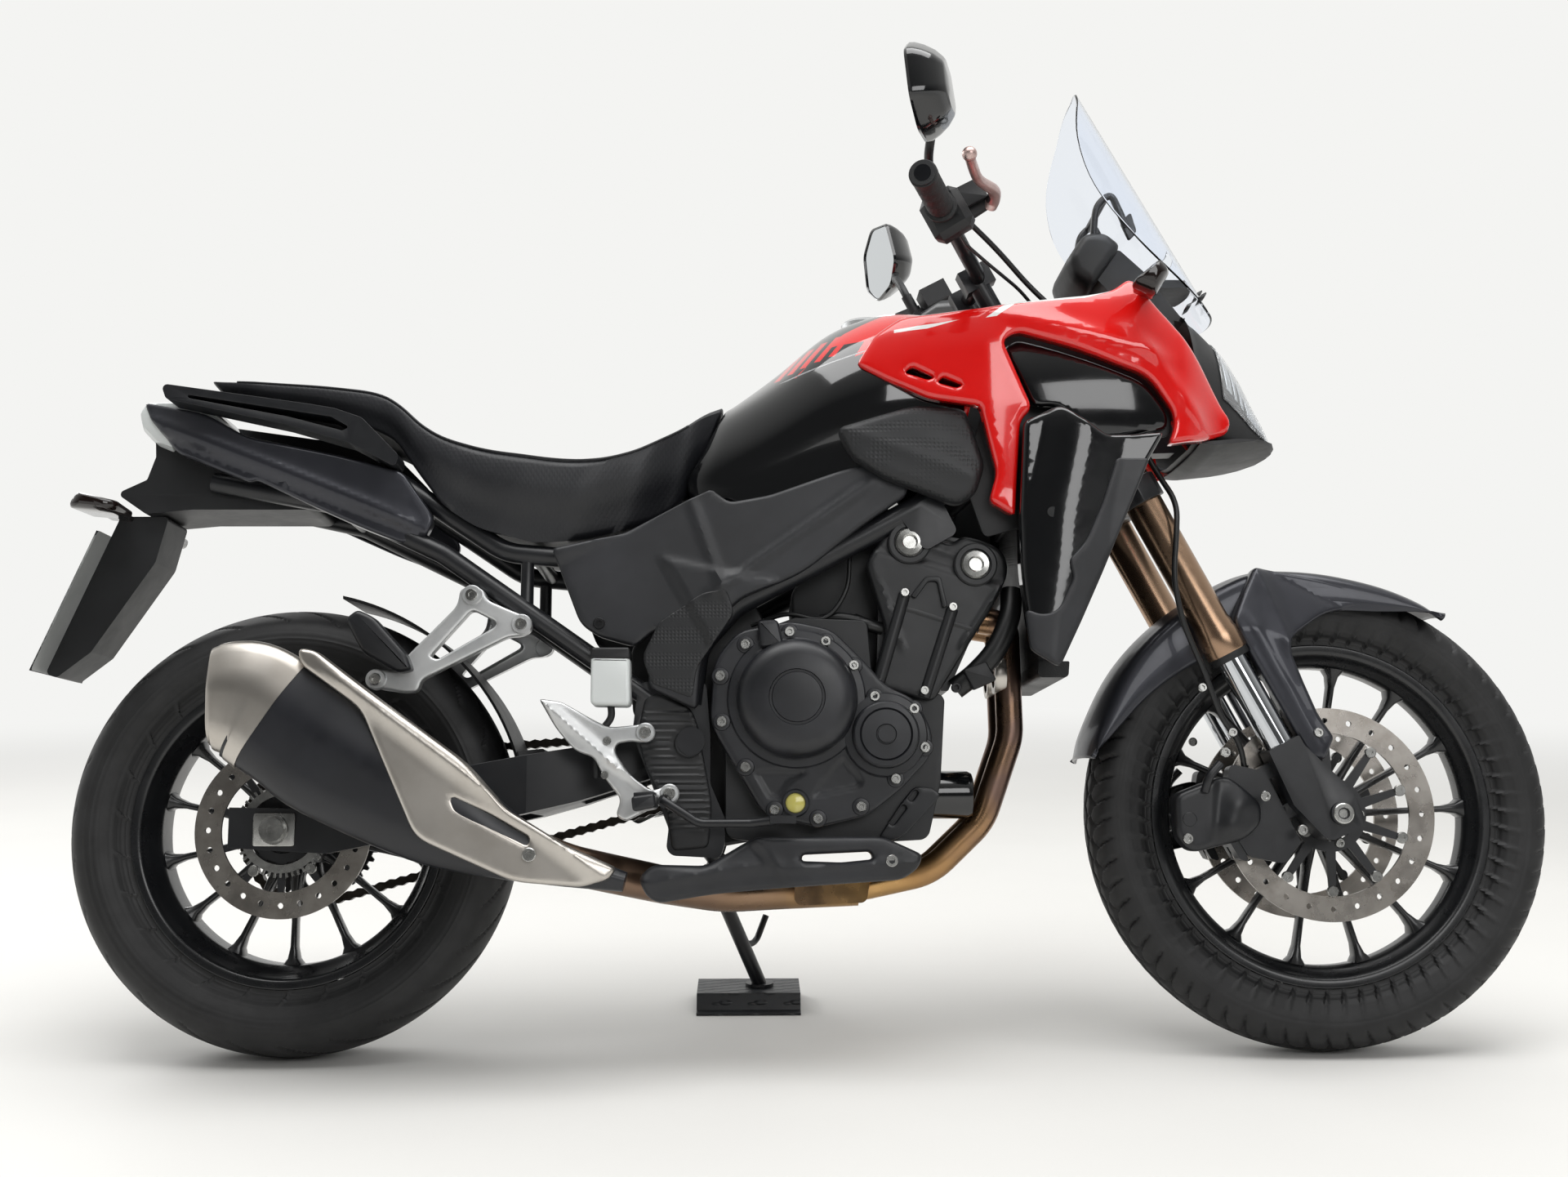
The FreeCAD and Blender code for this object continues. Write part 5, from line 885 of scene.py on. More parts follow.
def moulded(outline: Grid, height: Callable[[Grid, Grid], Grid], edge: float = 8.0, drop: float = 8.0,
            spacing: float = 7.0, skirt: float = 8.0, holes: Sequence[Grid] = ()) -> Solid:
    """A moulded panel of the machine's right side.

    Args:
        outline: Closed (x, z) outline.
        height: y of the surface, positive outwards, at x and z.
        edge: How far in from the rim its rounding reaches.
        drop: How far the rim lies below the face.
        spacing: Distance between grid points.
        skirt: Depth of the wall that goes in from the rim.
        holes: Outlines of openings, whose rims go in by the skirt too.

    Returns:
        The panel: y = height - drop (1 - sqrt(1 - (1 - d / edge)^2)) for d below edge, where d is the
        distance to the nearest rim, over a triangulated field of points.
    """
    rims = [wound(even(outline, spacing * 0.8), 1)] + [wound(even(hole, spacing * 0.5), -1) for hole in holes]
    low, high = rims[0].min(0), rims[0].max(0)
    rows = np.arange(low[1], high[1], spacing * 0.87)
    across = np.arange(low[0], high[0], spacing)
    xx, zz = np.meshgrid(across, rows)
    xx = xx + (np.arange(len(rows)) % 2)[:, None] * spacing / 2
    field_points = [np.stack([xx.ravel(), zz.ravel()], 1)]
    for rim in rims:
        for share in (0.1, 0.3, 0.6, 1.0):
            field_points.append(shrunk(rim, share * edge * (1 if rim is rims[0] else -1)))
    loose = np.vstack(field_points)
    keep = inside(loose, rims[0])
    for rim in rims[1:]:
        keep &= ~inside(loose, rim)
    loose = loose[keep]
    far = np.min([edge_distance(loose, rim) for rim in rims], axis=0)
    near_ring = np.concatenate([np.full(len(part), index > 0) for index, part in enumerate(field_points)])[keep]
    loose = loose[(far > edge + spacing * 0.4) | (near_ring & (far > edge * 0.07))]
    points = np.vstack(rims + [loose])
    loops, start = [], 0
    for rim in rims:
        loops.append(list(range(start, start + len(rim))))
        start += len(rim)
    sides = [(loop[i], loop[(i + 1) % len(loop)]) for loop in loops for i in range(len(loop))]
    out, _, faces, came_from, _, _ = geometry.delaunay_2d_cdt([Vector(p) for p in points], sides, [], 1, 1e-4)
    flat = np.array([tuple(v) for v in out])
    centres = flat[np.array(faces)].mean(1)
    wanted = inside(centres, rims[0])
    for rim in rims[1:]:
        wanted &= ~inside(centres, rim)
    faces = [face for face, good in zip(faces, wanted) if good]
    distance = np.min([edge_distance(flat, rim) for rim in rims], axis=0)
    near = np.clip(1 - distance / edge, 0, 1)
    y = height(flat[:, 0], flat[:, 1]) - drop * (1 - np.sqrt(np.maximum(0, 1 - near ** 2)))
    place = np.stack([flat[:, 0], -y, flat[:, 1]], 1)
    panel = Solid().add(place, faces)
    if skirt:
        index = {source: new for new, sources in enumerate(came_from) for source in sources}
        for loop in loops:
            ring = [index[i] for i in loop]
            inner = place[ring] + np.array([0.0, skirt, 0.0])
            base, count = panel.count, len(ring)
            walls = [(ring[(i + 1) % count], ring[i], base + i, base + (i + 1) % count) for i in range(count)]
            panel.points.append(inner)
            panel.count += count
            panel.faces += walls
    return panel


def same_width(value: float) -> Callable[[Grid, Grid], Grid]:
    """A half width that is the same all over a panel."""
    return lambda x, z: np.full(len(x), float(value))


def between(x: Grid, table: Rows) -> Grid:
    """A value that changes smoothly through a short table of (x, value): monotone smoothstep between its rows.

    Args:
        x: Where the value is wanted.
        table: The rows, by rising x.

    Returns:
        The value at each place.
    """
    xs = np.array([row[0] for row in table], float)
    values = np.array([row[1] for row in table], float)
    i = np.clip(np.searchsorted(xs, x) - 1, 0, len(xs) - 2)
    t = np.clip((x - xs[i]) / (xs[i + 1] - xs[i]), 0, 1)
    t = 0.55 * t + 0.45 * t * t * (3 - 2 * t)
    return values[i] + (values[i + 1] - values[i]) * t


def shoulder(z: Grid, start: Grid | float, reach: float, fall: float) -> Grid:
    """How far a surface has curved inwards above a height: a quarter ellipse that falls by `fall` in `reach`."""
    t = np.clip((z - start) / reach, 0, 1)
    return fall * (1 - np.sqrt(1 - t ** 2 * 0.98))


def crease(x: Grid, z: Grid, a: Sequence[float], b: Sequence[float], width: float, tall: float) -> Grid:
    """A soft ridge along the line from a to b: tall (1 - d / width)^2 within its width, fading past its ends.

    Args:
        x: Places ahead of the rear axle.
        z: Heights above the ground.
        a: (x, z) of its start.
        b: (x, z) of its end.
        width: Half its width.
        tall: Its height; a negative one makes a groove.

    Returns:
        The ridge's height at each place.
    """
    ax, az, bx, bz = *a, *b
    dx, dz = bx - ax, bz - az
    length = math.hypot(dx, dz)
    share = ((x - ax) * dx + (z - az) * dz) / length ** 2
    past = np.maximum(0, np.maximum(-share, share - 1)) * length
    off = np.abs((x - ax) * dz - (z - az) * dx) / length
    return tall * np.clip(1 - off / width, 0, 1) ** 2 * np.clip(1 - past / (2 * width), 0, 1)


def step(x: Grid, z: Grid, a: Sequence[float], b: Sequence[float], soft: float) -> Grid:
    """0 on the right of the line from a to b and 1 on its left, over a soft width.

    Args:
        x: Places ahead of the rear axle.
        z: Heights above the ground.
        a: (x, z) of the line's start.
        b: (x, z) of its end.
        soft: Width of the change.

    Returns:
        The share at each place.
    """
    ax, az, bx, bz = *a, *b
    length = math.hypot(bx - ax, bz - az)
    off = ((bx - ax) * (z - az) - (bz - az) * (x - ax)) / length
    return np.clip(off / soft + 0.5, 0, 1)


def woven(control: Grid, steps: int = 6, across: int = 6) -> Grid:
    """A net of control points [line, point, xyz] made fine by Catmull-Rom curves both ways.

    Args:
        control: The net.
        steps: Points between two lines.
        across: Points between two points.

    Returns:
        The fine net.
    """
    lines, points = control.shape[:2]
    fine = smooth_line(control.reshape(lines, -1), steps).reshape(-1, points, 3)
    turned_net = fine.transpose(1, 0, 2)
    fine = smooth_line(turned_net.reshape(points, -1), across).reshape(-1, len(fine), 3)
    return fine.transpose(1, 0, 2)


def skin(net: Grid) -> Solid:
    """The net's quads as an open sheet."""
    return Solid().add(net.reshape(-1, 3), faces_of_grid(*net.shape[:2]))


# Painted shapes

@dataclass(frozen=True)
class Painted:
    """A finish with flat convex shapes painted over it, seen from the side: each (colour, its (x, z) corners)."""

    base: Finish
    shapes: tuple[tuple[str, tuple[tuple[float, float], ...]], ...]
    name: str
    soft_mm: float = 0.5

    def mask(self, tree: bpy.types.NodeTree, place: bpy.types.NodeSocket,
             corners: Rows) -> bpy.types.NodeSocket:
        """1 inside the convex shape: the least distance to its sides, over the soft width.

        Args:
            tree: The material's node tree.
            place: The place in the model.
            corners: (x, z) of the shape's corners.

        Returns:
            The mask's socket.
        """
        lean = STANCE.lean
        origin = STANCE.origin / 1000
        least = None
        middle = np.mean(corners, axis=0)
        for (ax, az), (bx, bz) in zip(corners, list(corners[1:]) + [corners[0]]):
            normal = np.array([az - bz, bx - ax], float)
            normal /= np.linalg.norm(normal)
            if normal.dot(middle - np.array([ax, az])) < 0:
                normal = -normal
            facing = np.array([normal[0], normal[1] * math.sin(lean), normal[1] * math.cos(lean)])
            limit = facing.dot(origin) + normal.dot((ax, az)) / 1000
            reach = add_node(tree, "VectorMath", {"operation": "DOT_PRODUCT", 1: tuple(facing)}, {0: place})
            over = add_node(tree, "Math", {"operation": "SUBTRACT", 1: float(limit)}, {0: reach.outputs["Value"]})
            if least is None:
                least = over
            else:
                least = add_node(tree, "Math", {"operation": "MINIMUM"}, {0: least.outputs[0], 1: over.outputs[0]})
        edge = add_node(tree, "MapRange", {"From Min": 0.0, "From Max": self.soft_mm / 1000},
                        {"Value": least.outputs[0]})
        return edge.outputs[0]

    def make(self) -> bpy.types.Material:
        """The base finish with each shape's colour mixed over its base colour.

        Returns:
            The material.
        """
        known = bpy.data.materials.get(self.name)
        if known:
            return known
        material = self.base.make().copy()
        material.name = self.name
        tree = material.node_tree
        shader = next(n for n in tree.nodes if n.type == "BSDF_PRINCIPLED")
        place = next(n for n in tree.nodes if n.type == "TEX_COORD").outputs["Object"]
        colour = None
        for shade, corners in self.shapes:
            mixed = add_node(tree, "Mix",
                             {"data_type": "RGBA", 6: linear(self.base.colour), 7: linear(shade)},
                             {0: self.mask(tree, place, corners)})
            if colour:
                tree.links.new(colour, mixed.inputs[6])
            colour = mixed.outputs[2]
        tree.links.new(colour, shader.inputs["Base Color"])
        return material


RED = "#d50f0c"
WHITE = "#e9e9e7"
BLACK = "#07080a"
GREY = "#8b8c8e"


def hatch(at: Rows, width: float, slope: float, tall: float) -> tuple:
    """Slanted bars: a parallelogram standing on each (x, z), leaning forward by the slope over its height."""
    return tuple((RED, ((x, z), (x + width, z), (x + width + slope * tall, z + tall), (x + slope * tall, z + tall)))
                 for x, z in at)


TANK_GRAPHICS = Painted(TANK_BLACK, (
    (RED, ((748, 950), (700, 940), (772, 1010), (900, 1080), (900, 1010))),
    (BLACK, ((690, 925), (762, 925), (800, 990), (742, 985))),
    *hatch(((672, 944), (690, 950), (708, 956), (728, 962), (748, 968)), 9.0, 0.75, 44.0),
    (GREY, ((676, 936), (692, 938), (800, 972), (802, 975))),
), "enamel_tank_with_red_flash")
FAIRING_GRAPHICS = Painted(RACE_RED, (
    (WHITE, ((838, 991), (934, 998), (985, 1013), (982, 1019), (930, 1006), (838, 996))),
    (WHITE, ((962, 1006), (978, 1008), (1014, 1034), (1000, 1034))),
    (WHITE, ((1000, 1027), (1100, 1034), (1140, 1046), (1100, 1046), (1000, 1034))),
), "enamel_fairing_with_white_chevron")


# Bodywork

@dataclass
class Bodywork:
    """Tank, fairings, shrouds, knee pads and side covers, the same on both sides."""

    fairing_view: tuple = (
        (786, 950, 8), (829, 924, 10), (882, 897, 10), (953, 883, 6), (966, 827, 10), (975, 791, 10), (964, 752, 8),
        (999, 730, 8), (1007, 862, 12), (1024, 877, 12), (985, 975, 10), (1006, 987, 10), (1078, 965, 20),
        (1189, 925, 20), (1224, 878, 12), (1224, 857, 8), (1215, 834, 6), (1270, 845, 12), (1312, 861, 7),
        (1318, 878, 8), (1280, 943, 60), (1236, 998, 60), (1196, 1034, 20), (1167, 1070, 12), (1141, 1048, 12),
        (1100, 1039, 12), (999, 1030, 16), (964, 1024, 12), (848, 1015, 10), (812, 992, 10))
    slots: tuple = (
        ((852, 934, 3), (884, 922, 3), (892, 926, 3), (862, 942, 3)),
        ((896, 918, 3), (922, 909, 3), (930, 913, 3), (904, 926, 3)))
    inner_view: tuple = (
        (990, 972, 8), (1010, 983, 8), (1076, 961, 20), (1184, 921, 20), (1217, 878, 12), (1217, 858, 8),
        (1150, 841, 10), (1118, 837, 10), (1061, 883, 12), (1028, 884, 10))
    shroud_view: tuple = (
        (1010, 858, 8), (1060, 881, 12), (1122, 838, 10), (1203, 844, 8), (1168, 785, 10), (1128, 708, 14),
        (1088, 604, 12), (1048, 529, 12), (1013, 551, 10), (1002, 653, 20), (1002, 728, 4))
    pad_view: tuple = (
        (757, 858, 12), (865, 890, 16), (936, 886, 14), (962, 806, 10), (949, 766, 10), (924, 749, 14),
        (864, 772, 20), (822, 787, 12), (779, 816, 10))
    cover_view: tuple = (
        (367, 692, 6), (465, 713, 10), (551, 759, 10), (585, 775, 4), (610, 757, 8), (665, 767, 10), (758, 800, 8),
        (800, 812, 6), (858, 778, 6), (853, 766, 5), (788, 721, 30), (709, 657, 30), (620, 621, 20), (594, 582, 16),
        (571, 532, 16), (567, 470, 10), (499, 502, 12), (511, 582, 10), (481, 557, 10), (434, 570, 10),
        (407, 588, 12))

    def fairing_height(self, x: Grid, z: Grid) -> Grid:
        """Half width of the red fairing: full at the radiator, drawn in at the tank and at the nose.

        Args:
            x: Places ahead of the rear axle.
            z: Heights above the ground.

        Returns:
            The half width at each place.
        """
        wide = between(x, ((786, 160), (880, 184), (966, 199), (1090, 206), (1170, 199), (1240, 172), (1306, 122)))
        top = between(x, ((786, 940), (848, 952), (960, 962), (1100, 975), (1190, 990), (1260, 940), (1306, 880)))
        ridge = crease(x, z, (1010, 1006), (1190, 960), 26, 5) + crease(x, z, (1190, 960), (1262, 872), 24, 5)
        return wide - shoulder(z, top, 100, 46) - 12 * np.clip((885 - z) / 120, 0, 1) + ridge

    def shroud_height(self, x: Grid, z: Grid) -> Grid:
        """Half width of the black shroud: a fold runs down it and its leading part turns in.

        Args:
            x: Places ahead of the rear axle.
            z: Heights above the ground.

        Returns:
            The half width at each place.
        """
        fold = between(z, ((529, 1040), (700, 1064), (880, 1100)))
        return 220 - 14 * np.clip((x - fold) / 60, 0, 1) - 10 * np.clip((fold - x) / 60, 0, 1) ** 1.5 \
            - shoulder(z, 840, 60, 8)

    def pad_height(self, x: Grid, z: Grid) -> Grid:
        """Half width of the knee pad: crowned, with a crease where its two facets meet."""
        crown = 10 * np.clip(1 - ((x - 868) / 120) ** 2, 0, 1) * np.clip(1 - ((z - 828) / 80) ** 2, 0, 1)
        return 168 + crown + crease(x, z, (760, 858), (940, 790), 22, 3)

    def cover_height(self, x: Grid, z: Grid) -> Grid:
        """Half width of the side cover: raised fields divided by folds.

        Args:
            x: Places ahead of the rear axle.
            z: Heights above the ground.

        Returns:
            The half width at each place.
        """
        plain = 150 + 6 * step(x, z, (430, 700), (700, 830), 10)
        raised = 5 * step(x, z, (505, 700), (585, 560), 6) * step(x, z, (700, 640), (470, 690), 8)
        folds = crease(x, z, (560, 750), (600, 640), 12, 4) + crease(x, z, (600, 640), (800, 780), 16, 5)
        return plain + raised + folds - shoulder(z, 770, 60, 6)

    def inner_height(self, x: Grid, z: Grid) -> Grid:
        """Half width of the panel behind the fairing's opening: a shallow dome about (1080, 905)."""
        return 188 - 0.0011 * (x - 1080) ** 2 - 0.0022 * (z - 905) ** 2

    def tank(self) -> None:
        """The tank: sections of six points a side, from the seat's slanted nose to the steering head."""
        rows = []
        for x_low, x_top, z_low, z_top, low, wide, high in (
                (553, 603, 776, 914, 70, 88, 52), (580, 622, 758, 926, 90, 104, 56), (650, 676, 752, 966, 108, 128, 62),
                (740, 752, 772, 1026, 126, 150, 76), (820, 826, 790, 1052, 132, 160, 88),
                (890, 890, 802, 1052, 130, 156, 90), (938, 938, 836, 1046, 112, 146, 78)):
            tall = z_top - z_low
            half = [(x_low, -low * 0.3, z_low), (x_low, -low, z_low), (x_low, -wide * 0.93, z_low + tall * 0.22),
                    (x_low + (x_top - x_low) * 0.5, -wide, z_low + tall * 0.5),
                    (x_low + (x_top - x_low) * 0.8, -wide * 0.86, z_low + tall * 0.78),
                    (x_top, -high, z_top - tall * 0.05), (x_top, -high * 0.4, z_top)]
            rows.append(round_over(half))
        tank = stack(list(woven(np.array(rows, float), 8, 5)))
        piece = show("tank_shell", tank, TANK_GRAPHICS, sharp=60)
        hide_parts("fuel_tank")
        ring = turned([(20, 0), (34, 0), (38, 4), (38, 12), (34, 16), (28, 17), (26, 14), (0.1, 14)], 48)
        cap = ring.moved(lambda p: np.stack([p[:, 0] + 812, p[:, 2], p[:, 1] + 1040], 1))
        show("tank_filler", cap, CAST_ALUMINIUM)

    def panels(self) -> None:
        """The moulded side panels."""
        for name, view, height, finish, slot, node, edge, drop, skirt, holes in (
                ("fairing", self.fairing_view, self.fairing_height, FAIRING_GRAPHICS, "red_paint", "side_fairings",
                 7, 7, 16, self.slots),
                ("shroud", self.shroud_view, self.shroud_height, GLOSS_ABS, "gloss_black", "radiator_shrouds",
                 7, 7, 30, ()),
                ("shroud_inner", self.inner_view, self.inner_height, GLOSS_ABS, "gloss_black", "radiator_shrouds",
                 6, 6, 14, ()),
                ("knee_pad", self.pad_view, self.pad_height, DIMPLED_RUBBER, "rubber_pad", "knee_pads",
                 10, 12, 14, ()),
                ("side_cover", self.cover_view, self.cover_height, CHARCOAL_ABS, "charcoal_plastic", "side_covers",
                 6, 6, 10, ())):
            panel = moulded(rounded(view), height, edge, drop, skirt=skirt,
                            holes=[rounded(hole, 3) for hole in holes])
            piece = show(name, both(panel), finish, thick=2.5)
            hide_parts(node)

    def build(self) -> None:
        """Makes the tank and the panels."""
        self.tank()
        self.panels()


# Seat

@dataclass
class Saddle:
    """The one-piece stepped seat: foam under vinyl, with a seam round its top and a raised pillion."""

    top_line: tuple = (
        (-122, 945), (-60, 941), (40, 934), (118, 925), (150, 905), (178, 878), (215, 856), (272, 840), (365, 828),
        (430, 827), (490, 848), (540, 880), (577, 908), (597, 917))
    low_line: tuple = (
        (-106, 926), (-58, 912), (30, 896), (108, 872), (140, 856), (170, 812), (212, 757), (262, 724), (342, 703),
        (395, 707), (450, 722), (500, 739), (532, 762), (551, 786))
    widths: tuple = (
        (-122, 84), (-60, 96), (120, 108), (175, 118), (250, 138), (330, 146), (420, 140), (500, 116), (560, 84),
        (600, 62))
    lines: int = 92
    crown_share: float = 0.10
    crown_width: float = 0.985
    welt: float = 2.4

    def section(self, top: Grid, low: Grid) -> Grid:
        """One cross-section from the bottom right over the crown to the bottom left.

        The crown falls by its share of the height times (1 - cos)^1.5 towards the welt, which stands proud as a
        bell curve, and the side draws in below it.

        Args:
            top: (x, z) of the seat's top line.
            low: (x, z) of its lower line.

        Returns:
            The section's loop.
        """
        wide = float(between(np.array([top[0]]), self.widths)[0])
        down = low - top
        tall = float(np.linalg.norm(down))
        skirt = np.linspace(0, 1, 12)[::-1]
        side_y = wide * (1.0 - 0.10 * skirt ** 1.6 + 0.05 * np.sin(math.pi * np.minimum(1, skirt * 1.4)))
        welt = np.exp(-((skirt - 0.05) / 0.05) ** 2) * self.welt
        drop = self.crown_share + (1.0 - self.crown_share) * skirt
        right = np.stack([top[0] + down[0] * drop, -(side_y + welt), top[1] + down[1] * drop], 1)
        t = np.linspace(-1, 1, 25)[1:-1]
        crown_y = wide * np.sin(t * math.pi / 2) * self.crown_width
        sag = self.crown_share * (1 - np.cos(t * math.pi / 2)) ** 1.5
        dip = 0.012 * tall * np.cos(t * math.pi)
        crown = np.stack([top[0] + down[0] * sag, crown_y, top[1] + down[1] * sag + dip], 1)
        left = right[::-1] * np.array([1.0, -1.0, 1.0])
        floor_y = np.linspace(1, -1, 9)[1:-1] * side_y[0]
        under = np.stack([np.full(7, low[0]), floor_y, np.full(7, low[1] + 2.0)], 1)
        return np.vstack([right, crown, left, under])

    def build(self) -> None:
        """Skins the sections and closes both ends with rounded caps."""
        top, low = resample(self.top_line, self.lines, 30), resample(self.low_line, self.lines, 20)
        loops = [self.section(a, b) for a, b in zip(top, low)]
        for end, inner in ((0, 1), (-1, -2)):
            middle = loops[end].mean(0)
            away = middle - loops[inner].mean(0)
            away /= np.linalg.norm(away)
            caps = [middle + (loops[end] - middle) * share + away * push
                    for share, push in ((0.985, 2.0), (0.95, 4.0), (0.86, 6.0), (0.6, 7.0), (0.2, 7.5))]
            loops = caps[::-1] + loops if end == 0 else loops + caps
        seat = stack(loops)
        piece = show("seat_cover", seat, SEAT_VINYL, sharp=75)
        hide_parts("seat")
        self.seams(top, low)

    def seams(self, top: Grid, low: Grid) -> None:
        """A sewn welt along each edge of the seat's top.

        Args:
            top: The seat's top line.
            low: The seat's lower line.
        """
        wide = between(top[:, 0], self.widths)
        at = top + (low - top) * 0.085
        welts = Solid()
        for side in (-1, 1):
            welts.add_solid(tube(np.stack([at[:, 0], side * (wide + 1.0), at[:, 1]], 1)[4:-6], 1.7, 8))
        show("seat_welts", welts, SEAT_VINYL_PLAIN)


# Tail

@dataclass
class Tail:
    """Tail cowls, tail lamp, blank plate and the indicators at both ends."""

    cowl_view: tuple = (
        (-218, 912, 8), (-206, 886, 8), (-165, 836, 12), (-57, 791, 12), (-50, 796, 8), (30, 758, 20),
        (106, 724, 14), (158, 704, 8), (190, 714, 6), (202, 738, 12), (190, 756, 10), (156, 804, 10), (60, 829, 20),
        (-59, 853, 20), (-124, 890, 20))
    plate_top: tuple = (-268.0, 726.1)
    plate_down: tuple = (-82.0, -196.0)

    def cowl_height(self, x: Grid, z: Grid) -> Grid:
        """Half width of the tail cowl: a long fold divides its bright upper from its dark lower field.

        Args:
            x: Places ahead of the rear axle.
            z: Heights above the ground.

        Returns:
            The half width at each place.
        """
        fold = crease(x, z, (-200, 884), (150, 742), 18, 5)
        wide = between(x, ((-220, 92), (-120, 116), (0, 128), (120, 130), (200, 124)))
        return wide + fold - 8 * step(x, z, (160, 726), (-200, 868), 6)

    def build(self) -> None:
        """Makes the pieces behind the seat."""
        cowl = moulded(rounded(self.cowl_view), self.cowl_height, 5, 5, skirt=14)
        piece = show("tail_cowl", both(cowl), GRAPHITE, thick=2.5)
        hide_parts("tail_cowls")
        self.lamp()
        self.plate()
        self.indicators()

    def lamp(self) -> None:
        """The clear wedge lamp that closes the tail, with a row of small emitters behind its lens."""
        view = rounded([(-204, 852, 5), (-180, 842, 5), (-178, 866, 4), (-150, 886, 4), (-122, 897, 4), (-132, 914, 6),
                        (-222, 914, 6), (-233, 897, 5), (-228, 877, 5)])
        rows = []
        for y, share in ((-92, 0.72), (-84, 0.9), (-60, 0.98), (0, 1.0), (60, 0.98), (84, 0.9), (92, 0.72)):
            middle = np.array([-168.0, 898.0])
            flat = middle + (view - middle) * share
            rows.append(np.stack([flat[:, 0] + 26 * (1 - share), np.full(len(flat), float(y)), flat[:, 1]], 1)[::-1])
        lamp = stack(rows)
        piece = show("tail_lamp", lamp, MILKY_PLASTIC, sharp=30)
        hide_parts("tail_light")
        base = stack([row * np.array([0.9, 0.94, 0.9]) + np.array([-12.0, 0, 92.0]) for row in rows])
        show("tail_lamp_base", base, GLOSS_ABS, sharp=30)

    def plate(self) -> None:
        """A thin blank plate with a raised rim, on the holder's rear edge."""
        top, down = np.array(self.plate_top), np.array(self.plate_down)
        down = down / np.linalg.norm(down)
        out = np.array([down[1], -down[0]])
        flat = rounded([(0, -95, 8), (212, -95, 8), (212, 95, 8), (0, 95, 8)])
        loops = []
        for inward, level in ((0, 2.3), (0, 4.3), (3, 4.6), (5, 4.0), (6, 3.9)):
            loop = shrunk(flat, inward)
            at = top + loop[:, :1] * down + level * out
            loops.append(np.stack([at[:, 0], loop[:, 1], at[:, 1]], 1))
        show("number_plate_blank", stack(loops[::-1]), PLATE_BLANK)

    def indicators(self) -> None:
        """Rear and front indicators: rounded stalks with smoked lenses."""
        view = rounded([(-292, 748, 8), (-226, 742, 8), (-222, 757, 8), (-282, 771, 8)])
        blade = stack(scaled_loops(view, (
            (-168, 0.5, 0), (-162, 0.86, 0), (-150, 1.0, 0), (-84, 0.86, 0), (-78, 0.5, 0), (-40, 0.5, 0))))
        front = rounded([(1158, 1036, 8), (1192, 1022, 8), (1214, 1056, 8), (1202, 1072, 8)])
        blade.add_solid(stack(scaled_loops(front, (
            (-268, 0.5, -12), (-262, 0.84, -10), (-244, 1.0, -6), (-212, 0.86, -2), (-204, 0.56, 0), (-186, 0.5, 0)))))
        piece = show("indicators_moulded", both(blade), SMOKED_LENS, sharp=50)
        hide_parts("indicators")


# Nose, lamp and screen

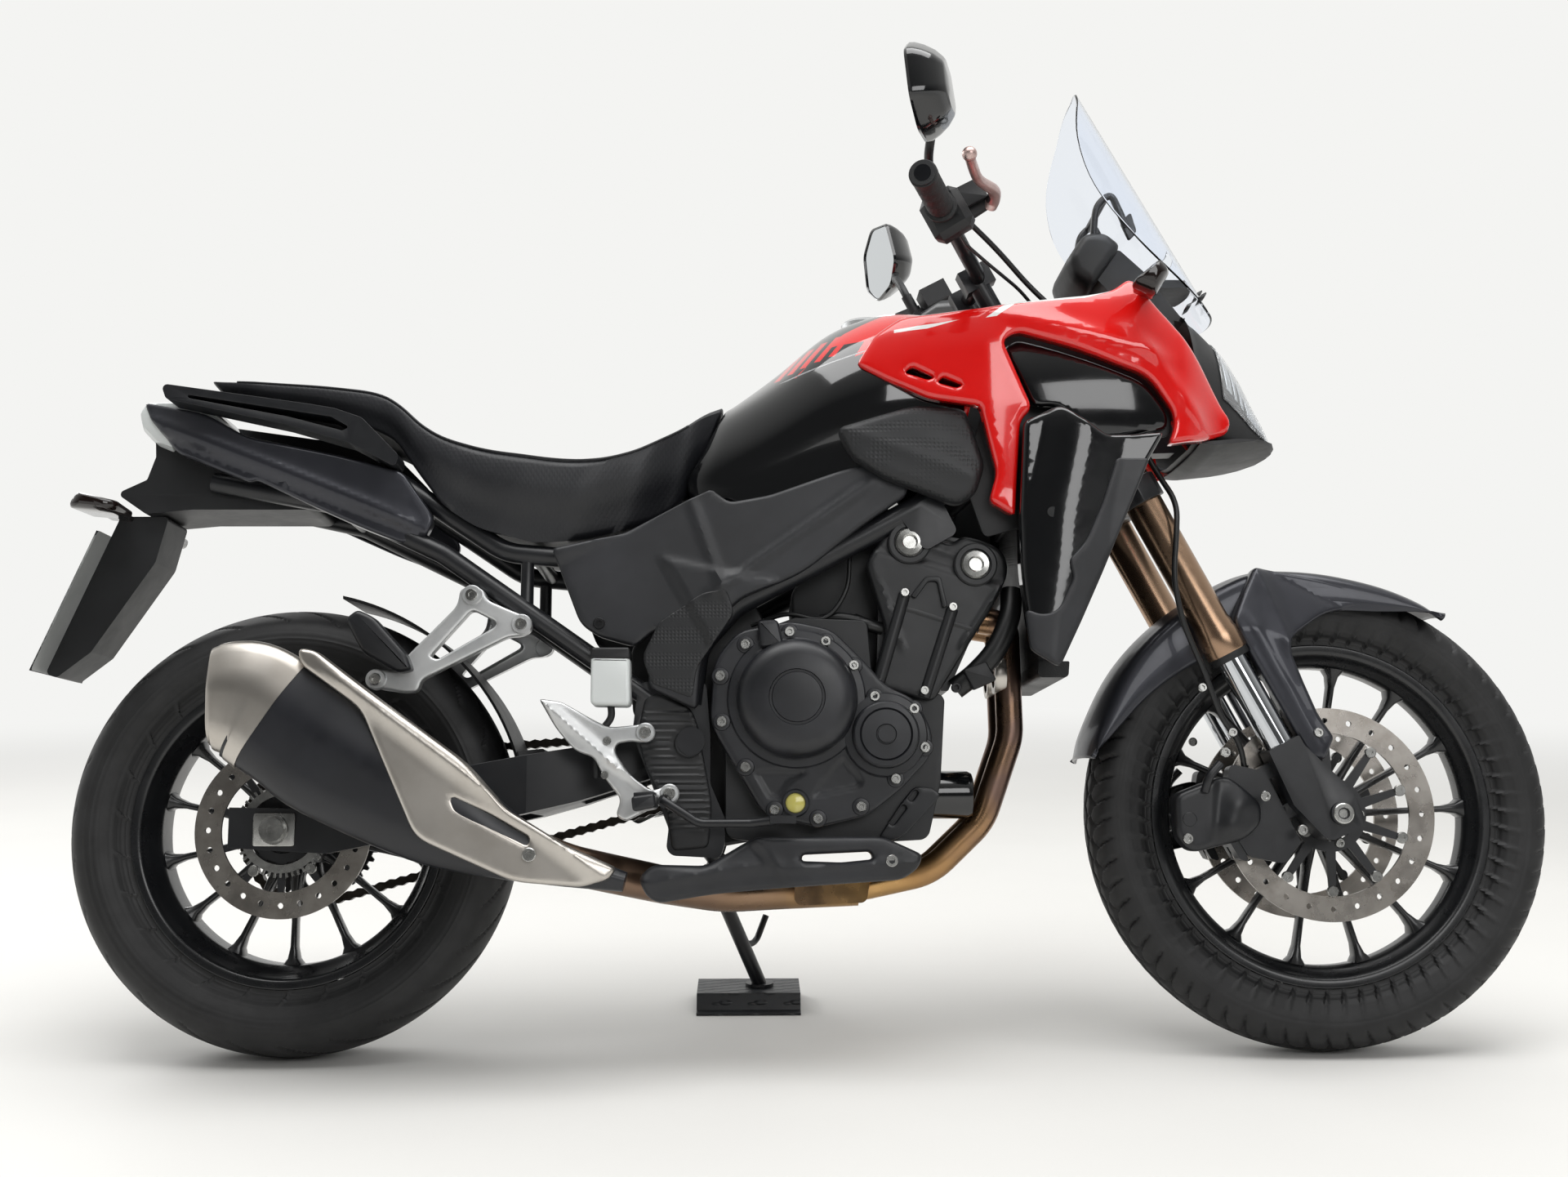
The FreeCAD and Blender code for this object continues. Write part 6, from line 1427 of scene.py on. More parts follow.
@dataclass
class Nose:
    """Nose cowl with its beak, twin-reflector lamp, screen and instruments."""

    screen_low: tuple = (1330.0, 1040.0)
    screen_high: tuple = (1128.0, 1405.0)
    screen_radius: float = 168.0
    screen_view: tuple = (
        (-62, 1052, 10), (62, 1052, 10), (132, 1110, 40), (154, 1215, 60), (130, 1330, 70), (48, 1404, 40),
        (-48, 1404, 40), (-130, 1330, 70), (-154, 1215, 60), (-132, 1110, 40))
    slot_view: tuple = ((-40, 1146, 5), (40, 1146, 5), (40, 1160, 5), (-40, 1160, 5))
    within: tuple = (1250.0, 0.0, 950.0)

    def build(self) -> None:
        """Makes the front of the machine."""
        self.cowl()
        self.lamp()
        self.screen()
        self.cluster()

    def half_sections(self) -> Grid:
        """Control net of the cowl: stations from the dash to the beak, each from the chin up over the top.

        Returns:
            The net: (station, point, xyz).
        """
        rows = []
        for x, low, high, wide in (
                (1268, 850, 1060, 134), (1276, 846, 1050, 128), (1290, 842, 1040, 118), (1318, 842, 1012, 98),
                (1342, 844, 974, 78), (1364, 847, 930, 60), (1388, 850, 890, 42), (1402, 853, 866, 22)):
            tall = high - low
            half = [(x, -wide * 0.5, low), (x, -wide * 0.92, low + tall * 0.06), (x, -wide, low + tall * 0.3),
                    (x, -wide * 0.9, low + tall * 0.62), (x, -wide * 0.62, low + tall * 0.88), (x, -wide * 0.2, high)]
            rows.append(round_over(half))
        return np.array(rows, float)

    def cowl(self) -> None:
        """The black nose, closed in front and rolled to a thin beak below the lamp."""
        net = woven(self.half_sections(), 6, 5)
        nose = stack(list(net), closed_start=False)
        beak_view = rounded([(1270, 842, 6), (1290, 832, 8), (1400, 850, 4), (1405, 858, 3), (1380, 862, 6),
                             (1290, 852, 8)])
        middle = beak_view.mean(0)
        rows = []
        for y, share, back in ((-122, 0.3, -52), (-104, 0.5, -34), (-80, 0.75, -18), (-40, 0.95, -4), (0, 1.0, 0),
                               (40, 0.95, -4), (80, 0.75, -18), (104, 0.5, -34), (122, 0.3, -52)):
            flat = middle + (beak_view - middle) * np.array([1.0, share])
            x = flat[:, 0] + back * (flat[:, 0] > 1300)
            rows.append(np.stack([x, np.full(len(flat), float(y)), flat[:, 1]], 1))
        nose.add_solid(stack([row[::-1] for row in rows]))
        piece = show("nose_shell", nose, MATT_ABS, sharp=40)
        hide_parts("nose_cowl")

    def lamp(self) -> None:
        """Two clear lens faces that follow the nose, each over a bright bowl and three level light bars."""
        net = woven(self.half_sections(), 10, 8)
        rows, columns = net.shape[:2]
        band = net[int(rows * 0.40):int(rows * 0.90)]
        glass, bright = Solid(), Solid()
        for start, end in ((0.22, 0.46), (0.54, 0.78)):
            patch = band[:, int(columns * start):int(columns * end)]
            out = np.cross(np.gradient(patch, axis=0), np.gradient(patch, axis=1))
            out /= np.maximum(np.linalg.norm(out, axis=-1, keepdims=True), 1e-6)
            out *= np.sign((out * (patch - np.array(self.within))).sum(-1, keepdims=True))
            r, c = patch.shape[:2]
            swell = np.outer(np.sin(np.linspace(0, math.pi, r)), np.sin(np.linspace(0, math.pi, c)))[..., None]
            glass.add_solid(skin(patch + out * (2.0 + 4.0 * swell)))
            for low, high in ((0.10, 0.20), (0.26, 0.34), (0.40, 0.46), (0.56, 0.86)):
                piece = (patch + out * 0.6)[int(r * low):int(r * high) + 1, int(c * 0.16):int(c * 0.84)]
                bright.add_solid(skin(piece))
        piece = show("headlamp_lens", glass, LAMP_LENS, sharp=60, thick=1.2)
        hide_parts("headlight")
        show("headlamp_reflectors", bright, HARD_CHROME, sharp=60, thick=0.8)

    def screen(self) -> None:
        """The bubble screen: part of a cylinder about a leaning axis, cut to the shape it has from in front."""
        low, high = (np.array([x, 0.0, z]) for x, z in (self.screen_low, self.screen_high))
        line = (high - low) / np.linalg.norm(high - low)
        out = np.array([line[2], 0.0, -line[0]])
        axis = low - out * self.screen_radius

        def depth(y: Grid, z: Grid) -> Grid:
            """x of the cylinder's outer face at y and z: the larger root of its quadratic."""
            reach = np.sqrt(np.maximum(self.screen_radius ** 2 - y ** 2, 1.0))
            return axis[0] + ((z - axis[2]) * line[0] + reach) / line[2]

        sheet = moulded(rounded(self.screen_view, 7), depth, 3, 0.0, spacing=9, skirt=0,
                        holes=[rounded(self.slot_view, 4)])
        turned_sheet = sheet.moved(lambda p: np.stack([-p[:, 1], p[:, 0], p[:, 2]], 1))
        piece = show("screen_clear", turned_sheet, CLEAR_SCREEN, sharp=60, thick=3.0)
        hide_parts("windscreen")
        studs = Solid()
        for y in (-62.0, -28.0, 28.0, 62.0):
            z = 1076.0 if abs(y) > 40 else 1090.0
            x = float(depth(np.array([y]), np.array([z]))[0])
            head = turned([(9.5, -4), (9.5, 0), (9, 4), (6, 6.4), (0.1, 7)], 24)
            studs.add_solid(head.moved(lambda p, x=x, y=y, z=z: np.stack(
                [p[:, 1] * out[0] - p[:, 2] * line[0] + x, p[:, 0] + y, p[:, 1] * out[2] + p[:, 2] * line[2] + z], 1)))
        show("screen_studs", studs, MATT_ABS)

    def cluster(self) -> None:
        """The instrument pod: a hooded case whose glass faces the rider, on its bracket."""
        case = rounded([(1100, 1132, 8), (1126, 1172, 10), (1158, 1174, 10), (1182, 1154, 10), (1134, 1086, 10),
                        (1108, 1106, 8)])
        rows = scaled_loops(case, ((-82, 0.55, 0), (-80, 0.8, 0), (-72, 0.94, 0), (-50, 1.0, 0), (50, 1.0, 0),
                                   (72, 0.94, 0), (80, 0.8, 0), (82, 0.55, 0)))
        show("instrument_case", stack([row[::-1] for row in rows]), MATT_ABS, sharp=50)


# Wheels

def merged_copy(node: str, flat: float = 0.0) -> bpy.types.Mesh:
    """A copy of a CAD node's mesh, its loose triangles joined.

    Args:
        node: The node's name.
        flat: Angle in degrees under which neighbouring faces become one; 0 leaves them.

    Returns:
        The mesh, with the node's own materials still in it.
    """
    mesh = frame["nodes"][node].data.copy()
    shape = bmesh.new()
    shape.from_mesh(mesh)
    bmesh.ops.remove_doubles(shape, verts=shape.verts, dist=JOIN_METRES)
    if flat:
        bmesh.ops.dissolve_limit(shape, angle_limit=math.radians(flat), verts=shape.verts, edges=shape.edges)
    shape.to_mesh(mesh)
    shape.free()
    return mesh


@dataclass
class Tyre:
    """A tyre: its half profile from the bead to the crown, and the pattern cut into its tread."""

    name: str
    node: str
    body: Body
    centre: tuple[float, float, float]
    profile: tuple[tuple[float, float], ...]
    pitch: float
    lean: float
    groove: float
    depth: float
    inner: float
    outer: float
    zigzag: float
    around: int = 640

    def tread(self, arc: Grid, y: Grid) -> Grid:
        """Depth of the grooves at a place along and across the tread.

        A groove runs where the arc length, pushed ahead by the lean times the distance from the middle, is a
        whole number of pitches; it fades out between the inner and outer distance. Zigzag grooves go round.

        Args:
            arc: Distance round the crown.
            y: Distance across from the middle.

        Returns:
            The depth there.
        """
        off = np.abs(y)
        side = np.where(y > 0, 0.5, 0.0)
        phase = (arc + self.lean * off) / self.pitch + side
        near = np.abs(phase - np.round(phase)) * self.pitch
        cut = np.clip(1.4 - near / (self.groove / 2), 0, 1)
        cut *= np.clip((off - self.inner) / 5, 0, 1) * np.clip((self.outer - off) / 5, 0, 1)
        if self.zigzag:
            swing = np.abs((arc / self.pitch * 2 + side * 2) % 2 - 1) * 7
            ring = np.abs(off - self.zigzag - swing)
            cut = np.maximum(cut, np.clip(1.5 - ring / 2.6, 0, 1) * 0.9)
            second = np.abs(off - self.zigzag - 22 + swing)
            cut = np.maximum(cut, np.clip(1.5 - second / 2.4, 0, 1) * 0.8)
        return cut * self.depth

    def build(self) -> None:
        """Turns the profile, cuts the pattern and dresses the tyre."""
        half = smooth_line(self.profile, 7)
        section = np.vstack([half, (half * np.array([1.0, -1.0]))[-2::-1]])
        crown = self.profile[-1][0]
        angle = np.linspace(0, 2 * math.pi, self.around, endpoint=False)
        gone = angle * crown
        radius = section[:, 0][:, None] - self.tread(gone[None], section[:, 1][:, None])
        # Fine raised rings on the sidewall, one every 7 mm
        ring_tall, ring_pitch, tread_edge = 0.7, 2 * math.pi / 0.9, crown - 34
        beat = np.cos((section[:, 0] - self.profile[0][0]) * 2 * math.pi / ring_pitch)
        rings = ring_tall * (beat > 0.75) * (section[:, 0] < tread_edge)
        y = section[:, 1] + np.sign(section[:, 1]) * rings
        across = np.broadcast_to(y[:, None], radius.shape)
        grid = np.stack([radius * np.cos(angle), across, radius * np.sin(angle)], -1)
        faces = faces_of_grid(len(section), self.around, wrap_columns=True)
        tyre = Solid().add(grid.reshape(-1, 3) + np.array(self.centre), faces[:, ::-1])
        first, last = section[0], section[-1]
        inside_wall = turned([(last[0], last[1]), (last[0] + 6, last[1] - 8), (crown - 26, last[1] - 16),
                              (crown - 16, 0), (crown - 26, first[1] + 16), (first[0] + 6, first[1] + 8),
                              (first[0], first[1])], 96, self.centre)
        tyre.add_solid(inside_wall)
        piece = show(self.name, tyre, TYRE_RUBBER, self.body, sharp=38)
        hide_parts(self.node)


@dataclass
class Wheels:
    """Both tyres, the discs' bobbins and bolts, wheel-speed ring, axle nuts and chain adjusters."""

    front: tuple[float, float, float] = (STANCE.wheelbase, 0.0, STANCE.front_radius)
    rear: tuple[float, float, float] = (0.0, 0.0, STANCE.rear_radius)

    def build(self) -> None:
        """Builds what turns with each wheel, and the axle ends beside them."""
        Tyre("tyre_front", "front_tyre", Body.FRONT_WHEEL, self.front,
             ((241.6, -35), (251, -38), (260, -47), (280, -54), (298, -54.5), (312, -47), (323, -28), (327.6, -12),
              (328.8, 0)), pitch=31.3, lean=0.55, groove=6.5, depth=6.0, inner=22, outer=56, zigzag=6.0,
             around=660).build()
        Tyre("tyre_rear", "rear_tyre", Body.REAR_WHEEL, self.rear,
             ((216.6, -58), (228, -61), (238, -70), (256, -79.5), (272, -79), (290, -68), (304, -42), (310.4, -18),
              (311.8, 0)), pitch=74.7, lean=1.5, groove=4.6, depth=4.5, inner=7, outer=70, zigzag=0.0).build()
        self.rim("front", self.front, Body.FRONT_WHEEL, radius=241.0, half=38.0, hub=34.0, hub_half=66.0, phase=2.6)
        self.rim("rear", self.rear, Body.REAR_WHEEL, radius=216.0, half=62.0, hub=54.0, hub_half=84.0, phase=12.86)
        self.discs()
        self.bobbins()
        self.axle_ends()

    def rim(self, end: str, centre: Sequence[float], body: Body, radius: float, half: float, hub: float,
            hub_half: float, phase: float) -> None:
        """A cast wheel: drop-centre barrel with rolled flanges, slim spokes that flare at the barrel, and a hub.

        Args:
            end: "front" or "rear".
            centre: The axle's middle.
            body: The moving body that carries it.
            radius: Outer radius of the flange.
            half: Half the width over the flanges.
            hub: The hub's radius.
            hub_half: Half the hub's length.
            phase: Angle of the first spoke in degrees.
        """
        seat, well = radius - 9, radius - 24
        section = rounded([
            (radius, half, 2), (radius, half - 4, 1.5), (seat, half - 5, 3), (seat - 2, half * 0.55, 6),
            (well, half * 0.36, 6), (well, -half * 0.36, 6), (seat - 2, -half * 0.55, 6), (seat, 5 - half, 3),
            (radius, 4 - half, 1.5), (radius, -half, 2), (seat - 4, 1 - half, 5), (seat - 10, -half * 0.72, 8),
            (well - 7, -half * 0.42, 8), (well - 7, half * 0.42, 8), (seat - 10, half * 0.72, 8),
            (seat - 4, half - 1, 5)])
        wheel = turned(section, 160, centre, closed=True)
        tip = well - 5
        angle = np.linspace(0, 2 * math.pi, 20, endpoint=False)
        shape = np.stack([np.cos(angle), np.sin(angle)], 1)
        shape = np.sign(shape) * np.abs(shape) ** 0.6
        loops = []
        for r, width, depth in ((hub - 4, 11, 19), (hub + 12, 7.5, 17), (hub + 45, 5.2, 13.5), (tip - 60, 4.4, 11.5),
                                (tip - 26, 4.8, 12.5), (tip - 10, 8, 15), (tip, 16, 19)):
            loops.append(np.stack([np.full(20, float(r)), shape[:, 1] * depth, shape[:, 0] * width], 1))
        wheel.add_solid(self.ring_of(stack(loops), centre, 14, 0.0, 0.0, phase))
        wheel.add_solid(turned([(0.1, hub_half), (hub - 8, hub_half), (hub - 5, hub_half - 3), (hub, hub_half * 0.5),
                                (hub + 1, 0), (hub, -hub_half * 0.5), (hub - 5, 3 - hub_half), (hub - 8, -hub_half),
                                (0.1, -hub_half)], 64, centre))
        piece = show(f"rim_{end}", wheel, WHEEL_PAINT, body, sharp=35)
        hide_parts(f"{end}_rim")

    def discs(self) -> None:
        """Brake discs: ground bands on black carriers, told apart by the distance from the axle."""
        for name, body, centre, finish, bore in (
                ("front_discs", Body.FRONT_WHEEL, self.front, FRONT_DISC_STEEL, 111.0),
                ("rear_disc", Body.REAR_WHEEL, self.rear, DISC_STEEL, 83.0)):
            mesh = merged_copy(name)
            middle, beside = STANCE.place(np.array([centre, np.add(centre, (0.0, 100.0, 0.0))]))
            axis = (beside - middle) / np.linalg.norm(beside - middle)
            places = np.array([polygon.center[:] for polygon in mesh.polygons]) - middle
            reach = np.linalg.norm(places - (places @ axis)[:, None] * axis, axis=1)
            mesh.materials.clear()
            for material in (finish, CAST_BLACK):
                mesh.materials.append(material.make())
            mesh.polygons.foreach_set("material_index", (reach < bore / 1000).astype(np.int32))
            mesh.shade_smooth()
            mesh.set_sharp_from_angle(angle=math.radians(30))
            piece = linked(name + "_ground", mesh)
            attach(piece, body.value)
            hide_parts(name)
            LOG.info("%s: band and carrier", name)

    def ring_of(self, piece: Solid, centre: Sequence[float], count: int, radius: float, y: float,
                phase: float = 0.0) -> Solid:
        """Copies of a small piece on a circle about the axle, each turned with its place.

        Args:
            piece: The small piece, made about the axle's own middle.
            centre: The axle's middle.
            count: How many copies.
            radius: The circle's radius.
            y: How far out along the axle.
            phase: Angle of the first copy in degrees.

        Returns:
            All copies in one solid.
        """
        whole = Solid()
        base = np.vstack(piece.points)
        for angle in np.arange(count) * 2 * math.pi / count + math.radians(phase):
            c, s = math.cos(angle), math.sin(angle)
            turned_points = np.stack([base[:, 0] * c - base[:, 2] * s + radius * c, base[:, 1] + y,
                                      base[:, 0] * s + base[:, 2] * c + radius * s], 1)
            whole.add(turned_points + np.array(centre), piece.faces)
        return whole

    def bobbins(self) -> None:
        """Floating-disc bobbins in front, plain disc bolts and a slotted speed ring behind."""
        button = turned([(8.0, 3.0), (8.0, -1.0), (7.0, -2.2), (3.0, -2.2), (2.5, -1.0), (0.1, -1.0)], 20)
        screw = screws([(0.0, 0.0, 0.0)], 6.5, 6.0)
        front = Solid()
        for side in (-1, 1):
            for piece, count, radius, y, phase in ((button, 10, 106.0, 73.0, 18.0), (screw, 5, 42.0, 70.5, 0.0)):
                piece = piece if side < 0 else piece.mirrored()
                front.add_solid(self.ring_of(piece, self.front, count, radius, side * y, phase))
        show("front_disc_bobbins", front, ZINC_STEEL, Body.FRONT_WHEEL, sharp=30)
        rear = self.ring_of(screws([(0.0, 0.0, 0.0)], 7.5, 5.0), self.rear, 5, 66.0, -90.0, 20.0)
        show("rear_disc_bolts", rear, ZINC_STEEL, Body.REAR_WHEEL, sharp=30)
        inner, outer, y0, y1 = 47.0, 58.0, -93.0, -91.0
        ring = turned([(outer, y1), (outer, y0), (inner, y0), (inner, y1)], 96, self.rear)
        tooth = slab(np.array([(0.0, -1.6), (7.0, -1.9), (7.0, 1.9), (0.0, 1.6)]), 0.0, -2.0, 0.3, 1)
        ring.add_solid(self.ring_of(tooth, self.rear, 48, outer - 0.5, y1))
        show("rear_speed_ring", ring, ZINC_STEEL, Body.REAR_WHEEL, sharp=30)

    def axle_ends(self) -> None:
        """Rear adjuster plate with its nut, on both sides; they sit on the swingarm's outer face."""
        angle = np.linspace(0, 2 * math.pi, 6, endpoint=False)
        hexagon = np.stack([15.5 * np.cos(angle), 15.5 * np.sin(angle) + STANCE.rear_radius], 1)
        square = rounded([(-28, 290, 4), (28, 290, 4), (28, 334, 4), (-28, 334, 4)])
        ends = Solid()
        ends.add_solid(slab(square[::-1], -132.0, -137.0, 1.0))
        ends.add_solid(turned([(12, -137), (19, -137), (20, -138), (19, -139.5), (12, -139.5)], 36, self.rear))
        ends.add_solid(slab(hexagon[::-1], -139.0, -148.0, 1.2))
        ends.add_solid(turned([(8.5, -140), (8.5, -148), (7, -149), (0.1, -149)], 28, self.rear))
        show("rear_axle_nuts", both(ends), ZINC_STEEL, sharp=30)


@dataclass
class Softened:
    """Packed mechanical nodes shown with rounded edges: a merged copy of each with a bevel on its sharp edges."""

    pieces: tuple[tuple[str, Finish, float], ...] = (
        ("main_frame", FRAME_PAINT, 1.6), ("swingarm", FRAME_PAINT, 2.0), ("engine_case", ENGINE_PAINT, 2.0),
        ("cylinder_head", ENGINE_PAINT, 2.0), ("sprocket_cover", COVER_PAINT, 2.0), ("fork_lowers", CAST_BLACK, 2.2),
        ("triple_clamps", CAST_BLACK, 1.8), ("grab_rails", FRAME_PAINT, 3.0), ("handlebar", FRAME_PAINT, 0.8),
        ("hand_controls", MATT_ABS, 2.0), ("foot_controls", CAST_BLACK, 1.5), ("rear_brake", CAST_BLACK, 1.5),
        ("side_stand", FRAME_PAINT, 1.2), ("undertray", MATT_ABS, 2.0), ("rear_shock", CAST_BLACK, 0.8))

    def build(self) -> None:
        """Copies, merges and bevels each node."""
        smooth_below, bevel_above = math.radians(50), math.radians(28)
        for name, finish, width in self.pieces:
            mesh = merged_copy(name, 1.5)
            mesh.materials.clear()
            mesh.materials.append(finish.make())
            piece = linked(name + "_cast", mesh)
            mesh.shade_smooth()
            mesh.set_sharp_from_angle(angle=smooth_below)
            soft = piece.modifiers.new("cast edges", "BEVEL")
            soft.width = width / 1000
            soft.segments = 2
            soft.limit_method = "ANGLE"
            soft.angle_limit = bevel_above
            soft.use_clamp_overlap = True
            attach(piece, frame["nodes"][name]["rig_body"])
            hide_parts(name)
            LOG.info("%s: rounded by %.1f mm", name, width)


# Exhaust

@dataclass
class Exhaust:
    """Silencer with its stainless end cap, the heat shield and the dark guard along the collector."""

    shield_view: tuple = (
        (48, 546, 8), (52, 524, 10), (132, 466, 16), (156, 412, 12), (206, 300, 20), (332, 243, 20), (419, 236, 10),
        (456, 246, 8), (464, 260, 6), (394, 292, 20), (322, 336, 12), (268, 397, 20), (146, 486, 16), (70, 543, 8))
    slot_view: tuple = ((300, 330, 4), (352, 300, 4), (350, 290, 4), (258, 338, 4), (252, 352, 4))
    guard_view: tuple = (
        (489, 247, 8), (500, 222, 10), (517, 213, 8), (588, 225, 30), (686, 233, 30), (840, 243, 10), (862, 258, 8),
        (868, 276, 6), (842, 288, 8), (815, 300, 12), (648, 300, 8), (634, 294, 8), (579, 262, 10), (508, 264, 10))
    guard_slot: tuple = ((760, 266, 6), (802, 270, 4), (798, 280, 4), (708, 276, 3), (706, 268, 4))

    def build(self) -> None:
        """Makes the exhaust pieces of the right side."""
        self.silencer()
        self.shields()
        self.collars()

    def silencer(self) -> None:
        """A body of six soft corners that grows from the inlet to the outlet, closed by a stepped steel cap."""
        body = self.loft((((474, 242), 26, 24), ((384, 264), 54, 34), ((300, 296), 98, 44), ((226, 334), 142, 50),
                          ((93, 404), 166, 55), ((40, 440), 164, 56), ((-14, 474), 160, 56)))
        piece = show("silencer_body", body, MUFFLER_PAINT, sharp=40)
        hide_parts("muffler")
        cap = self.loft((((10, 459), 166, 57), ((-16, 476), 163, 57), ((-40, 482), 154, 55), ((-62, 483), 140, 50),
                         ((-70, 483), 126, 45), ((-71, 483), 112, 40), ((-60, 483), 104, 36), ((-40, 483), 98, 33)))
        show("silencer_cap", cap, BRUSHED_STAINLESS, sharp=24)

    def loft(self, stations: Sequence) -> Solid:
        """Six-cornered rounded sections, each ((x, z) of its middle, height, half width), across a falling line.

        Args:
            stations: The sections' sizes, from the inlet to the outlet.

        Returns:
            The closed body.
        """
        line = smooth_line([(x, z, tall, wide) for (x, z), tall, wide in stations], 5)
        along = np.gradient(line[:, :2], axis=0)
        along /= np.linalg.norm(along, axis=1, keepdims=True)
        up = np.stack([along[:, 1], -along[:, 0]], 1)
        up *= np.sign(up[:, 1:2])
        shape = rounded([(0.62, 1.0, 0.25), (1.0, 0.30, 0.25), (0.86, -0.72, 0.3), (0.40, -1.0, 0.2),
                         (-0.6, -0.96, 0.3), (-1.0, -0.2, 0.3), (-0.8, 0.86, 0.25), (-0.2, 1.0, 0.2)], 5)
        loops = []
        for point, lift in zip(line, up):
            tall, wide = point[2] / 2, point[3] * 0.86
            loops.append(np.stack([point[0] + lift[0] * shape[:, 1] * tall, -(190 + shape[:, 0] * wide),
                                   point[1] + lift[1] * shape[:, 1] * tall], 1))
        return stack(loops[::-1])

    def shields(self) -> None:
        """The folded stainless shield over the silencer's inlet and the moulded guard beside the collector."""
        def shield_height(x: Grid, z: Grid) -> Grid:
            """Half width of the shield: it narrows forward and a fold runs along it."""
            return 238 - 0.075 * np.clip(x - 160, 0, 400) + crease(x, z, (110, 500), (430, 262), 26, 6)

        def guard_height(x: Grid, z: Grid) -> Grid:
            """Half width of the guard: folds run from its tail over the bridge and beside the slot."""
            folds = crease(x, z, (500, 240), (640, 262), 22, 6) + crease(x, z, (670, 258), (860, 266), 12, 4)
            return 162 + folds + 8 * step(x, z, (640, 296), (690, 233), 10)

        shield = moulded(rounded(self.shield_view), shield_height, 6, 6, spacing=5, skirt=26,
                         holes=[rounded(self.slot_view, 3)])
        piece = show("silencer_shield", shield, BRUSHED_STAINLESS, thick=1.8)
        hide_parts("exhaust_guards")
        guard = moulded(rounded(self.guard_view), guard_height, 8, 10, spacing=6, skirt=16,
                        holes=[rounded(self.guard_slot, 3)])
        piece = show("collector_guard", guard, CHARCOAL_ABS, thick=2.5)
        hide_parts("exhaust_guards")
        bolts = screws([(353, -227, 278)], 9, 6)
        bolts.add_solid(screws([(826, -170, 268)], 8, 5))
        show("shield_bolts", bolts, ZINC_STEEL, sharp=30)

    def collars(self) -> None:
        """Flange collars where the two pipes leave the head."""
        rings = Solid()
        for y in (-41.0, 41.0):
            ring = turned([(19, 0), (27, 0), (28, 3), (28, 13), (27, 16), (19, 16)], 32)
            rings.add_solid(ring.moved(lambda p, y=y: np.stack([p[:, 1] + 984, p[:, 0] + y, p[:, 2] + 528], 1)))
        show("header_collars", rings, BRUSHED_STAINLESS, sharp=30)


# Engine

def boss(centre: Sequence[float], y: float, profile: Rows, sides: int = 96) -> Solid:
    """A turned boss that stands out to the right: (radius, distance out from y) from its foot to its middle."""
    return turned([(radius, -(y + out)) for radius, out in profile], sides, (centre[0], 0.0, centre[1]))


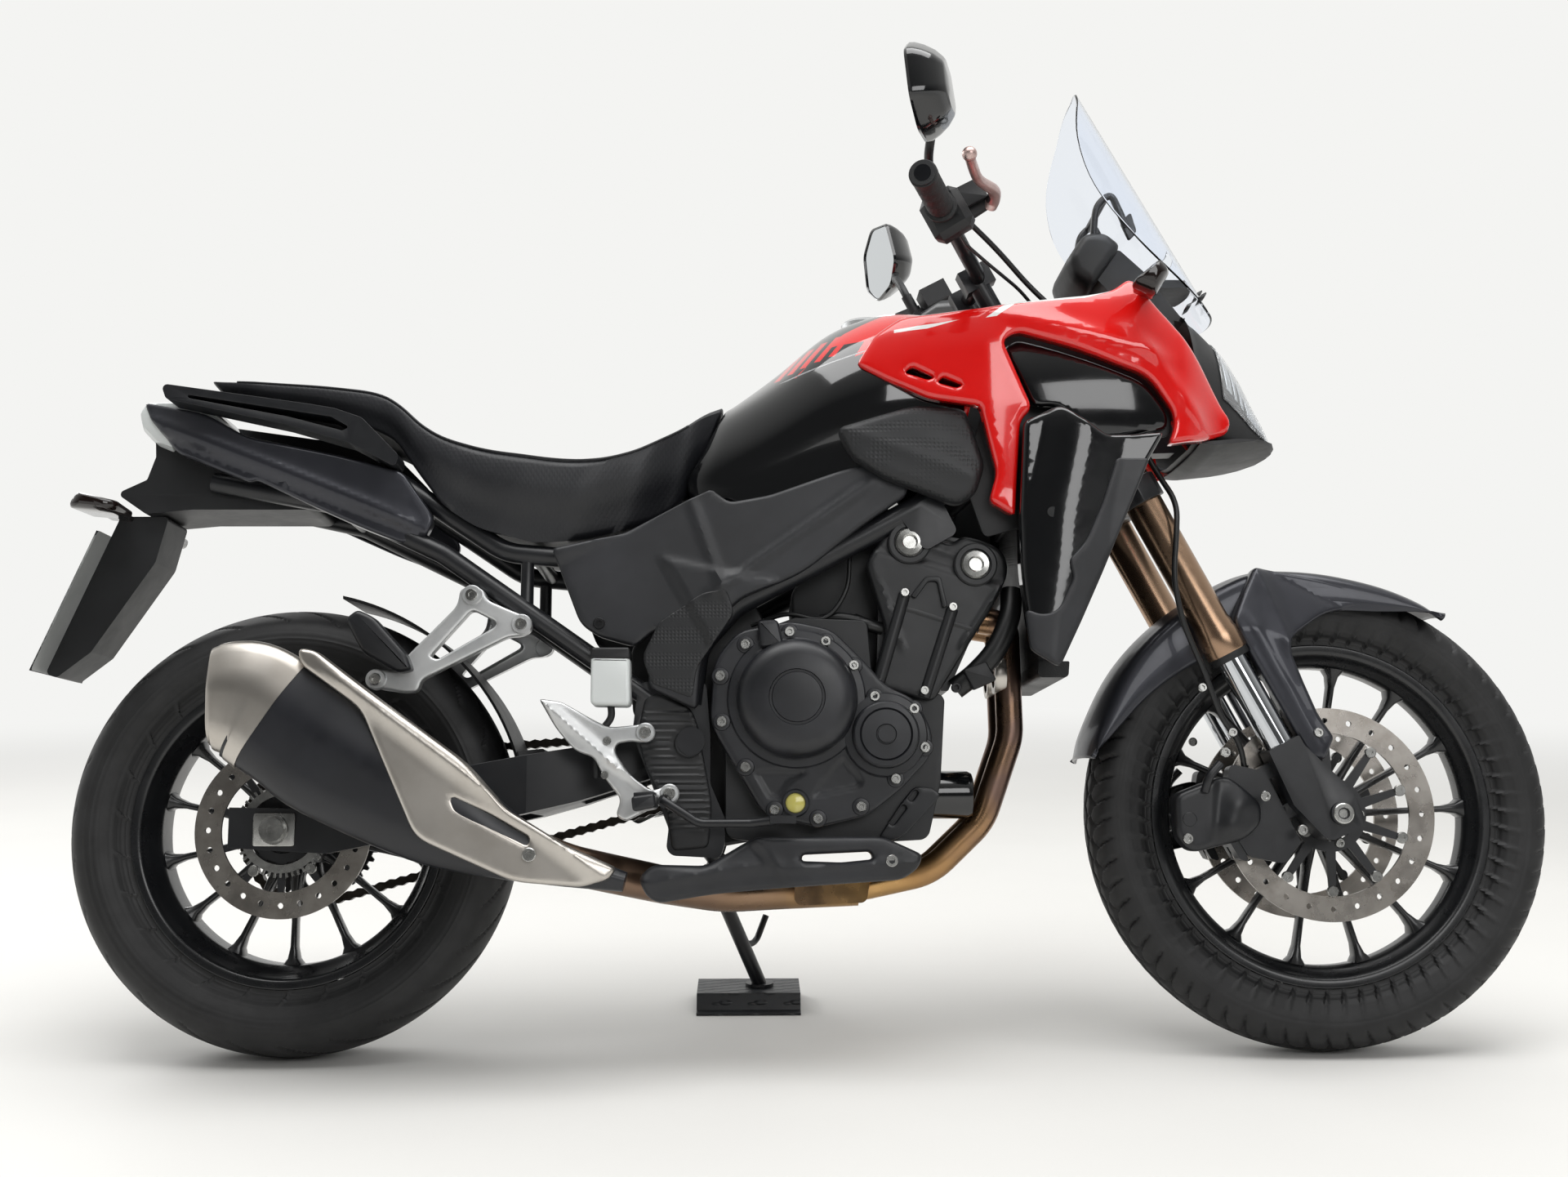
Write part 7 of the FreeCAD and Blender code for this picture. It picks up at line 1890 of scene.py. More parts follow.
@dataclass
class Engine:
    """Covers, bolts, plugs, ribs and small pipes on the engine's right side, and its left cover."""

    clutch: tuple = (701.0, 485.0)
    small: tuple = (821.0, 436.0)
    glass: tuple = (699.0, 345.0)
    cover_y: float = 150.0
    head_y: float = 127.0
    bolts: tuple = (
        (632, 559), (692, 576), (741, 563), (779, 530), (807, 488), (860, 471), (874, 419), (834, 377), (787, 340),
        (729, 324), (671, 336), (632, 393), (600, 454), (598, 516))
    cover_view: tuple = (
        (590, 540, 20), (584, 452, 20), (616, 396, 12), (624, 384, 12), (656, 330, 14), (728, 312, 16),
        (796, 328, 14), (840, 362, 12), (884, 408, 18), (886, 440, 18), (864, 484, 16), (824, 502, 14),
        (794, 536, 14), (750, 580, 16), (694, 592, 16), (622, 578, 16))
    head_view: tuple = (
        (799, 675, 8), (812, 629, 12), (826, 583, 10), (805, 504, 8), (871, 485, 8), (891, 485, 8), (914, 522, 12),
        (948, 575, 12), (973, 613, 12), (996, 659, 12), (995, 680, 8), (986, 696, 10), (962, 708, 12), (935, 714, 8),
        (918, 703, 8), (901, 709, 6), (895, 727, 10), (879, 741, 8), (861, 743, 8), (823, 717, 10))

    def build(self) -> None:
        """Makes the engine's dressings."""
        self.clutch_cover()
        self.bosses()
        self.head()
        self.lower_end()
        self.pipes()
        self.left_cover()

    def clutch_cover(self) -> None:
        """The clutch cover: a flanged plate with sunk panels, a round dome over it and the small round cover."""
        def face(x: Grid, z: Grid) -> Grid:
            """Half width: two panels are sunk between the ribs round the oil window.

            Args:
                x: Places ahead of the rear axle.
                z: Heights above the ground.

            Returns:
                The half width at each place.
            """
            low, place = np.zeros_like(x), np.stack([x, z], 1)
            for shape in (((645, 384), (664, 352), (676, 352), (694, 374), (716, 384), (700, 390), (650, 390)),
                          ((722, 352), (788, 366), (788, 378), (762, 408), (728, 366))):
                rim = np.array(shape, float)
                low += np.where(inside(place, rim), np.minimum(edge_distance(place, rim), 3.0), 0.0)
            return self.cover_y - low

        flange = moulded(rounded(self.cover_view), face, 5, 5, spacing=4.5, skirt=34)
        piece = show("clutch_flange", flange, COVER_PAINT)
        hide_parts("engine_covers")
        foot = self.cover_y - 8
        dome = boss(self.clutch, foot, (
            (94, 0), (94, 10), (92, 13), (83, 14), (81, 16), (79, 28), (75, 36), (68, 41), (58, 44), (38, 45),
            (37, 42.6), (34, 42.6), (33, 45), (18, 46), (0.1, 46)))
        dome.add_solid(boss(self.small, foot, (
            (58, 0), (57, 11), (55, 14), (46, 15), (44, 24), (42, 26), (36, 26.6), (34, 24), (33, 26.4), (14, 27),
            (13, 25), (11, 25), (11, 29), (0.1, 29)), 72))
        piece = show("clutch_dome", dome, COVER_PAINT, sharp=28)
        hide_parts("engine_covers")

    def bosses(self) -> None:
        """A boss with its silver screw at each bolt place, the filler lug and the oil window."""
        foot = self.cover_y - 20
        lugs = Solid()
        for place in self.bolts:
            lugs.add_solid(boss(place, foot - 10, ((12, 0), (12, 30), (11, 32), (9, 32.5), (0.1, 32.5)), 28))
        lugs.add_solid(boss(self.glass, foot, ((19, 0), (19, 21), (17, 23), (14, 23), (13, 20)), 40))
        lugs.add_solid(slab(rounded([(648, 590, 6), (676, 592, 8), (684, 556, 8), (652, 552, 8)]), -foot, -170, 6))
        show("cover_bosses", lugs, COVER_PAINT, sharp=30)
        heads = screws([(x, -self.cover_y - 2.5, z) for x, z in self.bolts], 7.0, 7)
        show("cover_bolts", heads, ZINC_STEEL, sharp=30)
        glass = boss(self.glass, foot, ((13, 20), (10, 21.4), (0.1, 22)), 32)
        show("oil_window", glass, OIL_GLASS)

    def head(self) -> None:
        """The cam-chain side of the head: its plate, two long posts, the plugs with bright rings and the bridge."""
        def face(x: Grid, z: Grid) -> Grid:
            """Half width: the upper field stands out, fine lines run between the plugs and down both sides.

            Args:
                x: Places ahead of the rear axle.
                z: Heights above the ground.

            Returns:
                The half width at each place.
            """
            upper = 5 * step(x, z, (996, 640), (799, 700), 10)
            lines = sum(crease(x, z, *line) for line in (
                ((862, 706), (950, 676), 5, 2.5), ((820, 640), (846, 560), 6, 3), ((990, 650), (930, 560), 6, 3)))
            return self.head_y + upper + lines

        plate = moulded(rounded(self.head_view), face, 7, 7, spacing=5, skirt=24)
        plate.add_solid(slab(rounded([(866, 624, 3), (884, 648, 4), (896, 648, 4), (903, 611, 3), (910, 613, 3),
                                      (901, 655, 5), (880, 655, 5), (859, 628, 3)])[::-1], -123, -138, 2))
        for top, foot in (((851, 630), (812, 500)), ((917, 610), (876, 488))):
            plate.add_solid(tube(np.linspace((top[0], -131, top[1]), (foot[0], -131, foot[1]), 12), 8.5, 20))
        plate.add_solid(tube(np.linspace((836, -128, 616), (944, -128, 582), 10), 5.5, 16))
        rings = Solid()
        for place in ((859, 703), (950, 672)):
            plate.add_solid(boss(place, 119, ((30, 0), (30, 16), (28, 18), (22, 18), (21, 15), (0.1, 15)), 48))
            rings.add_solid(boss(place, 119, ((20, 14), (20, 18), (18, 20.5), (11, 21.5), (9.5, 20.5), (9, 16.5),
                                              (0.1, 16.5)), 48))
        show("cam_case", plate, ENGINE_PAINT, sharp=30)
        show("cam_plug_caps", rings, ZINC_STEEL, sharp=30)
        bolts = screws([(812, -140, 508), (876, -140, 497), (851, -139, 632), (917, -139, 612)], 6.0, 5)
        show("head_bolts", bolts, ZINC_STEEL, sharp=30)

    def lower_end(self) -> None:
        """Oil filter with its dimpled end, and the slotted bracket beside it."""
        can = turned([(0.1, 0), (30, 0), (33, 4), (33, 60), (30, 66), (24, 68), (0.1, 68)], 48)
        can = can.moved(lambda p: np.stack([p[:, 1] + 880, p[:, 0] - 64, p[:, 2] + 358], 1))
        show("oil_filter_can", can, GLOSS_ABS, sharp=30)
        slots = [rounded([(832, 314, 3), (852, 340, 3), (846, 344, 3), (826, 318, 3)], 3)[::-1],
                 rounded([(858, 346, 3), (868, 360, 3), (862, 364, 3), (852, 350, 3)], 3)[::-1]]
        bracket = moulded(rounded([(813, 300, 5), (824, 292, 5), (848, 302, 8), (898, 356, 6), (888, 364, 5),
                                   (862, 368, 8), (842, 344, 8)]), same_width(128), edge=2, drop=2, spacing=5,
                          skirt=4, holes=slots)
        show("filter_bracket", bracket, FRAME_PAINT, thick=2.0)

    def pipes(self) -> None:
        """The coolant hose with its clamp plate, the breather, the throttle's cables and the wires by the filter."""
        rubber = Solid()
        for points, steps, radius, sides in (
                (((1004, -100, 640), (998, -112, 600), (978, -116, 556), (950, -112, 524), (922, -106, 502)),
                 8, 15, 20),
                (((784, -96, 600), (800, -106, 592), (822, -104, 586)), 6, 9, 16),
                (((736, -100, 600), (764, -106, 602), (790, -104, 598)), 6, 7, 14),
                (((640, -96, 592), (690, -110, 606), (740, -112, 600), (772, -110, 640), (778, -100, 700)), 8, 3.2, 10),
                (((890, -100, 470), (886, -112, 430), (872, -112, 390), (862, -106, 366)), 8, 3.0, 10)):
            rubber.add_solid(hose(points, steps, radius, sides))
        show("engine_hoses", rubber, HOSE_RUBBER)
        square = slab(rounded([(930, 526, 4), (962, 538, 4), (976, 512, 4), (944, 498, 4)]), -120, -134, 3)
        show("hose_clip", square, MATT_ABS, sharp=30)
        show("hose_clip_bolt", screws([(921, -124, 502)], 7, 8), TOOL_STEEL, sharp=30)

    def left_cover(self) -> None:
        """The generator cover on the left: a flanged plate, a stepped dome and its screws."""
        view = rounded([(724, 500, 14), (722, 336, 14), (780, 308, 16), (852, 338, 16), (878, 410, 18), (858, 494, 16),
                        (790, 534, 16)])
        cover = moulded(view, same_width(self.cover_y), 5, 5, skirt=34)
        cover.add_solid(boss((796, 424), self.cover_y - 4, (
            (66, 0), (66, 5), (63, 7), (60, 20), (55, 25), (40, 26), (38, 24), (0.1, 25))))
        piece = show("generator_cover", cover.mirrored(), COVER_PAINT, sharp=28)
        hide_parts("engine_covers")
        places = ((736, 488), (735, 346), (782, 322), (842, 348), (866, 410), (846, 484), (792, 520))
        heads = screws([(x, -self.cover_y, z) for x, z in places], 6.5, 7).mirrored()
        show("generator_bolts", heads, ZINC_STEEL, sharp=30)


# Front end

def upright(centre: Sequence[float], turned_piece: Solid) -> Solid:
    """A turned piece stood on the steering axis's direction: its turning axis becomes the height above the ground."""
    at = np.asarray(centre, float)
    return turned_piece.moved(lambda p: STANCE.steering(np.stack([p[:, 0], p[:, 2], p[:, 1]], 1) + at))


@dataclass
class FrontEnd:
    """Fork tubes with their seals and sliders, the front mudguard with its leg covers, calipers and axle ends."""

    leg_y: float = 100.0
    # (angle about the axle, crown radius, radius of the side edge)
    guard: tuple = (
        (166.5, 350, 341), (160, 351, 321), (147, 352, 299), (136, 353, 284), (124, 354, 272), (112, 357, 268),
        (104, 359, 272), (96, 353, 284), (86, 346, 287), (74, 342, 296), (64, 341, 316), (57.5, 338, 331))
    cover_view: tuple = (
        (1352, 678, 10), (1333, 640, 8), (1314, 600, 8), (1320, 578, 10), (1412, 404, 6), (1431, 402, 8),
        (1446, 434, 6), (1426, 464, 10), (1384, 568, 24), (1450, 612, 24), (1528, 624, 6), (1530, 636, 6),
        (1456, 658, 20))
    caliper_view: tuple = (
        (1222, 299, 10), (1241, 276, 14), (1318, 294, 16), (1341, 316, 10), (1342, 343, 10), (1323, 361, 12),
        (1296, 383, 14), (1262, 372, 12), (1221, 356, 12))

    def build(self) -> None:
        """Makes the front end's pieces, which all steer."""
        self.legs()
        self.mudguard()
        self.calipers()

    def legs(self) -> None:
        """Bronze tubes with a stepped lower end, dark seals and caps, and bright sliders."""
        profiles = (
            ("fork_tubes", BRONZE_ANODISED, "fork_bronze",
             ((23, 604), (28.5, 604), (29.5, 606), (29.5, 634), (28, 639), (28, 646), (26.2, 652), (26.2, 1106),
              (24, 1110), (0.1, 1110))),
            ("fork_sliders", HARD_CHROME, "fork_bronze", ((0.1, 440), (20.5, 440), (20.5, 606), (0.1, 606))),
            ("fork_seals", MATT_ABS, "fork_black",
             ((20, 594), (27, 594), (28, 596), (28, 604), (20, 605))),
            ("fork_caps", DARK_ANODISED, "fork_black",
             ((24, 1107), (24, 1114), (21, 1117), (11, 1117), (10, 1113), (0.1, 1113))))
        for name, finish, slot, profile in profiles:
            pair = Solid()
            for y in (-self.leg_y, self.leg_y):
                pair.add_solid(upright((LEG_AHEAD, y, 0.0), turned(profile, 64)))
            piece = show(name, pair, finish, Body.STEERING, sharp=35)
            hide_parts("fork_legs")

    def mudguard(self) -> None:
        """The shell: a crowned section carried over the tyre; the covers stand beside the sliders.

        A station's points are axle + r (cos a, sin a), with r falling from the crown to the side edge.
        """
        rows = []
        for angle, crown, edge in self.guard:
            half = [(edge, -75), (edge + 0.5 * (crown - 14 - edge), -77.5), (crown - 13, -72), (crown - 5, -48),
                    (crown - 1, -16)]
            section = half + [(radius, -y) for radius, y in reversed(half)]
            a = math.radians(angle)
            rows.append([(STANCE.wheelbase + r * math.cos(a), y, STANCE.front_radius + r * math.sin(a))
                         for r, y in section])
        shell = skin(woven(np.array(rows), 6, 5))
        piece = show("mudguard_shell", shell, GRAPHITE, Body.STEERING, sharp=50, thick=3.0)
        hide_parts("front_fender")

        def cover_height(x: Grid, z: Grid) -> Grid:
            """Half width of the leg cover: it leans in to the shell above and is folded where it meets it.

            Args:
                x: Places ahead of the rear axle.
                z: Heights above the ground.

            Returns:
                The half width at each place.
            """
            lean = np.clip((682 - z - 0.5 * np.maximum(x - 1350, 0)) / 96, 0, 1) ** 0.8
            folds = crease(x, z, (1352, 678), (1390, 560), 26, 5) + crease(x, z, (1340, 590), (1424, 420), 14, 3)
            return 77 + 34 * lean + folds

        cover = moulded(rounded(self.cover_view), cover_height, 6, 6, spacing=6, skirt=16)
        piece = show("slider_covers", both(cover), GRAPHITE, Body.STEERING, thick=2.5)
        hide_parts("front_fender")
        heads = screws([(1422, -112, 440), (1304, -108, 441), (1270, -86, 505)], 6.5, 5)
        show("mudguard_screws", both(heads), ZINC_STEEL, Body.STEERING, sharp=30)

    def calipers(self) -> None:
        """Outer faces of the calipers with their piston swellings, pins and nipples, and the axle's ends."""
        def swollen(x: Grid, z: Grid) -> Grid:
            """Half width: two round swellings over the pistons."""
            bumps = sum(9 * np.exp(-((x - cx) ** 2 + (z - cz) ** 2) / 460) for cx, cz in ((1308, 343), (1298, 312)))
            return 106 + bumps + 5 * step(x, z, (1268, 270), (1282, 390), 10)

        face = moulded(rounded(self.caliper_view), swollen, 8, 8, spacing=4, skirt=22)
        for x, z, radius, out in ((1240, 322, 11, 12), (1252, 346, 8, 11), (1236, 296, 8, 10)):
            face.add_solid(boss((x, z), 100, ((radius, 0), (radius, out - 2), (radius - 2, out), (0.1, out)), 24))
        face.add_solid(hose([(1262, -112, 360), (1268, -118, 380), (1284, -116, 398)], 5, 6, 14))
        show("caliper_faces", both(face), CAST_BLACK, Body.STEERING, sharp=35)
        pins = screws([(1291, -116, 413), (1341, -125, 353), (1390, -125, 307), (1236, -112, 296)], 7, 5)
        show("caliper_pins", both(pins), ZINC_STEEL, Body.STEERING, sharp=30)
        end = boss((STANCE.wheelbase, STANCE.front_radius), 131,
                   ((14, 0), (14, 3.5), (12.5, 4.5), (8, 4.5), (7.6, 1), (0.1, 1)), 40)
        show("front_axle_ends", both(end), ZINC_STEEL, Body.STEERING, sharp=30)


# Cockpit

@dataclass
class Cockpit:
    """Grips, levers, mirrors and the screen's stay."""

    half_width: float = 400.0
    clamps_above_axle: float = 909.0
    rise: float = 73.0
    mirror_at: tuple = (191, 14, 117, 148)
    glass: tuple = (
        (-70, -20, 10), (-38, -56, 14), (30, -62, 14), (72, -30, 12), (70, 34, 12), (20, 66, 16), (-50, 50, 12))

    @property
    def bar_end(self) -> Grid:
        """The left bar's end in the steering frame: (ahead, y, along)."""
        return np.array([-94.0, self.half_width, AXLE_ALONG + self.clamps_above_axle + self.rise])

    def bar(self, distance: float, ahead: float = 0.0, y: float = 0.0, along: float = 0.0) -> Grid:
        """A place beside the bar's outer straight, measured inwards from the bar's end.

        Args:
            distance: Along the bar from its end.
            ahead: Offset ahead of the steering axis.
            y: Offset to the left.
            along: Offset up the steering axis.

        Returns:
            The place in the steering frame.
        """
        inner = np.array([-57.04, self.half_width * 0.66, AXLE_ALONG + self.clamps_above_axle + self.rise * 0.72])
        axis = (self.bar_end - inner) / np.linalg.norm(self.bar_end - inner)
        return self.bar_end - axis * distance + np.array([ahead, y, along])

    def build(self) -> None:
        """Makes both sides' controls and mirrors."""
        self.grips()
        self.levers()
        self.mirrors()
        self.stay()

    def steered(self, path: Sequence[Grid], radius: float | Grid, sides: int = 20) -> Solid:
        """A tube through places of the steering frame."""
        return tube(STANCE.steering(np.array(path)), radius, sides)

    def grips(self) -> None:
        """Ribbed rubber grips with a flange inside and a plug at the bar's end."""
        share = np.linspace(0, 1, 90)
        line = [self.bar(119 - 124 * s) for s in share]
        ribs = np.where((share > 0.10) & (share < 0.86), 0.9 * np.abs(np.sin(share * 74)), 0.0)
        radius = 17.2 + ribs + 4.5 * (share < 0.035) + 1.6 * (share > 0.9) - 4.0 * (share > 0.985)
        grip = self.steered(line, radius, 28)
        show("grips", both(grip), SOFT_RUBBER, Body.STEERING, sharp=35)
        plug = self.steered([self.bar(-4), self.bar(-6.5)], 11, 24)
        show("bar_plugs", both(plug), DARK_ANODISED, Body.STEERING, sharp=30)

    def levers(self) -> None:
        """Cast levers that end in a ball, their rosy tint a painted reflection of the red bodywork."""
        line = smooth_line([self.bar(188, 60, 2, 0), self.bar(178, 68, 4, 1), self.bar(145, 74, 0, 0),
                            self.bar(95, 62, 0, 2), self.bar(40, 64, 0, 7), self.bar(28, 66, 0, 8)], 8)
        share = np.linspace(0, 1, len(line))
        radius = 11.0 - 4.0 * np.clip(share / 0.6, 0, 1)
        lever = self.steered(line, radius, 20)
        ball_at = STANCE.steering(self.bar(26, 66, 0, 8)[None])[0]
        angles = np.linspace(-math.pi / 2, math.pi / 2, 13)
        lever.add_solid(turned([(9.8 * math.cos(a) + 0.01, -9.8 * math.sin(a)) for a in angles], 28, ball_at))
        # The levers' rosy colour is a painted reflection of the red bodywork
        show("levers", both(lever), LEVER_ALUMINIUM_PAINTED_REFLECTION, Body.STEERING, sharp=50)

    def mirror_place(self, points: Grid) -> Grid:
        """Points of the mirror's own frame (depth, across, up), turned by 16 and 21.5 degrees, to upright places.

        Args:
            points: (depth, across, up) places.

        Returns:
            The upright places.
        """
        a, b = math.radians(16), math.radians(21.5)
        x, y, z = points.T
        x, y = x * math.cos(a) - y * math.sin(a), x * math.sin(a) + y * math.cos(a)
        x, z = x * math.cos(b) + z * math.sin(b), z * math.cos(b) - x * math.sin(b)
        return STANCE.steering(np.stack([x, y, z], 1) + self.bar(*self.mirror_at))

    def mirrors(self) -> None:
        """Domed shells with a rim, the silvered glass inside it, and bent stems with their lock nuts."""
        view = rounded(self.glass, 7)
        loops = []
        for share, depth in ((0.93, 3.0), (0.94, -1.5), (0.97, -2.0), (1.0, 2.0), (0.98, 9.0), (0.9, 20.0),
                             (0.76, 33.0), (0.6, 42.0), (0.54, 44.0), (0.15, 45.0)):
            loops.append(self.mirror_place(np.insert(view * share, 0, depth, axis=1)))
        shell = stack(loops)
        piece = show("mirror_shells", both(shell), GLOSS_ABS, Body.STEERING, sharp=24)
        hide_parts("mirrors")
        glass = stack([self.mirror_place(np.insert(view * 0.925, 0, depth, axis=1)) for depth in (2.0, 0.4)])
        show("mirror_glass", both(glass), MIRROR_GLASS, Body.STEERING, sharp=30)
        centre = self.bar(*self.mirror_at)
        line = smooth_line([self.bar(191, -2, 0, 14), self.bar(191, -2, 0, 34), self.bar(191, 0, 6, 58),
                            self.bar(191, 6, 34, 84), self.bar(191, 12, 66, 98), centre + np.array([24, -26, -14])], 8)
        stem = self.steered(line, 6.3, 18)
        for low, high, radius in ((12, 22, 11.0), (22, 46, 8.5)):
            stem.add_solid(self.steered([self.bar(191, -2, 0, low), self.bar(191, -2, 0, high)], radius, 12))
        piece = show("mirror_stems", both(stem), MATT_ABS, Body.STEERING, sharp=35)
        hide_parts("mirrors")

    def stay(self) -> None:
        """The hoop behind the screen: two legs and a cross tube, with a plate at each screw."""
        leg = hose([(1141, -66, 1168), (1146, -66, 1208), (1158, -66, 1226), (1170, -66, 1229), (1180, -66, 1208),
                    (1190, -64, 1184)], 6, 5.2, 16)
        hoop = both(leg)
        hoop.add_solid(tube(np.linspace((1160, -66, 1227), (1160, 66, 1227), 6), 5.2, 16))
        ear = slab(rounded([(1182, 1192, 5), (1198, 1208, 6), (1206, 1176, 6), (1194, 1164, 5)]), -58, -64, 1.5)
        hoop.add_solid(both(ear))
        show("screen_stay", hoop, FRAME_PAINT, sharp=40)


# Footrests, brackets and small trim

@dataclass
class Footwork:
    """Peg brackets with their bolts and pegs, the brake reservoir, the pivot covers and the dimpled inserts."""

    rear_bracket: tuple = (
        (242, 636, 6), (239, 614, 10), (170, 543, 14), (164, 524, 6), (134, 527, 8), (121, 521, 8), (124, 505, 8),
        (138, 500, 6), (172, 495, 6), (188, 497, 6), (193, 513, 6), (215, 524, 10), (310, 572, 10), (326, 572, 8),
        (341, 580, 8), (339, 598, 8), (320, 604, 14), (279, 622, 8), (275, 636, 8), (258, 643, 8))
    window: tuple = ((259, 609, 7), (203, 545, 5), (213, 540, 5), (292, 586, 7), (292, 592, 5))
    front_bracket: tuple = (
        (353, 486, 5), (376, 446, 14), (402, 416, 10), (428, 407, 8), (441, 381, 10), (465, 351, 8), (458, 329, 6),
        (470, 321, 6), (505, 338, 8), (519, 344, 6), (538, 343, 8), (544, 358, 8), (530, 371, 8), (506, 361, 8),
        (477, 382, 14), (455, 414, 10), (458, 426, 6), (478, 429, 6), (497, 426, 8), (511, 438, 8), (505, 454, 8),
        (482, 450, 8), (449, 447, 10), (431, 455, 8), (383, 482, 8))
    pivot_view: tuple = (
        (495, 488, 8), (485, 439, 10), (496, 395, 12), (526, 336, 14), (533, 282, 8), (582, 286, 8), (587, 344, 14),
        (567, 452, 10), (558, 474, 10), (512, 495, 8))

    def build(self) -> None:
        """Makes the pieces of both sides; the reservoir is on the right side only."""
        self.brackets()
        self.pegs()
        self.reservoir()
        self.pivot()
        self.inserts()
        self.liners()

    def brackets(self) -> None:
        """Both pairs of silver castings, ridged along their edges, and their bolts."""
        def webbed(x: Grid, z: Grid) -> Grid:
            """Half width of the front bracket: a fold runs down the heel guard."""
            return 150 + crease(x, z, (356, 484), (452, 400), 16, 4) + crease(x, z, (452, 400), (520, 352), 12, 3)

        rear = moulded(rounded(self.rear_bracket), same_width(143), 4, 3, spacing=4, skirt=16,
                       holes=[rounded(self.window)])
        front = moulded(rounded(self.front_bracket), webbed, 4, 3, spacing=4, skirt=13)
        for x, z in ((259, 628), (327, 588), (132, 513)):
            rear.add_solid(boss((x, z), 136, ((14, 0), (14, 9.5), (12.5, 11), (0.1, 11)), 32))
        for x, z in ((497, 440), (530, 358)):
            front.add_solid(boss((x, z), 140, ((13, 0), (13, 13), (11.5, 14.5), (0.1, 14.5)), 32))
        castings = both(rear).add_solid(both(front))
        piece = show("peg_bracket_castings", castings, CAST_ALUMINIUM, sharp=30)
        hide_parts("peg_brackets")
        heads = screws([(259, -147, 628), (327, -147, 588), (132, -147, 513), (497, -154, 440), (530, -154, 358)], 8, 6)
        heads.add_solid(screws([(446, -152, 429), (443, -152, 383)], 5.5, 4))
        show("bracket_bolts", both(heads), ZINC_STEEL, sharp=30)

    def pegs(self) -> None:
        """The folded passenger pegs, and the rider's pegs with a serrated top."""
        peg = slab(rounded([(92, 594, 8), (108, 606, 6), (130, 596, 8), (176, 545, 8), (184, 524, 6), (166, 520, 6),
                            (118, 546, 8), (104, 570, 8)]), -140, -167, 6)
        rest = slab(rounded([(486, 332, 6), (484, 352, 5), (514, 356, 5), (516, 338, 6)]), -150, -236, 4)
        for k in range(9):
            rest.add_solid(slab(rounded([(487, 350, 1), (487, 357, 1), (513, 359, 1), (513, 353, 1)]),
                                -160.0 - k * 8.5, -164.0 - k * 8.5, 0.8))
        peg.add_solid(rest)
        piece = show("pegs", both(peg), FRAME_PAINT, sharp=35)
        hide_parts("peg_brackets")

    def reservoir(self) -> None:
        """The milky brake reservoir, its black cap and the hose that leaves its foot."""
        pot = slab(rounded([(424, 476, 7), (424, 541, 4), (476, 540, 4), (477, 475, 7)]), -126.5, -169.5, 5)
        show("brake_reservoir", pot, MILKY_PLASTIC, sharp=35)
        cap = slab(rounded([(423, 538, 3), (424, 553.5, 4), (476, 553.5, 4), (477, 538, 3)]), -126.5, -170, 3)
        cap.add_solid(hose([(450, -148, 478), (450, -148, 460), (436, -140, 440), (430, -134, 410), (430, -132, 380)],
                           6, 5, 14))
        show("reservoir_cap", cap, MATT_ABS, sharp=35)

    def pivot(self) -> None:
        """Ribbed black covers over the pivot plates, with a round cap on the pivot."""
        def ribbed(x: Grid, z: Grid) -> Grid:
            """Half width: fine level ribs beside the cap's boss.

            Args:
                x: Places ahead of the rear axle.
                z: Heights above the ground.

            Returns:
                The half width at each place.
            """
            ribs = 0.9 * np.clip(np.cos(z * 2 * math.pi / 8.5) * 2, -1, 1)
            near = np.hypot(x - 555, z - 426)
            for inwards in ((near - 22) / 4, (480 - z) / 10, (z - 300) / 10):
                ribs = ribs * np.clip(inwards, 0, 1)
            return 134 + ribs

        cover = moulded(rounded(self.pivot_view), ribbed, 6, 3.5, spacing=3.6, skirt=14)
        cover.add_solid(boss((555, 426), 128, ((20, 0), (20, 8), (18, 10), (15, 10), (14, 7), (11, 7), (10, 10.5),
                                              (0.1, 11)), 48))
        show("pivot_covers", both(cover), MATT_ABS, sharp=35)

    def inserts(self) -> None:
        """Dimpled panels let into the side covers, their bolts, and matt guards along the shrouds' front edges."""
        shape = Bodywork()
        guard = rounded([(1134, 806, 6), (1180, 806, 6), (1152, 742, 10), (1112, 652, 10), (1080, 584, 8),
                         (1048, 520, 8), (1010, 544, 8), (1004, 600, 10), (1026, 590, 10), (1048, 596, 12),
                         (1070, 640, 8), (1064, 664, 6), (1088, 690, 10), (1112, 742, 10)])
        guards = moulded(guard, lambda x, z: shape.shroud_height(x, z) + 4.0, 4, 4, spacing=5, skirt=6)
        show("shroud_guards", both(guards), CHARCOAL_ABS, thick=2.0)
        view = rounded([(514, 590, 8), (492, 543, 10), (505, 506, 8), (560, 486, 6), (566, 528, 10), (617, 602, 10),
                        (607, 634, 8), (574, 630, 8)])
        panel = moulded(view, lambda x, z: shape.cover_height(x, z) + 1.2, 2.5, 2.0, spacing=5, skirt=3)
        show("cover_inserts", both(panel), DIMPLED_ABS)
        y = float(shape.cover_height(np.array([433.0]), np.array([588.0]))[0])
        show("cover_bolts_side", both(screws([(433, -y, 588)], 8, 4)), TOOL_STEEL, sharp=30)

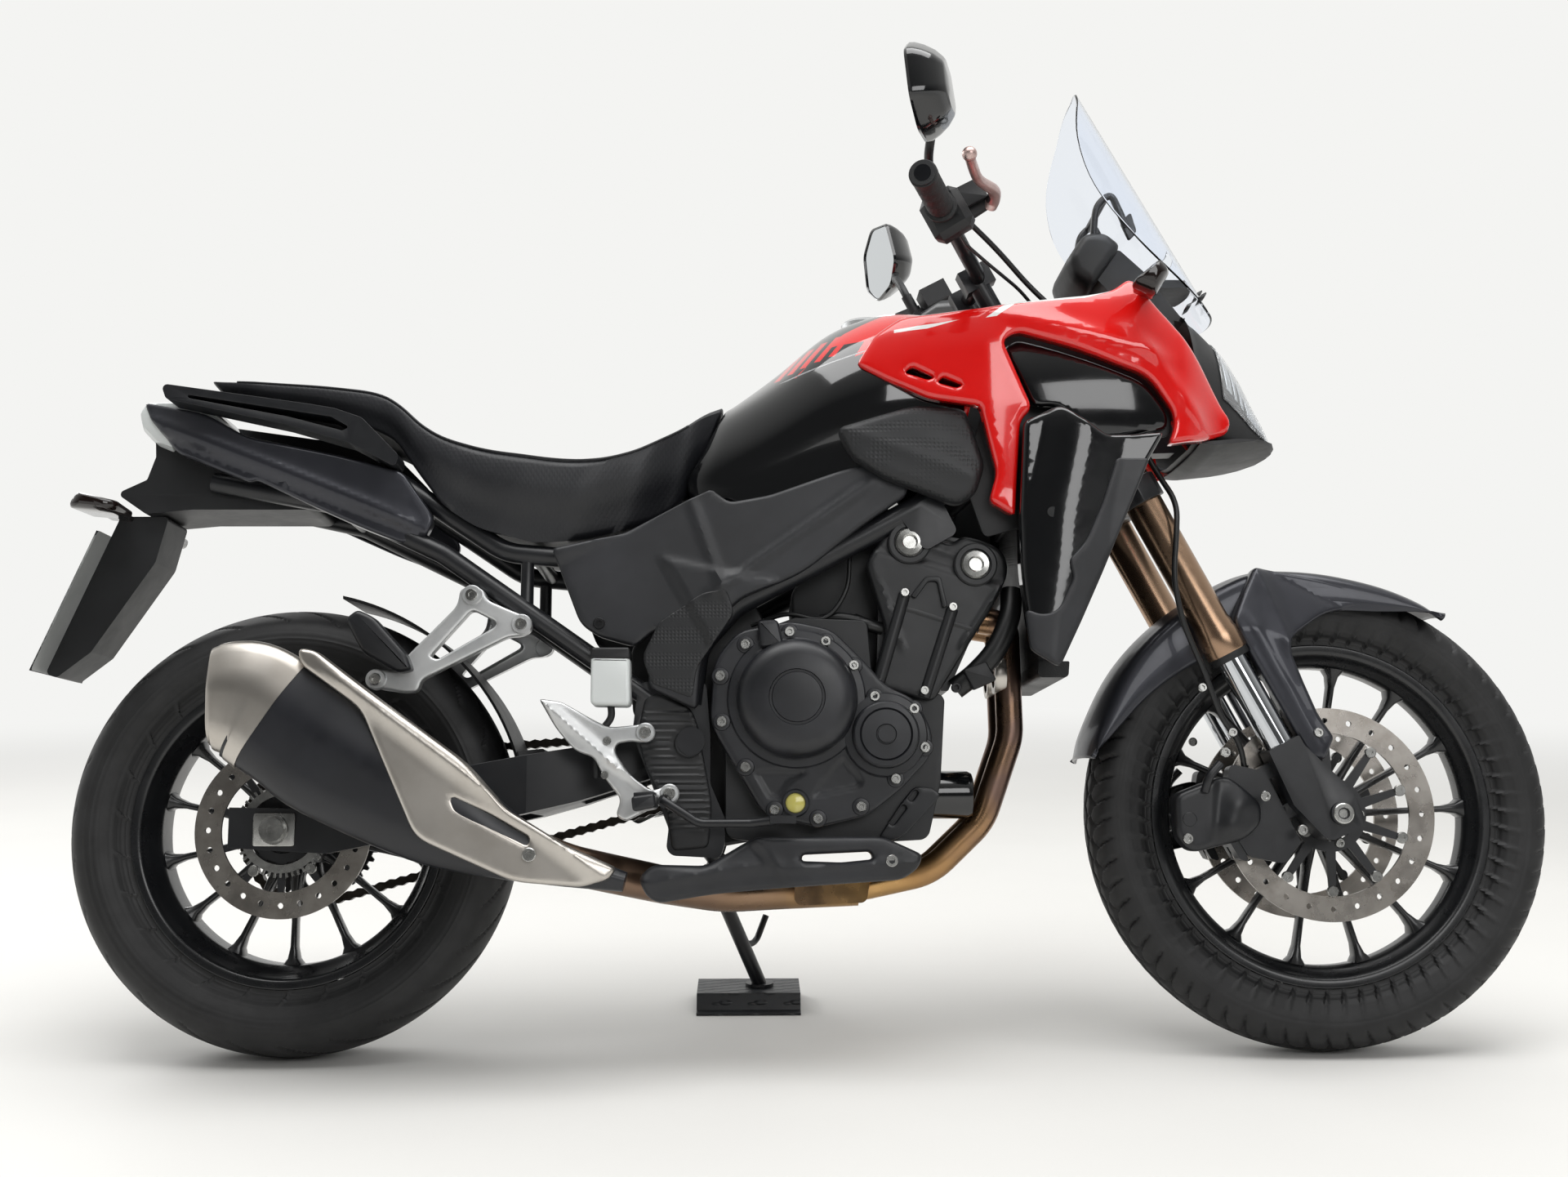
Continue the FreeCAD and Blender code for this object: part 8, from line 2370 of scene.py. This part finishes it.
    def liners(self) -> None:
        """Dark pieces seen between others: the fairing's inner liner, the intakes and the engine's back."""
        liner = slab(rounded([(932, 790, 10), (966, 900, 20), (992, 1000, 20), (1080, 996, 20), (1190, 962, 20),
                              (1226, 900, 20), (1222, 850, 8), (1120, 828, 10), (1060, 870, 12), (1012, 862, 8),
                              (1010, 720, 8), (960, 706, 10)]), -150, -153, 1)
        inner = both(liner)
        inner.add_solid(slab(rounded([(700, 520, 8), (696, 640, 8), (752, 724, 12), (846, 752, 12), (850, 640, 8),
                                      (812, 520, 8)]), 74, -74, 5))
        inner.add_solid(slab(rounded([(474, 470, 10), (470, 560, 12), (520, 640, 12), (640, 640, 12), (680, 560, 12),
                                      (668, 300, 10), (588, 286, 10), (560, 350, 20), (520, 430, 20)]), 62, -62, 5))
        for y in (-36.0, 36.0):
            inner.add_solid(tube(np.array([(720, y, 660), (770, y, 700), (830, y, 728)], float), 27, 24))
        show("inner_liners", inner, MATT_ABS, sharp=35)


# The pieces, in building order
PARTS = (Bodywork, Saddle, Tail, Nose, Wheels, Softened, Exhaust, Engine, FrontEnd, Cockpit, Footwork)


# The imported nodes

@dataclass
class Dressing:
    """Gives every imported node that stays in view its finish."""

    finishes: tuple[tuple[Finish | HeatedSteel, str], ...] = (
        (HEADER_STEEL, "exhaust_headers"), (BRUSHED_STAINLESS, "exhaust_guards"), (MUFFLER_PAINT, "muffler"),
        (ENGINE_PAINT, "cylinder_head engine_case"), (COVER_PAINT, "engine_covers sprocket_cover"),
        (FRAME_PAINT, "grab_rails handlebar main_frame side_stand swingarm"), (WHEEL_PAINT, "front_rim rear_rim"),
        (CAST_BLACK, "foot_controls fork_lowers rear_brake rear_shock triple_clamps"),
        (CAST_ALUMINIUM, "peg_brackets"), (BRONZE_ANODISED, "fork_legs"), (FRONT_DISC_STEEL, "front_discs"),
        (DISC_STEEL, "rear_disc"), (ZINC_STEEL, "rear_axle"), (TOOL_STEEL, "rear_sprocket"), (CHAIN_STEEL, "chain"),
        (TYRE_RUBBER, "front_tyre rear_tyre"), (HOSE_RUBBER, "control_cables"), (DIMPLED_RUBBER, "knee_pads"),
        (TANK_BLACK, "fuel_tank"), (RACE_RED, "side_fairings"), (GRAPHITE, "front_fender tail_cowls"),
        (CHARCOAL_ABS, "side_covers"), (GLOSS_ABS, "nose_cowl radiator_shrouds"),
        (MATT_ABS, "hand_controls indicators instrument_cluster mirrors tail_light undertray"),
        (LAMP_LENS, "headlight"), (CLEAR_SCREEN, "windscreen"), (SEAT_VINYL_PLAIN, "seat"),
        (RADIATOR_CORE, "radiator"), (BLOCK_PLATE, "stand_block"))

    def dress(self) -> None:
        """Puts each finish into its nodes' material slots."""
        for finish, names in self.finishes:
            for name in names.split():
                mesh = frame["nodes"][name].data
                mesh.materials.clear()
                mesh.materials.append(finish.make())
                mesh.shade_smooth()
                mesh.set_sharp_from_angle(angle=math.radians(32))
                LOG.info("%s: %s", name, finish.name)


# The studio

@dataclass
class Studio:
    """Pale floor, soft lights and the camera at the photograph's place."""

    camera_at: tuple[float, float, float] = (635.3, -2457.5, 656.3)
    yaw: float = -1.177
    pitch: float = -0.081
    roll: float = 0.040
    focal_px: float = 2153.4
    image_px: float = 1920.0
    floor_half: float = 40.0
    white_from: float = 1.9
    white_by: float = 7.0

    def build(self) -> None:
        """Sets up everything that isn't the machine."""
        self.floor()
        self.lights()
        self.world()
        self.camera()
        bpy.context.scene.view_settings.view_transform = "Standard"

    def floor(self) -> None:
        """A plain pale floor that turns to the white background where the camera looks past the shadow."""
        mesh = bpy.data.meshes.new("floor")
        h = self.floor_half
        mesh.from_pydata([(-h, -h, 0), (h, -h, 0), (h, h, 0), (-h, h, 0)], [], [(0, 1, 2, 3)])
        floor = linked("floor", mesh)
        material, tree, place = blank_material("floor_screed")
        clouds = add_node(tree, "TexNoise", {"Scale": 1.3, "Detail": 5.0}, {"Vector": place})
        shade = add_node(tree, "Mix", {"data_type": "RGBA", 6: linear("#dcdbd8"), 7: linear("#e6e5e2")},
                         {0: clouds.outputs[0]})
        shader = add_node(tree, "BsdfPrincipled", {"Roughness": 0.7}, {"Base Color": shade.outputs[2]})
        # Further off the machine the floor turns into the background's white
        far = add_node(tree, "VectorMath", {"operation": "LENGTH"}, {0: place})
        gone = add_node(tree, "MapRange",
                        {"From Min": self.white_from, "From Max": self.white_by, "interpolation_type": "SMOOTHSTEP"},
                        {"Value": far.outputs["Value"]})
        white = add_node(tree, "Emission", {"Color": linear("#f4f4f2"), "Strength": 1.0})
        mixed = add_node(tree, "MixShader", {}, {0: gone.outputs[0], 1: shader.outputs[0], 2: white.outputs[0]})
        add_node(tree, "OutputMaterial", {}, {"Surface": mixed.outputs[0]})
        mesh.materials.append(material)

    def lights(self) -> None:
        """One broad ceiling light, one from the viewer's side and a weak one behind."""
        for name, at, size, watts, aim in (
                ("ceiling", (0.2, -0.8, 4.2), 4.5, 150.0, (0.0, 0.0, 0.5)),
                ("front", (1.8, -4.6, 2.6), 3.0, 66.0, (0.0, 0.0, 0.6)),
                ("rear", (-3.2, 2.6, 2.8), 3.0, 60.0, (0.0, 0.0, 0.7))):
            lamp = bpy.data.lights.new(name, "AREA")
            lamp.shape = "RECTANGLE"
            lamp.size = size
            lamp.size_y = size * 0.6
            lamp.energy = watts
            holder = linked(name, lamp)
            holder.location = at
            holder.rotation_euler = (Vector(aim) - Vector(at)).to_track_quat("-Z", "Y").to_euler()

    def world(self) -> None:
        """The room: pale behind and above the machine, dark at the viewer's side, white where the camera sees it."""
        world = bpy.data.worlds.new("room")
        world.use_nodes = True
        tree = world.node_tree
        tree.nodes.clear()
        paths = add_node(tree, "LightPath")
        seen = add_node(tree, "Math", {"operation": "MAXIMUM"},
                        {0: paths.outputs["Is Camera Ray"], 1: paths.outputs["Is Transmission Ray"]})
        # The room is dark on the viewer's side and pale above and behind the machine
        way = add_node(tree, "SeparateXYZ", {}, {0: add_node(tree, "TexCoord").outputs["Generated"]})
        rising = add_node(tree, "Math", {"operation": "MULTIPLY_ADD", 1: 0.9},
                          {0: way.outputs["Z"], 2: way.outputs["Y"]})
        bright = add_node(tree, "MapRange",
                          {"From Min": -0.5, "From Max": 0.9, "To Min": 0.10, "To Max": 0.9},
                          {"Value": rising.outputs[0]})
        plain = add_node(tree, "Background", {"Color": linear("#f2f2f0")}, {"Strength": bright.outputs[0]})
        shown = add_node(tree, "Background", {"Color": linear("#f4f4f2"), "Strength": 1.0})
        mixed = add_node(tree, "MixShader", {}, {0: seen.outputs[0], 1: plain.outputs[0], 2: shown.outputs[0]})
        add_node(tree, "OutputWorld", {}, {"Surface": mixed.outputs[0]})
        bpy.context.scene.world = world

    def camera(self) -> None:
        """The photograph's camera: place, turn and lens as fitted to the wheels and the frame."""
        lens = bpy.data.cameras.new("camera")
        lens.sensor_fit = "HORIZONTAL"
        lens.sensor_width = 36.0
        lens.lens = self.focal_px / self.image_px * 36.0
        holder = linked("camera", lens)
        turn = [Matrix.Rotation(math.radians(a), 4, axis) for a, axis in
                ((self.yaw, "Z"), (self.pitch, "X"), (self.roll, "Y"), (90.0, "X"))]
        origin = STANCE.origin - np.array([0.0, 0.0, STANCE.camera_drop])
        holder.matrix_world = Matrix.Translation(Vector((np.array(self.camera_at) + origin) / 1000)) @ \
            turn[0] @ turn[1] @ turn[2] @ turn[3]
        bpy.context.scene.camera = holder


def main() -> None:
    """Builds the machine's looks piece by piece, then the studio around it."""
    logging.basicConfig(level=logging.INFO, format="%(name)s %(message)s")
    Dressing().dress()
    for part in PARTS:
        part().build()
    Studio().build()


if __name__ == "__main__":
    main()
